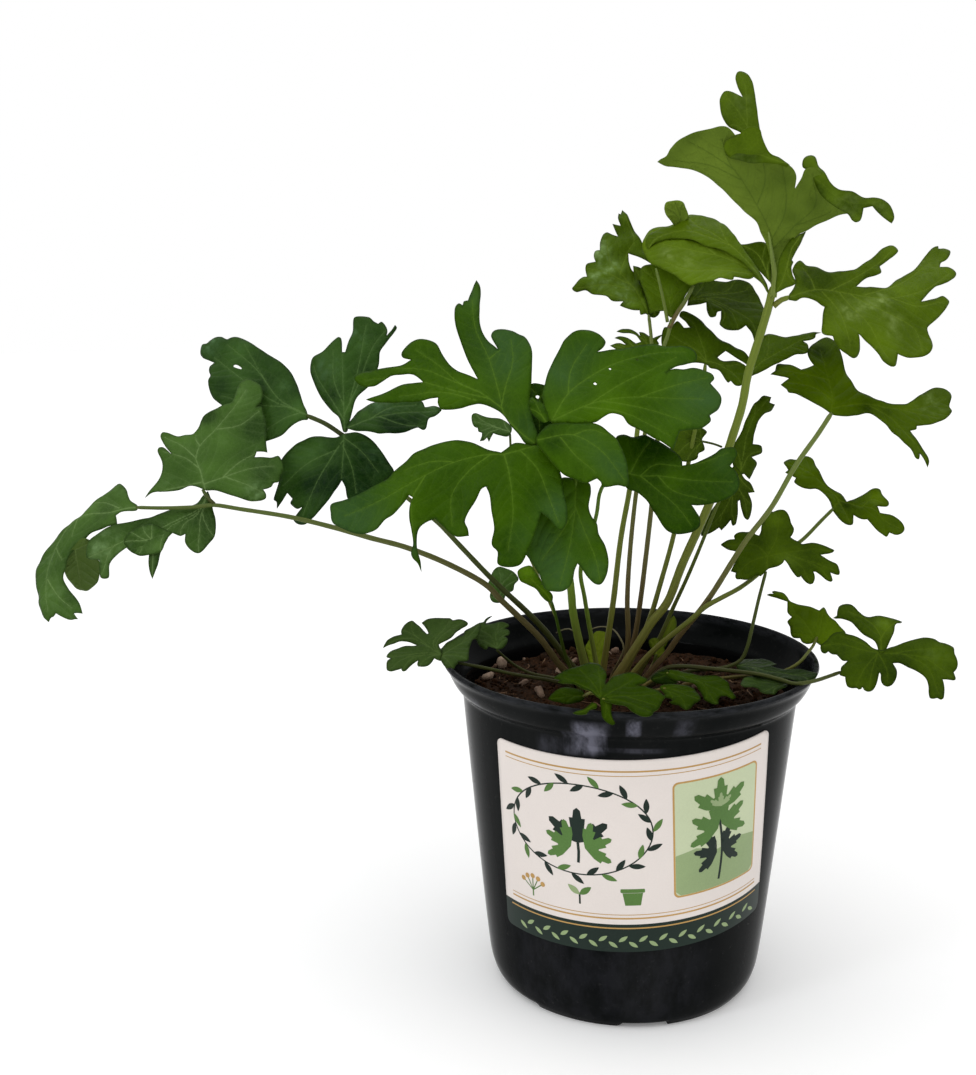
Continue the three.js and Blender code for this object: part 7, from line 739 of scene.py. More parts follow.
def lobe_veins(O, D):
    """Main veins where none is given: cheapest ways inside the blade from its base to its lobe tips."""
    g = 1.2
    lo, hi = D.min(0), D.max(0)
    nx, ny = int((hi[0] - lo[0]) / g) + 2, int((hi[1] - lo[1]) / g) + 2
    X, Y = np.meshgrid(lo[0] + g * np.arange(nx), lo[1] + g * np.arange(ny), indexing="ij")
    Q = np.c_[X.ravel(), Y.ravel()]
    ok = inside(D, Q)
    dist = np.zeros(len(Q))
    dist[ok] = seg_dist(Q[ok], D, np.roll(D, -1, axis=0))[0]
    ok &= dist > 0.3
    if ok.sum() < 12:
        return [np.array([[0, 0], [0, 0.85 * hi[1]]])]
    idx = np.where(ok)[0]
    start = idx[np.argmin(np.hypot(Q[idx, 0], Q[idx, 1]))]
    best = {start: 0.0}
    came = {}
    heap = [(0.0, start)]
    while heap:
        c, i = heapq.heappop(heap)
        if c > best[i]:
            continue
        ix, iy = divmod(i, ny)
        for dx in (-1, 0, 1):
            for dy in (-1, 0, 1):
                jx, jy = ix + dx, iy + dy
                if (dx or dy) and 0 <= jx < nx and 0 <= jy < ny:
                    j = jx * ny + jy
                    if ok[j]:
                        cc = c + math.hypot(dx, dy) * g * (1 + 1.3 / (dist[j] + 0.25))
                        if cc < best.get(j, 1e9):
                            best[j] = cc
                            came[j] = i
                            heapq.heappush(heap, (cc, j))
    keys = np.array(list(best))
    n = len(O)
    a = O - np.roll(O, 1, axis=0)
    b = np.roll(O, -1, axis=0) - O
    turn = np.arctan2(a[:, 0] * b[:, 1] - a[:, 1] * b[:, 0], np.sum(a * b, axis=1))
    tips = []
    for i in range(n):
        if turn[i] > 0.35:
            near = keys[np.argmin(np.hypot(*(Q[keys] - O[i]).T))]
            if np.hypot(*(Q[near] - O[i])) < 3.5:
                tips.append((best[near], i, near))
    tips.sort(reverse=True)
    size = max(hi - lo)
    apart = max(4.0, 0.15 * size)
    taken = []
    out = []
    for c, i, near in tips:
        if np.hypot(*O[i]) < 0.25 * size or any(np.hypot(*(O[i] - O[j])) < apart for j in taken) or len(taken) > 8:
            continue
        taken.append(i)
        way = [Q[near]]
        j = near
        while j in came:
            j = came[j]
            way.append(Q[j])
        way = np.array([[0.0, 0.0]] + way[::-1][1:] + [O[i] * 0.93 + Q[near] * 0.07])
        for _ in range(6):
            way[1:-1] = 0.25 * way[:-2] + 0.5 * way[1:-1] + 0.25 * way[2:]
        out.append(way[::2] if len(way) > 6 else way)
    return out


def resample(P, step):
    P = np.asarray(P, float)
    d = np.r_[0, np.cumsum(np.linalg.norm(np.diff(P, axis=0), axis=1))]
    n = max(2, int(round(d[-1] / step)) + 1)
    u = np.linspace(0, d[-1], n)
    return np.c_[tuple(np.interp(u, d, P[:, i]) for i in range(P.shape[1]))]


def side_veins(D, mains, rnd):
    """Finer veins that leave the main ones forward and stop short of the margin or of each other."""
    out = []
    A = np.vstack([m[:-1] for m in mains])
    B = np.vstack([m[1:] for m in mains])
    owner = np.concatenate([[i] * (len(m) - 1) for i, m in enumerate(mains)])
    Da, Db = D, np.roll(D, -1, axis=0)
    trails = np.zeros((0, 2))
    for i, m in enumerate(mains):
        d = np.r_[0, np.cumsum(np.linalg.norm(np.diff(m, axis=0), axis=1))]
        at = 2.5 + rnd.random() * 2
        side = 1 if rnd.random() < 0.5 else -1
        while at < d[-1] - 1.5:
            k = min(np.searchsorted(d, at), len(m) - 1)
            p = m[k].copy()
            tan = m[min(k + 1, len(m) - 1)] - m[max(k - 1, 0)]
            ang = math.atan2(tan[1], tan[0]) + side * math.radians(46 + 10 * rnd.random())
            way = [p.copy()]
            for step in range(40):
                ang -= side * math.radians(1.1)
                p = p + 0.7 * np.array([math.cos(ang), math.sin(ang)])
                if not inside(D, p[None])[0]:
                    break
                if seg_dist(p[None], Da, Db)[0][0] < 0.55:
                    break
                if step > 2:
                    dd, ii, _ = seg_dist(p[None], A, B)
                    if dd[0] < 0.7:
                        break
                    if len(trails) and np.min(np.hypot(*(trails - p).T)) < 0.9:
                        break
                way.append(p.copy())
            if len(way) > 3:
                way = np.array(way)
                out.append(way)
                trails = np.vstack([trails, way[2:]])
            side = -side
            at += 1.9 + 1.5 * rnd.random()
    return out


def leaf_blade(soup, b, rnd):
    """Adds one blade: upper face, lower face and margin. Slots: 0 upper, 1 lower."""
    O = np.array(b["edge"], float).reshape(-1, 2)
    D = fine_outline(O)
    if b.get("veins"):
        mains = [np.array(v, float).reshape(-1, 2) for v in b["veins"]]
        mains = [spline(v, 1.0) if len(v) > 2 else resample(v, 1.0) for v in mains]
    else:
        mains = [resample(v, 1.0) for v in lobe_veins(O, D)]
    mains = [m for m in mains if len(m) > 2]
    sides = side_veins(D, mains, rnd) if mains else []
    lines = [(m, 0.46, 0.17, 1.0) for m in mains] + [(resample(m, 1.0), 0.19, 0.09, 0.26) for m in sides]
    Da, Db = D, np.roll(D, -1, axis=0)
    A, B, W, K = [], [], [], []
    rows = []
    for m, w0, w1, power in lines:
        n = len(m)
        w = np.linspace(w0, w1, n)
        tan = np.gradient(m, axis=0)
        tan /= np.maximum(np.linalg.norm(tan, axis=1), 1e-6)[:, None]
        nor = np.c_[-tan[:, 1], tan[:, 0]]
        rows += [m, m + nor * w[:, None], m - nor * w[:, None]]
        A.append(m[:-1]); B.append(m[1:])
        W.append(np.c_[w[:-1], w[1:]]); K.append(np.full(n - 1, power))
    A, B, W, K = np.vstack(A), np.vstack(B), np.vstack(W), np.concatenate(K)
    rows = np.vstack(rows)
    rows = rows[inside(D, rows)]
    rows = rows[seg_dist(rows, Da, Db)[0] > 0.25]
    lo, hi = D.min(0), D.max(0)
    g = LEAF_GRID
    gy = np.arange(lo[1], hi[1], g * 0.866)
    pts = []
    for j, y in enumerate(gy):
        xs = np.arange(lo[0] + (0.5 * g if j % 2 else 0), hi[0], g)
        pts.append(np.c_[xs, np.full(len(xs), y)])
    G = np.vstack(pts)
    G = G + rng.uniform(-0.12, 0.12, G.shape)
    G = G[inside(D, G)]
    G = G[seg_dist(G, Da, Db)[0] > 0.5]
    if len(G):
        G = G[seg_dist(G, A, B)[0] > 0.75]
    inner = np.vstack([rows, G])
    # holes: centre, half length, then width to length and direction where it is a slit
    holes = [(h + [1.0, 0.0])[:5] if len(h) == 3 else h for h in b.get("holes", [])]

    def reach_of(P, h):
        c, s = math.cos(h[4]), math.sin(h[4])
        d = P - np.array(h[:2])
        return np.hypot(d[:, 0] * c + d[:, 1] * s, (d[:, 1] * c - d[:, 0] * s) / h[3]) / h[2]

    for h in holes:
        inner = inner[reach_of(inner, h) > 1.3]
        a = 2 * np.pi * np.arange(16) / 16
        w_ = h[2] * (1 + 0.12 * np.sin(3 * a + h[0]))
        c, s = math.cos(h[4]), math.sin(h[4])
        ex, ey = w_ * np.cos(a), w_ * np.sin(a) * h[3]
        inner = np.vstack([inner, np.c_[h[0] + ex * c - ey * s, h[1] + ex * s + ey * c]])
    Q, F = mesh_inside(np.vstack([D, inner]), len(D))
    for h in holes:
        F = F[reach_of(Q[F].mean(axis=1), h) > 0.93]
    dv, iv, tv = seg_dist(Q, A, B)
    w = W[iv, 0] * (1 - tv) + W[iv, 1] * tv
    power = K[iv] * b.get("vein_power", 1.0)
    vein = np.clip(1 - dv / w, 0, 1) * power
    near = np.clip(1 - dv / (w * 3.2), 0, 1) * power
    de = seg_dist(Q, Da, Db)[0]
    quilt = b.get("quilt", 0.3) * (1 - np.exp(-(dv / 1.5) ** 2)) * np.clip(de / 1.4, 0, 1)
    h = bend_height(b["bend"], Q[:, 0], Q[:, 1])
    ruff = b.get("ruffle", 0.35)
    h = h + ruff * np.exp(-de / 2.6) * np.sin(Q[:, 0] * 0.62 + 1.3 * np.sin(Q[:, 1] * 0.5) + len(O))
    # the blade's tone and each zone's tone shift (zone: centre, radius, tone shift, sheen) paint light and shade as
    # lighter and darker patches, partly the leaf's own colour; the zone's sheen paints a highlight in the family's
    # sheen colour
    tone, sheen = np.full(len(Q), float(b.get("tone", 0.5))), np.zeros(len(Q))
    for zx, zy, zr, zt, zone_painted_sheen in b.get("zones", []):
        fade = np.exp(-((Q[:, 0] - zx) ** 2 + (Q[:, 1] - zy) ** 2) / zr ** 2)
        tone, sheen = tone + zt * fade, sheen + zone_painted_sheen * fade
    at, U, V = (np.array(b[k], float) for k in ("at", "across", "along"))
    U /= np.linalg.norm(U)
    V /= np.linalg.norm(V)
    N = np.cross(U, V)
    half = 0.5 * LEAF_THICKNESS * np.clip(0.35 + de / 0.8, 0.35, 1)

    def place(z):
        return at + np.outer(Q[:, 0], U) + np.outer(Q[:, 1], V) + np.outer(z, N)

    top = place(h + quilt + half - 0.16 * vein)
    low = place(h + quilt - half - 0.32 * vein)
    n = len(Q)
    edges = {}
    for f in F:
        for a, c in ((f[0], f[1]), (f[1], f[2]), (f[2], f[0])):
            edges[(a, c)] = edges.get((a, c), 0) + 1
    rim = [(a, c) for a, c in edges if (c, a) not in edges]
    faces = F.tolist() + (F[:, ::-1] + n).tolist()
    mats = [0] * len(F) + [1] * len(F)
    for a, c in rim:
        faces += [[c, a, a + n], [c, a + n, c + n]]
        mats += [1, 1]
    uv = (Q - lo) / 100.0 + rnd.random() * 3
    both = lambda x: np.r_[x, x]
    soup.add(np.vstack([top, low]), faces, mats, np.vstack([uv, uv]), vein=both(vein), near=both(near),
             margin=both(np.clip(1 - de / 0.9, 0, 1) * b.get("dark_margin", 1.0)), tone=both(tone), sheen=both(np.clip(sheen, 0, 1)), reach=both(np.clip(np.hypot(Q[:, 0], Q[:, 1]) / 45, 0, 1)),
             ground=0.0, ribs=0.0)


# ------------------------------------------------------------------ stalks
def stalk(soup, t, slot, rnd, ground=129.0):
    P = np.array(t["path"], float)
    r0, r1 = t["r"]
    if t.get("ground"):
        P = np.vstack([P, P[-1] + (0, 0, ground - P[-1][2])])
    if t.get("reach", 0):
        d = P[0] - P[1]
        P = np.vstack([P[0] + d / np.linalg.norm(d) * t["reach"], P])
    C = spline(P, 2.2)
    C = resample(C, 2.2)
    n = len(C)
    T = np.gradient(C, axis=0)
    T /= np.linalg.norm(T, axis=1)[:, None]
    side = np.cross(T[0], (0, 0, 1.0))
    if np.linalg.norm(side) < 0.1:
        side = np.cross(T[0], (1.0, 0, 0))
    K = 20
    th = 2 * np.pi * np.arange(K) / K
    V, UV = [], []
    along = np.r_[0, np.cumsum(np.linalg.norm(np.diff(C, axis=0), axis=1))]
    total = along[-1]
    for i in range(n):
        side = side - T[i] * (side @ T[i])
        side /= np.linalg.norm(side)
        other = np.cross(T[i], side)
        u = along[i] / total
        r = r0 + (r1 - r0) * u
        if t.get("ground"):
            r *= 1 + 0.45 * np.exp(-((total - along[i]) / 9.0))
        r *= 1 + 0.02 * math.sin(along[i] * 0.7 + t["seed"])
        if i == 0:
            r *= 0.75
        ribs = 1 + 0.07 * np.cos(6 * th + 0.3 * math.sin(along[i] / 20))
        V.append(C[i] + np.outer(np.cos(th) * r * ribs, side) + np.outer(np.sin(th) * r * ribs, other))
        UV.append(np.c_[th / (2 * np.pi) * 0.12, np.full(K, along[i] / 100.0) + t["seed"]])
    V, UV = np.vstack(V), np.vstack(UV)
    F = []
    for i in range(n - 1):
        for j in range(K):
            a, b_ = i * K + j, i * K + (j + 1) % K
            F += [[a, b_, b_ + K], [a, b_ + K, a + K]]
    V = np.vstack([V, C[0], C[-1]])
    UV = np.vstack([UV, [0, 0], [0, 0]])
    c0, c1 = n * K, n * K + 1
    for j in range(K):
        F += [[c0, (j + 1) % K, j], [c1, (n - 1) * K + j, (n - 1) * K + (j + 1) % K]]
    lay = np.repeat(along / total, K)
    lay = np.r_[lay, 0, 1]
    rib = np.tile(0.5 + 0.5 * np.cos(6 * th), n)
    # a stalk's dark pair is painted shade, its amount at the top and at the foot of the stalk
    top, low = t.get("dark", (0, 0))
    ground_at = np.clip(1 - (V[:, 2] - MIX_TOP) / 60.0, 0, 1)
    soup.add(V, F, slot, UV, vein=0.0, near=0.0, margin=0.0, tone=t.get("tone", 0.5), sheen=top + (low - top) * lay, reach=lay, ground=ground_at, ribs=np.r_[rib, 0, 0])


# ------------------------------------------------------------------ materials
def srgb(r, g, b):
    def lin(c):
        c /= 255.0
        return c / 12.92 if c <= 0.04045 else ((c + 0.055) / 1.055) ** 2.4
    return (lin(r), lin(g), lin(b), 1.0)


class Tree:
    def __init__(self, name):
        self.mat = bpy.data.materials.new(name)
        self.mat.use_nodes = True
        self.nt = self.mat.node_tree
        self.bsdf = next(n for n in self.nt.nodes if n.type == "BSDF_PRINCIPLED")

    def node(self, kind, **props):
        n = self.nt.nodes.new(kind)
        for k, v in props.items():
            setattr(n, k, v)
        return n

    def put(self, socket, value):
        if hasattr(value, "is_output"):
            self.nt.links.new(value, socket)
        elif value is not None:
            socket.default_value = value

    def attr(self, name):
        n = self.node("ShaderNodeAttribute", attribute_name=name)
        return n.outputs["Fac"]

    def uv(self, scale=(1, 1, 1)):
        t = self.node("ShaderNodeTexCoord")
        return self.mapping(t.outputs["UV"], scale)

    def place(self, scale=(1, 1, 1)):
        t = self.node("ShaderNodeTexCoord")
        return self.mapping(t.outputs["Object"], scale)

    def mapping(self, vector, scale):
        m = self.node("ShaderNodeMapping")
        self.put(m.inputs["Vector"], vector)
        m.inputs["Scale"].default_value = scale
        return m.outputs["Vector"]

    def noise(self, vector, scale, detail=2.0, rough=0.5):
        n = self.node("ShaderNodeTexNoise")
        self.put(n.inputs["Vector"], vector)
        n.inputs["Scale"].default_value = scale
        n.inputs["Detail"].default_value = detail
        n.inputs["Roughness"].default_value = rough
        return n.outputs["Fac"]

    def cells(self, vector, scale, feature="DISTANCE_TO_EDGE"):
        n = self.node("ShaderNodeTexVoronoi", feature=feature)
        self.put(n.inputs["Vector"], vector)
        n.inputs["Scale"].default_value = scale
        return n.outputs["Distance"]

    def warp(self, vector, scale, amount):
        n = self.node("ShaderNodeTexNoise")
        self.put(n.inputs["Vector"], vector)
        n.inputs["Scale"].default_value = scale
        n.inputs["Detail"].default_value = 2.0
        s = self.node("ShaderNodeVectorMath", operation="SCALE")
        self.put(s.inputs[0], n.outputs["Color"])
        s.inputs["Scale"].default_value = amount
        a = self.node("ShaderNodeVectorMath", operation="ADD")
        self.put(a.inputs[0], vector)
        self.put(a.inputs[1], s.outputs["Vector"])
        return a.outputs["Vector"]

    def span(self, x, a, b, c=0.0, d=1.0):
        n = self.node("ShaderNodeMapRange")
        self.put(n.inputs["Value"], x)
        for key, v in (("From Min", a), ("From Max", b), ("To Min", c), ("To Max", d)):
            n.inputs[key].default_value = v
        return n.outputs["Result"]

    def math(self, op, a, b=0.0, clamp=False):
        n = self.node("ShaderNodeMath", operation=op, use_clamp=clamp)
        self.put(n.inputs[0], a)
        self.put(n.inputs[1], b)
        return n.outputs[0]

    def mix(self, fac, a, b, blend="MIX"):
        n = self.node("ShaderNodeMix", data_type="RGBA", blend_type=blend)
        self.put(n.inputs[0], fac)
        self.put(n.inputs[6], a)
        self.put(n.inputs[7], b)
        return n.outputs[2]

    def bump(self, height, strength, distance, normal=None):
        n = self.node("ShaderNodeBump")
        self.put(n.inputs["Height"], height)
        n.inputs["Strength"].default_value = strength
        n.inputs["Distance"].default_value = distance
        if normal is not None:
            self.put(n.inputs["Normal"], normal)
        return n.outputs["Normal"]

    def finish(self, color, rough, normal=None, spec=0.5, **consts):
        self.put(self.bsdf.inputs["Base Color"], color)
        self.put(self.bsdf.inputs["Roughness"], rough)
        if normal is not None:
            self.put(self.bsdf.inputs["Normal"], normal)
        self.bsdf.inputs["Specular IOR Level"].default_value = spec
        for k, v in consts.items():
            self.bsdf.inputs[k.replace("_", " ")].default_value = v
        return self.mat


def leaf_upper(name, deep, light, vein, painted_highlight_color, strength=0.5, rough=0.33, spec=0.075, even=False):
    t = Tree(name)
    uv = t.uv()
    cloud = t.span(t.noise(uv, 4.5, 2.0, 0.5), 0.3, 0.7, -0.18, 0.18)
    fine = t.span(t.noise(uv, 60.0, 2.0, 0.6), 0.3, 0.7, -0.05, 0.05)
    tone = t.attr("tone")
    f = t.math("ADD", t.math("ADD", cloud, fine), tone, True)
    c = t.mix(f, deep, light)
    lines = t.cells(uv, 66.0)
    web = t.span(lines, 0.0, 0.09, 1.0, 0.0)
    # painted highlight: the sheen amount broken into patches between the fine veins, then mixed towards the painted
    # highlight colour
    painted_highlight_patches = t.math("MULTIPLY", t.span(t.cells(t.warp(uv, 26.0, 0.05), 30.0, "SMOOTH_F1"), 0.25, 0.62, 1.0, 0.1), t.span(t.noise(uv, 24.0, 3.0, 0.6), 0.36, 0.58, 0.3, 1.1))
    painted_highlight_patches = t.math("MULTIPLY", painted_highlight_patches, t.math("SUBTRACT", 1.0, t.math("MULTIPLY", t.attr("near"), 0.6)))
    if even:
        painted_highlight_patches = t.span(t.noise(uv, 9.0, 2.0, 0.5), 0.3, 0.7, 0.45, 0.75)
    painted_highlight = t.math("MULTIPLY", t.attr("sheen"), painted_highlight_patches, True)
    c = t.mix(t.math("MULTIPLY", painted_highlight, 0.85), c, painted_highlight_color)
    c = t.mix(t.math("MULTIPLY", web, 0.07), c, vein)
    c = t.mix(t.math("MULTIPLY", t.attr("near"), 0.2), c, vein)
    c = t.mix(t.math("MULTIPLY", t.math("POWER", t.attr("vein"), 1.2), strength, True), c, vein)
    dark = tuple(0.45 * q for q in deep[:3]) + (1.0,)
    c = t.mix(t.math("MULTIPLY", t.attr("margin"), 0.5), c, dark)
    r = t.math("ADD", t.span(t.noise(uv, 12.0, 2.0), 0.3, 0.7, rough - 0.06, rough + 0.07), t.math("MULTIPLY", web, 0.04))
    n = t.bump(t.span(lines, 0.0, 0.22, 0.0, 1.0), 0.22, 0.00018)
    n = t.bump(t.noise(uv, 150.0, 2.0), 0.10, 0.0001, n)
    return t.finish(c, r, n, spec)


def leaf_lower(name, deep, light, vein):
    t = Tree(name)
    uv = t.uv()
    f = t.math("ADD", t.span(t.noise(uv, 6.0, 2.0), 0.3, 0.7, -0.18, 0.18), t.attr("tone"), True)
    c = t.mix(f, deep, light)
    lines = t.cells(uv, 66.0)
    # painted sheen on the lower face, mixed towards the vein colour
    c = t.mix(t.math("MULTIPLY", t.attr("sheen"), 0.5), c, vein)
    c = t.mix(t.math("MULTIPLY", t.span(lines, 0.0, 0.12, 1.0, 0.0), 0.10), c, vein)
    c = t.mix(t.math("MULTIPLY", t.attr("vein"), 0.6), c, vein)
    n = t.bump(t.span(lines, 0.0, 0.2, 1.0, 0.0), 0.25, 0.00015)
    return t.finish(c, t.span(t.noise(uv, 20.0), 0.3, 0.7, 0.55, 0.7), n, 0.08)


def stem_skin(name, young, old, base, rough=0.42):
    t = Tree(name)
    streak = t.noise(t.uv((26, 1.2, 1)), 6.0, 3.0, 0.6)
    f = t.math("ADD", t.span(t.attr("reach"), 0.25, 0.75), t.span(streak, 0.3, 0.7, -0.35, 0.35), True)
    c = t.mix(f, young, old)
    c = t.mix(t.math("MULTIPLY", t.math("POWER", t.attr("ground"), 2.0), t.span(streak, 0.35, 0.65, 0.45, 0.95), True), c, base)
    # painted shade in the grooves between the ribs
    c = t.mix(t.math("MULTIPLY", t.math("SUBTRACT", 1.0, t.attr("ribs")), 0.2), c, (0.02, 0.03, 0.008, 1))
    # painted shade on the stalk, mixed towards a deep green
    c = t.mix(t.attr("sheen"), c, (0.14 * young[0], 0.2 * young[1], 0.08 * young[2], 1))
    n = t.bump(t.noise(t.uv((40, 4, 1)), 8.0, 2.0), 0.25, 0.0002)
    return t.finish(c, t.span(streak, 0.3, 0.7, rough - 0.05, rough + 0.12), n, 0.14)


def pot_plastic():
    t = Tree("pot_black_plastic")
    p = t.place()
    smudge = t.noise(t.mapping(p, (1, 1, 0.35)), 28.0, 4.0, 0.6)
    dust = t.span(t.noise(p, 420.0, 3.0, 0.7), 0.60, 0.74)
    speck = t.span(t.cells(p, 260.0, "F1"), 0.05, 0.11, 1.0, 0.0)
    scuff = t.math("MULTIPLY", t.attr("lip"), t.span(t.noise(t.mapping(p, (1, 1, 4)), 150.0, 4.0, 0.7), 0.35, 0.62), True)
    c = t.mix(t.span(smudge, 0.35, 0.7), srgb(11, 13, 13), srgb(25, 26, 26))
    c = t.mix(t.math("MULTIPLY", dust, 0.06), c, srgb(96, 94, 92))
    c = t.mix(t.math("MULTIPLY", speck, t.math("MULTIPLY", dust, 0.35)), c, srgb(140, 136, 130))
    c = t.mix(t.math("MULTIPLY", scuff, 0.22), c, srgb(78, 80, 86))
    c = t.mix(t.attr("inside"), c, srgb(9, 9, 9))
    # painted reflections: streaked bluish-grey patches where the glossy shell would mirror bright light
    streaks = t.span(t.noise(t.mapping(p, (1, 1, 0.5)), 130.0, 4.0, 0.65), 0.38, 0.6, 0.15, 1.0)
    painted_reflection_film = t.math("MULTIPLY", t.attr("painted_reflection"), streaks, True)
    c = t.mix(painted_reflection_film, c, srgb(104, 104, 116))
    # painted warm brown reflection
    c = t.mix(t.math("MULTIPLY", t.attr("painted_warm_reflection"), streaks, True), c, srgb(66, 34, 22))
    r = t.math("ADD", t.span(smudge, 0.3, 0.75, 0.10, 0.2), t.math("MULTIPLY", t.math("ADD", dust, scuff), 0.2))
    n = t.bump(t.noise(t.mapping(p, (1, 1, 0.2)), 45.0, 2.0), 0.10, 0.0012)
    n = t.bump(t.noise(p, 900.0, 2.0), 0.04, 0.0001, n)
    return t.finish(c, r, n, 0.014)


def peat():
    t = Tree("growing_mix_peat")
    p = t.place()
    big = t.noise(p, 130.0, 4.0, 0.6)
    fine = t.noise(p, 900.0, 3.0, 0.7)
    c = t.mix(t.span(big, 0.35, 0.65), srgb(12, 8, 3), srgb(40, 24, 11))
    c = t.mix(t.span(fine, 0.5, 0.72, 0.0, 0.55), c, srgb(88, 55, 30))
    c = t.mix(t.math("MULTIPLY", t.attr("tone"), 0.5), c, srgb(62, 36, 18))
    n = t.bump(big, 0.6, 0.0012)
    n = t.bump(fine, 0.7, 0.0005, n)
    return t.finish(c, 0.92, n, 0.1)


def grit():
    t = Tree("growing_mix_grit")
    p = t.place()
    f = t.noise(p, 500.0, 4.0, 0.6)
    c = t.mix(t.attr("tone"), srgb(104, 78, 62), srgb(152, 130, 112))
    c = t.mix(t.span(f, 0.45, 0.7, 0.0, 0.5), c, srgb(84, 60, 46))
    return t.finish(c, 0.8, t.bump(f, 0.4, 0.0004), 0.35)


def fibre():
    t = Tree("growing_mix_fibre")
    f = t.noise(t.place(), 600.0, 3.0)
    return t.finish(t.mix(f, srgb(84, 60, 42), srgb(130, 100, 72)), 0.8, t.bump(f, 0.3, 0.0002), 0.3)


def print_ink(name, color, vary=0.06, rough=0.42):
    t = Tree(name)
    p = t.place()
    grain = t.noise(p, 1500.0, 2.0, 0.6)
    wash = t.noise(p, 22.0, 3.0)
    dark = tuple(c * (1 - 2.2 * vary) for c in color[:3]) + (1.0,)
    c = t.mix(t.span(t.math("ADD", t.math("MULTIPLY", grain, 0.35), t.math("MULTIPLY", wash, 0.65)), 0.35, 0.65), dark, color)
    return t.finish(c, t.span(wash, 0.3, 0.7, rough - 0.05, rough + 0.06), t.bump(grain, 0.06, 0.0001), 0.22)


# ------------------------------------------------------------------ pot
def wall_at(z):
    return WALL_BASE + WALL_SLOPE * z


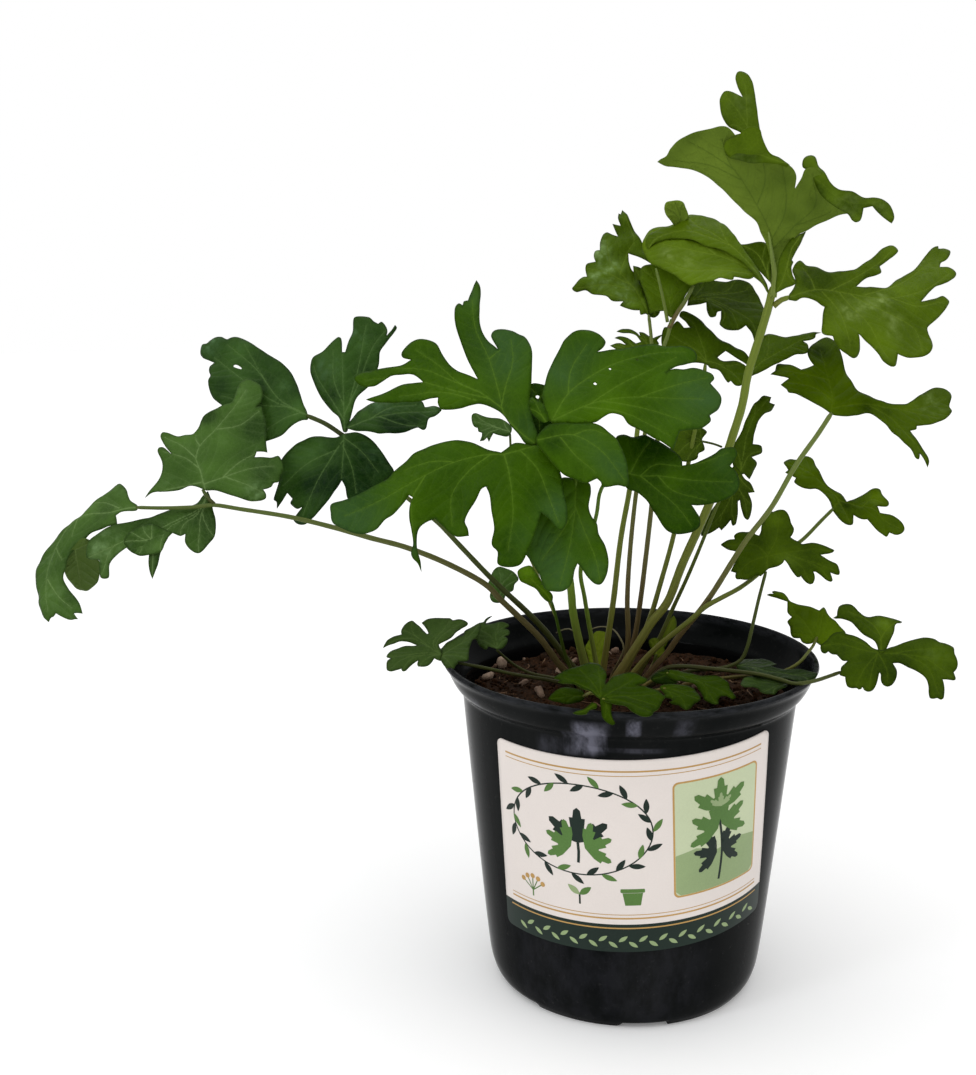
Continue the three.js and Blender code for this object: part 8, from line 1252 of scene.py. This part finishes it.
def make_pot():
    outer = [(0, 0), (56, 0), (58.6, 3.5), (60.3, 8), (wall_at(14), 14), (wall_at(131), 131), (73.7, 133.6), (74.7, 135), (77.1, 137.5),
             (79.1, 141), (RIM - 1.8, 144.6), (RIM - 0.4, 146.4), (RIM, 147.3), (RIM - 0.3, 148.2), (RIM - 1.0, POT_HEIGHT),
             (RIM - 2.1, 148.4), (RIM - 2.7, 147.5), (RIM - 3.8, 144.6), (77.1, 141.3), (75.2, 138.4), (72.9, 135.8),
             (wall_at(132.5) - 1.7, 132.5), (wall_at(15) - 1.8, 15), (57.5, 6), (54, 4.2), (0, 4.2)]
    outer = np.array(outer, float)
    corner = {0, 1, len(outer) - 1}
    fine = []
    for i in range(len(outer) - 1):
        a, b = outer[i], outer[i + 1]
        fine.append(a)
    S = spline(outer, 1.1, corner)
    long = [np.array(S[0])]
    for q in S[1:]:
        straight = 16 < q[1] < 112
        if not straight or np.linalg.norm(q - long[-1]) > 6.0:
            long.append(q)
    S = np.array(long)
    S = S[(S[:, 0] > 0.4) | (np.arange(len(S)) == 0) | (np.arange(len(S)) == len(S) - 1)]
    K = 288
    phi = 2 * np.pi * np.arange(K) / K
    V, lip, ins = [], [], []
    peak = int(np.argmax(S[:, 1]))
    rings = S[1:-1]
    for i, (r, z) in enumerate(rings):
        zz = np.full(K, z)
        rr = np.full(K, r)
        if i + 1 <= 200 and z < 2.3 and r > 39 and i < peak:
            for k in range(6):
                a = math.radians(-86 + 60 * k)
                off = (phi - a + np.pi) % (2 * np.pi) - np.pi
                m = (np.abs(np.sin(off)) * r < 10.0) & (np.cos(off) > 0)
                zz[m] = 2.3
        wob = 0.12 * np.sin(3 * phi + 0.4) + 0.08 * np.sin(5 * phi + 1.7)
        if z > 120:
            rr = rr + wob * (z - 120) / 28
        V.append(np.c_[rr * np.cos(phi), rr * np.sin(phi), zz])
        near_top = np.clip((z - 144.5) / 2.5, 0, 1)
        lip += [near_top] * K
        ins += [1.0 if i + 1 > peak + 14 else 0.0] * K
    n = len(rings)
    V = np.vstack(V + [np.array([[0, 0, 0], [0, 0, 4.2]])])
    F = []
    for i in range(n - 1):
        j = np.arange(K)
        a, b = i * K + j, i * K + (j + 1) % K
        F.append(np.c_[a, b, b + K])
        F.append(np.c_[a, b + K, a + K])
    j = np.arange(K)
    F.append(np.c_[np.full(K, n * K), (j + 1) % K, j])
    F.append(np.c_[np.full(K, n * K + 1), (n - 1) * K + j, (n - 1) * K + (j + 1) % K])
    # masks of the painted reflections, on the outside of the shell only
    painted_reflection, painted_warm_reflection = np.zeros(len(V)), np.zeros(len(V))
    ang = np.arctan2(V[:, 0], -V[:, 1])
    for a, z, w, h, s in PAINTED_REFLECTIONS:
        off = (ang - a + np.pi) % (2 * np.pi) - np.pi
        m = np.exp(-np.maximum(np.abs(off) * 76 / w, 0) ** 8 - (np.abs(V[:, 2] - z) / h) ** 8)
        if s > 0:
            painted_reflection = painted_reflection + s * m
        else:
            painted_warm_reflection = painted_warm_reflection - s * m
    out = np.r_[np.arange(n * K) < (peak + 2) * K, False, False]
    painted_reflection, painted_warm_reflection = np.clip(painted_reflection, 0, 1) * out, np.clip(painted_warm_reflection, 0, 1) * out
    o = new_object("pot_shell", V, np.vstack(F), [pot_plastic()], None, True,
                   {"lip": lip + [0, 0], "inside": ins + [0, 1], "painted_reflection": painted_reflection, "painted_warm_reflection": painted_warm_reflection})
    cv, cf = [], []
    for k in range(6):
        a = math.radians(-86 + 60 * k)
        c = np.array([44 * math.cos(a), 44 * math.sin(a)])
        q = 2 * np.pi * np.arange(28) / 28
        ring = np.c_[c[0] + 5.5 * np.cos(q), c[1] + 5.5 * np.sin(q)]
        s = len(cv)
        cv += [(x, y, -4) for x, y in ring] + [(x, y, 9) for x, y in ring]
        cf.append([s + i for i in range(27, -1, -1)])
        cf.append([s + 28 + i for i in range(28)])
        cf += [[s + i, s + (i + 1) % 28, s + 28 + (i + 1) % 28, s + 28 + i] for i in range(28)]
    cut = new_object("pot_hole_cutter", cv, cf, [])
    mod = o.modifiers.new("holes", "BOOLEAN")
    mod.operation = "DIFFERENCE"
    mod.solver = "EXACT"
    mod.object = cut
    me = bpy.data.meshes.new_from_object(o.evaluated_get(bpy.context.evaluated_depsgraph_get()))
    o.modifiers.clear()
    o.data = me
    bpy.data.objects.remove(cut)
    me.polygons.foreach_set("use_smooth", np.full(len(me.polygons), True))
    me.set_sharp_from_angle(angle=math.radians(38))
    return piece(o, "pot_plastic", "pot")


# ------------------------------------------------------------------ growing mix
def waves(seed, count, low, high):
    r = np.random.default_rng(seed)
    k = np.exp(r.uniform(np.log(low), np.log(high), count))
    a = r.uniform(0, 2 * np.pi, count)
    return np.c_[k * np.cos(a), k * np.sin(a)], r.uniform(0, 2 * np.pi, count), 1 / k


KW, KP, KA = waves(5, 70, 0.09, 1.6)
KA = KA / np.sqrt(np.sum(KA ** 2))


def mix_height(x, y):
    x, y = np.atleast_1d(x), np.atleast_1d(y)
    r = np.hypot(x, y)
    z = MIX_TOP - 1.0 - 0.00022 * r * r
    lump = np.cos(np.outer(x, KW[:, 0]) + np.outer(y, KW[:, 1]) + KP) @ KA
    return z + 1.15 * lump + 0.5 * np.sin(x * 0.9 + 2 * np.sin(y * 0.7)) * np.sin(y * 0.8 + 1.3)


def blob(r, squash, seed, sub=1):
    bm = bmesh.new()
    bmesh.ops.create_icosphere(bm, subdivisions=sub, radius=1.0)
    v = np.array([tuple(q.co) for q in bm.verts])
    f = np.array([[q.index for q in t.verts] for t in bm.faces])
    bm.free()
    g = np.random.default_rng(seed)
    for _ in range(4):
        d = g.normal(size=3)
        d /= np.linalg.norm(d)
        v *= (1 + 0.22 * np.sin(2.2 * (v @ d) + g.uniform(0, 6)))[:, None]
    v *= g.uniform(0.9, 1.1, v.shape)
    q = g.normal(size=4)
    q /= np.linalg.norm(q)
    w, x, y, z = q
    R = np.array([[1 - 2 * (y * y + z * z), 2 * (x * y - z * w), 2 * (x * z + y * w)],
                  [2 * (x * y + z * w), 1 - 2 * (x * x + z * z), 2 * (y * z - x * w)],
                  [2 * (x * z - y * w), 2 * (y * z + x * w), 1 - 2 * (x * x + y * y)]])
    v = (v * np.array([1, g.uniform(0.7, 1.0), squash])) @ R.T
    return v * r, f


def make_mix():
    inner = lambda z: wall_at(z) - 1.8 - 0.35
    R = inner(130.5)
    soup = Soup()
    rings, K = 62, 180
    V, tone = [], []
    phi = 2 * np.pi * np.arange(K) / K
    rad = R * (np.arange(1, rings + 1) / rings) ** 0.8
    g = np.random.default_rng(7)
    for r in rad:
        x, y = r * np.cos(phi), r * np.sin(phi)
        z = mix_height(x, y) + g.uniform(-0.35, 0.35, K)
        if r > R - 0.5:
            z = z - 0.8
        V.append(np.c_[x, y, z])
        tone.append(g.uniform(0, 0.5, K))
    V.append(np.array([[0, 0, float(mix_height(0, 0)[0])]]))
    low = [(inner(128), 126.0), (inner(15), 15.0), (57.0, 6.6), (53.6, 4.6)]
    for r, z in low:
        V.append(np.c_[r * np.cos(phi), r * np.sin(phi), np.full(K, z)])
    V.append(np.array([[0, 0, 4.6]]))
    F = []
    j = np.arange(K)
    centre = rings * K
    F.append(np.c_[np.full(K, centre), j, (j + 1) % K])
    for i in range(rings - 1):
        a, b = i * K + j, i * K + (j + 1) % K
        F += [np.c_[a, a + K, b + K], np.c_[a, b + K, b]]
    start = centre + 1
    prev = (rings - 1) * K
    for i in range(len(low)):
        a, b = prev + j, prev + (j + 1) % K
        c, d = start + i * K + j, start + i * K + (j + 1) % K
        F += [np.c_[a, c, d], np.c_[a, d, b]]
        prev = start + i * K
    end = start + len(low) * K
    F.append(np.c_[np.full(K, end), prev + (j + 1) % K, prev + j])
    V = np.vstack(V)
    soup.add(V, np.vstack(F), 0, V[:, :2] / 100, tone=np.r_[np.concatenate(tone), np.zeros(len(V) - rings * K)])
    soup.object("growing_mix_bed", [peat()])
    bed = bpy.data.objects["growing_mix_bed"]
    piece(bed, "growing_mix", "growing_mix")
    # crumbs of peat
    crumbs = Soup()
    for i in range(1500):
        r = math.sqrt(g.random()) * (R - 2.0)
        a = g.uniform(0, 2 * np.pi)
        x, y = r * math.cos(a), r * math.sin(a)
        s = float(np.exp(g.normal(-0.12, 0.42)))
        s = min(s, 2.6)
        v, f = blob(s, g.uniform(0.55, 0.95), 100 + i, 1 if s < 1.3 else 2)
        z = float(mix_height(x, y)[0]) + 0.25 * s
        crumbs.add(v + (x, y, z), f, 0, v[:, :2] / 100, tone=g.uniform(0, 1))
    piece(crumbs.object("growing_mix_crumbs", [peat()]), "growing_mix")
    # pale grit: the stones that show, then some more all over
    stones = Soup()
    spots = list(STONES)
    while len(spots) < 46:
        r, a = math.sqrt(g.random()) * (R - 5), g.uniform(0, 2 * np.pi)
        spots.append((r * math.cos(a), r * math.sin(a), float(g.uniform(0.7, 1.8))))
    for i, (x, y, s) in enumerate(spots):
        v, f = blob(s, g.uniform(0.75, 0.95), 4000 + i, 3)
        z = float(mix_height(x, y)[0]) + 0.35 * s
        stones.add(v + (x, y, z), f, 0, v[:, :2] / 100, tone=g.uniform(0, 1))
    piece(stones.object("growing_mix_grit", [grit()]), "growing_mix")
    # fibres and splinters
    hairs = Soup()
    for i in range(60):
        r, a = math.sqrt(g.random()) * (R - 8), g.uniform(0, 2 * np.pi)
        c = np.array([r * math.cos(a), r * math.sin(a)])
        d = g.uniform(0, 2 * np.pi)
        n, length, w = 6, g.uniform(3, 11), g.uniform(0.12, 0.38)
        pts = []
        bend = g.uniform(-0.09, 0.09)
        for k in range(n):
            u = (k / (n - 1) - 0.5) * length
            q = c + u * np.array([math.cos(d + bend * u), math.sin(d + bend * u)])
            pts.append((q[0], q[1], float(mix_height(q[0], q[1])[0]) + w * 0.8 + 0.8 * (k / (n - 1)) * g.random()))
        if max(np.hypot(p[0], p[1]) for p in pts) > R - 2:
            continue
        stalk(hairs, {"path": pts, "r": [w, w * 0.6], "seed": float(i % 7), "tone": g.random()}, 0, rng)
    piece(hairs.object("growing_mix_fibres", [fibre()]), "growing_mix")


# ------------------------------------------------------------------ label
def on_cone(Q, lift):
    """Flat label coordinates (u to the right, v up, mm) onto the pot's wall."""
    Q = np.asarray(Q, float)
    k = WALL_SLOPE
    sl = math.hypot(1, k)
    apex = wall_at(LABEL["height"]) * sl / k
    c, s = math.cos(LABEL["tilt"]), math.sin(LABEL["tilt"])
    u = Q[:, 0] * c - Q[:, 1] * s
    v = Q[:, 0] * s + Q[:, 1] * c
    away = np.hypot(u, apex + v)
    ang = LABEL["turn"] + np.arctan2(u, apex + v) * sl / k
    rad = away * k / sl
    z = (rad - WALL_BASE) / k - lift * k / sl
    r = rad + lift / sl
    return np.c_[r * np.sin(ang), -r * np.cos(ang), z]


def fill(poly, step=2.4):
    P = np.asarray(poly, float)
    D = []
    for a, b in zip(P, np.roll(P, -1, axis=0)):
        k = max(1, int(np.linalg.norm(b - a) / step))
        D += [a + (b - a) * j / k for j in range(k)]
    D = np.array(D)
    if signed_area(D) < 0:
        D = D[::-1]
    lo, hi = D.min(0), D.max(0)
    X, Y = np.meshgrid(np.arange(lo[0], hi[0], step), np.arange(lo[1], hi[1], step))
    G = np.c_[X.ravel(), Y.ravel()]
    G = G[inside(D, G)] if len(G) else G
    if len(G):
        G = G[seg_dist(G, D, np.roll(D, -1, axis=0))[0] > 0.35 * step]
    return mesh_inside(np.vstack([D, G]), len(D))


def rounded(x0, y0, x1, y1, r, n=6):
    out = []
    for cx, cy, a0 in ((x1 - r, y0 + r, -90), (x1 - r, y1 - r, 0), (x0 + r, y1 - r, 90), (x0 + r, y0 + r, 180)):
        for i in range(n + 1):
            a = math.radians(a0 + 90 * i / n)
            out.append((cx + r * math.cos(a), cy + r * math.sin(a)))
    return out


def leafy(x, y, length, width, angle, n=9):
    """A plain pointed leaf."""
    up = [(math.sin(math.pi * (i / n)) ** 0.8 * width / 2 * (1 - 0.25 * i / n), length * i / n) for i in range(n + 1)]
    pts = up + [(-a, b) for a, b in up[::-1][1:-1]]
    c, s = math.cos(angle), math.sin(angle)
    return [(x + a * c - b * s, y + a * s + b * c) for a, b in pts]


def toothed(x, y, size, angle, lobes=3):
    """A three-lobed toothed leaf, drawn from plain arcs."""
    pts = []
    for i in range(lobes):
        mid = (i - (lobes - 1) / 2) * math.radians(52)
        for da, rr in ((-0.40, 0.50), (-0.30, 0.78), (-0.17, 0.76), (-0.10, 0.98), (0, 1.06), (0.10, 0.98), (0.17, 0.76), (0.30, 0.78), (0.40, 0.50)):
            pts.append((rr * size * math.sin(mid + da), rr * size * math.cos(mid + da)))
    pts = [(0, 0)] + pts[::-1][::-1]
    c, s = math.cos(angle), math.sin(angle)
    return [(x + a * c - b * s, y + a * s + b * c) for a, b in pts]


def disc(x, y, r, n=24):
    return [(x + r * math.cos(2 * math.pi * i / n), y + r * math.sin(2 * math.pi * i / n)) for i in range(n)]


def band(points, w):
    P = np.asarray(points, float)
    t = np.gradient(P, axis=0)
    t /= np.linalg.norm(t, axis=1)[:, None]
    nrm = np.c_[-t[:, 1], t[:, 0]]
    return (P + nrm * w / 2).tolist() + (P - nrm * w / 2)[::-1].tolist()


def make_label():
    L = LABEL
    cream, green, gold, mid, sage, pale = 0, 1, 2, 3, 4, 5
    mats = [print_ink("label_cream", srgb(227, 218, 212), 0.03), print_ink("label_dark_green", srgb(16, 36, 27), 0.12),
            print_ink("label_gold", srgb(192, 152, 88), 0.1), print_ink("label_leaf_green", srgb(86, 124, 58), 0.12),
            print_ink("label_sage", srgb(148, 168, 120), 0.08), print_ink("label_pale_green", srgb(196, 206, 170), 0.05)]
    s = Soup()

    def ink(poly, slot, layer, step=2.4):
        Q, F = fill(poly, step)
        s.add(on_cone(Q, L["gap"] + L["thick"] + 0.02 * layer), F, slot, Q / 100)

    # the paper itself, a closed sheet
    sheet = rounded(-L["half"], L["low"], L["half"], L["top"], L["corner"])
    Q, F = fill(sheet, 2.4)
    n = len(Q)
    top, low = on_cone(Q, L["gap"] + L["thick"]), on_cone(Q, 0.05)
    edges = {}
    for f in F:
        for a, c in ((f[0], f[1]), (f[1], f[2]), (f[2], f[0])):
            edges[(a, c)] = 1
    rim = [(a, c) for a, c in edges if (c, a) not in edges]
    faces = F.tolist() + (F[:, ::-1] + n).tolist() + [[c, a, a + n] for a, c in rim] + [[c, a + n, c + n] for a, c in rim]
    s.add(np.vstack([top, low]), faces, cream, np.vstack([Q, Q]) / 100)
    h = L["half"]
    # dark band along the foot of the label
    foot = rounded(-h, L["low"], h, L["band"] + 8, L["corner"])
    foot = [(x, min(y, L["band"])) for x, y in foot]
    clean = [foot[0]]
    for q in foot[1:]:
        if math.dist(q, clean[-1]) > 0.05:
            clean.append(q)
    ink(clean, green, 1)
    ink([(-h + 4, L["band"] - 2.1), (h - 4, L["band"] - 2.1), (h - 4, L["band"] - 1.5), (-h + 4, L["band"] - 1.5)], gold, 2)
    for i in range(27):
        x = -h + 9 + i * (2 * h - 18) / 26
        ink(leafy(x, -46.6, 4.6, 2.0, -0.95 if i % 2 else -2.2), sage, 2, 3)
    # gold rules
    for y, w in ((31.2, 0.75), (29.2, 0.35), (-33.9, 0.35), (-35.6, 0.75)):
        ink([(-h + 5, y - w / 2), (h - 5, y - w / 2), (h - 5, y + w / 2), (-h + 5, y + w / 2)], gold, 1)
    # picture panel with a sprig
    ink(rounded(15, -28, 56, 25, 2.5), gold, 1)
    ink(rounded(15.8, -27.2, 55.2, 24.2, 2.0), pale, 2)
    ink([(15.9, -25.2), (18, -27.1), (53, -27.1), (55.1, -25.2), (55.1, -9), (46, -7), (35, -9.5), (25, -6.5), (15.9, -8.5)], sage, 3)
    stem = [(35.5 + 1.6 * math.sin(i / 4), -24 + i * 2.4) for i in range(16)]
    ink(band(stem, 1.1), green, 4, 2)
    for x, y, size, a, slot in ((36.3, 8, 14.5, 0.0, mid), (35.0, 0, 13.0, 1.05, mid), (37.0, 1.5, 12.5, -1.0, mid),
                                (34.6, -11, 10.5, 1.35, green), (36.8, -10, 10.5, -1.3, green), (36.4, 10, 6.0, 0.0, sage)):
        ink(toothed(x, y, size, a), slot, 5 + (slot == mid) + 2 * (slot == sage), 1.6)
    # garland
    cx, cy, rx, ry = -24.0, 4.0, 31.0, 20.5
    for i in range(30):
        a = 2 * math.pi * i / 30
        x, y = cx + rx * math.cos(a), cy + ry * math.sin(a)
        tang = math.atan2(ry * math.cos(a), -rx * math.sin(a))
        ink(leafy(x, y, 6.8, 2.8, tang - math.pi / 2 + (0.6 if i % 2 else -0.6)), green if i % 3 else mid, 2 + i % 2, 2)
    ring = [(cx + (rx - 0.2) * math.cos(2 * math.pi * i / 60), cy + (ry - 0.2) * math.sin(2 * math.pi * i / 60)) for i in range(61)]
    for k in range(0, 60, 6):
        ink(band(ring[k:k + 7], 0.6), green, 1, 3)
    for x, y, size, a, slot in ((cx, cy - 6, 15.0, 0.0, green), (cx - 3, cy - 8, 11.5, 1.15, mid), (cx + 3, cy - 8, 11.5, -1.15, mid)):
        ink(toothed(x, y, size, a), slot, 2 + (slot == mid), 1.6)
    ink(band([(cx, cy - 15), (cx + 0.3, cy - 10), (cx, cy - 5)], 1.2), green, 2, 2)
    # small marks: flower head, seedling, tub
    y = -25.5
    ink(band([(-46, y - 6.4), (-46, y - 3.2)], 0.7), mid, 1, 3)
    for i in range(5):
        a = math.radians(26 * (i - 2))
        tip = (-46 + 6.4 * math.sin(a), y - 3.6 + 6.6 * math.cos(a))
        ink(band([(-46, y - 3.6), tip], 0.5), mid, 1, 3)
        ink(disc(tip[0], tip[1], 1.15, 14), gold, 2, 2)
    ink(band([(-24, y - 4.6), (-24, y + 0.6)], 0.8), green, 1, 3)
    for a, slot in ((0.9, sage), (-0.9, mid)):
        ink(leafy(-24, y - 0.2, 6.4, 3.2, a, 10), slot, 2)
    ink([(-5.2, y - 4), (1.2, y - 4), (2.2, y + 1.8), (-6.2, y + 1.8)], mid, 1)
    ink(rounded(-7.0, y + 1.9, 3.0, y + 3.7, 0.5), mid, 1)
    return piece(s.object("label_sheet", mats), "label_paper", "label")


# ------------------------------------------------------------------ plant
UPPER = {
    # deep, light, vein, painted sheen colour (a painted highlight), how strongly the veins show
    "left": (srgb(37, 61, 18), srgb(77, 111, 42), srgb(114, 140, 84), srgb(112, 142, 90), 0.62),
    "midleft": (srgb(11, 36, 5), srgb(61, 94, 33), srgb(88, 116, 62), srgb(80, 112, 74), 0.6),
    "centre": (srgb(20, 47, 0), srgb(64, 98, 2), srgb(92, 124, 34), srgb(54, 84, 48), 0.5),
    "shoot": (srgb(35, 61, 0), srgb(80, 118, 0), srgb(104, 132, 28), srgb(120, 158, 40), 0.4),
    "young": (srgb(50, 66, 0), srgb(124, 144, 34), srgb(126, 132, 50), srgb(124, 134, 60), 0.4),
    "top": (srgb(47, 66, 0), srgb(96, 122, 16), srgb(116, 138, 44), srgb(134, 154, 84), 0.5),
    "back": (srgb(31, 47, 0), srgb(84, 111, 12), srgb(102, 124, 38), srgb(122, 148, 90), 0.5),
    "right": (srgb(32, 50, 0), srgb(82, 107, 0), srgb(94, 116, 22), srgb(108, 130, 64), 0.38),
    "front": (srgb(16, 34, 0), srgb(54, 78, 0), srgb(70, 92, 16), srgb(70, 96, 44), 0.45),
    "rim": (srgb(22, 39, 6), srgb(68, 92, 40), srgb(84, 106, 52), srgb(86, 110, 70), 0.5),
}
LOWER = {
    "left": (srgb(40, 60, 12), srgb(72, 94, 34), srgb(96, 116, 60)),
    "top": (srgb(56, 76, 10), srgb(104, 126, 38), srgb(62, 84, 18)),
    "other": (srgb(45, 64, 12), srgb(85, 108, 36), srgb(110, 128, 62)),
}
STEM = {
    "stem_green": (srgb(112, 128, 46), srgb(112, 118, 46), srgb(120, 92, 60)),
    "stem_purple": (srgb(106, 122, 58), srgb(108, 94, 58), srgb(98, 66, 50)),
    "stem_pale": (srgb(122, 142, 66), srgb(116, 132, 58), srgb(120, 120, 60)),
    "stem_dark": (srgb(72, 84, 34), srgb(60, 66, 26), srgb(62, 56, 32)),
    "stem_dry": (srgb(124, 122, 92), srgb(96, 92, 60), srgb(110, 92, 60)),
    "stem_bright": (srgb(92, 124, 34), srgb(108, 128, 46), srgb(132, 124, 72)),
}


def make_plant():
    upper = {k: leaf_upper("leaf_upper_" + k, *v, spec={"front": 0.02, "rim": 0.03, "left": 0.05, "midleft": 0.045}.get(k, 0.035), even=k == "centre") for k, v in UPPER.items()}
    lower = {k: leaf_lower("leaf_lower_" + k, *v) for k, v in LOWER.items()}
    stem = {k: stem_skin(k + "_skin", *v) for k, v in STEM.items()}
    for i, part in enumerate(PLANT):
        rnd = random.Random(900 + i)
        s = Soup()
        for b in part["blades"]:
            leaf_blade(s, b, rnd)
        for t in part["stalks"]:
            stalk(s, t, 2 if part["blades"] else 0, rnd)
        fam = part["family"]
        if part["blades"]:
            mats = [upper[fam], lower.get(fam, lower["other"]), stem[part["stem"]]]
        else:
            mats = [stem[part["stem"]]]
        o = s.object(part["name"] + "_fine", mats)
        piece(o, part["slot"], *([part["node"]] if part["node"] else []))


# ------------------------------------------------------------------ stage, light, camera
def plain(name, color, rough):
    t = Tree(name)
    t.bsdf.inputs["Emission Color"].default_value = (1, 1, 1, 1)
    t.bsdf.inputs["Emission Strength"].default_value = 0.13
    return t.finish(color, rough, None, 0.2)


def make_stage():
    n = 48
    V, F = [(0, 0, 0)], []
    for j in range(n):
        a = 2 * math.pi * j / n
        V.append((3500 * math.cos(a), 3500 * math.sin(a), 0))
    F = [[0, 1 + j, 1 + (j + 1) % n] for j in range(n)]
    V = [(x, y, z - 0.15) for x, y, z in V]
    floor = new_object("floor", V, F, [plain("floor_white", (0.93, 0.93, 0.93, 1), 0.7)])


def area(name, place, target, size, power, color=(1, 1, 1)):
    light = bpy.data.lights.new(name, "AREA")
    light.shape = "RECTANGLE"
    light.size, light.size_y = size
    light.energy = power
    light.color = color
    o = bpy.data.objects.new(name, light)
    bpy.context.scene.collection.objects.link(o)
    o.location = place
    o.rotation_euler = (Vector(target) - Vector(place)).to_track_quat("-Z", "Y").to_euler()
    return o


def make_light():
    world = bpy.data.worlds.new("studio")
    bpy.context.scene.world = world
    world.use_nodes = True
    nt = world.node_tree
    bg = next(n for n in nt.nodes if n.type == "BACKGROUND")
    out = next(n for n in nt.nodes if n.type == "OUTPUT_WORLD")
    bg.inputs["Color"].default_value = (1, 1, 1, 1)
    bg.inputs["Strength"].default_value = 0.58
    seen = nt.nodes.new("ShaderNodeBackground")
    seen.inputs["Color"].default_value = (1, 1, 1, 1)
    seen.inputs["Strength"].default_value = 1.0
    path = nt.nodes.new("ShaderNodeLightPath")
    mix = nt.nodes.new("ShaderNodeMixShader")
    nt.links.new(path.outputs["Is Camera Ray"], mix.inputs[0])
    nt.links.new(bg.outputs[0], mix.inputs[1])
    nt.links.new(seen.outputs[0], mix.inputs[2])
    nt.links.new(mix.outputs[0], out.inputs["Surface"])
    sun = bpy.data.lights.new("sky", "SUN")
    sun.energy = 1.5
    sun.angle = math.radians(110)
    so = bpy.data.objects.new("sky", sun)
    bpy.context.scene.collection.objects.link(so)
    so.rotation_euler = (Vector((0.06, 0.12, -1)).to_track_quat("-Z", "Y")).to_euler()
    area("window", (-1.0, -0.8, 1.05), (0, 0, 0.2), (0.28, 0.42), 2.4, (0.93, 0.97, 1.0))
    area("fill", (1.3, -0.8, 0.8), (0, 0, 0.2), (0.5, 0.8), 0.5, (1.0, 0.96, 0.92))
    scene = bpy.context.scene
    scene.view_settings.view_transform = "Standard"
    scene.view_settings.look = "None"
    scene.view_settings.exposure = 0.0
    scene.view_settings.gamma = 1.0


def make_camera():
    cam = bpy.data.cameras.new("camera")
    cam.sensor_fit = "AUTO"
    cam.sensor_width = 36.0
    cam.lens = 1508.1 / 1075 * 36.0
    cam.clip_start, cam.clip_end = 0.02, 20
    o = bpy.data.objects.new("camera", cam)
    bpy.context.scene.collection.objects.link(o)
    o.location = (-0.0623, -0.6423, 0.3362)
    o.rotation_euler = (math.radians(90 - 11.871), 0, 0)
    bpy.context.scene.camera = o


make_camera()
make_light()
make_stage()
make_pot()
make_mix()
make_label()
make_plant()
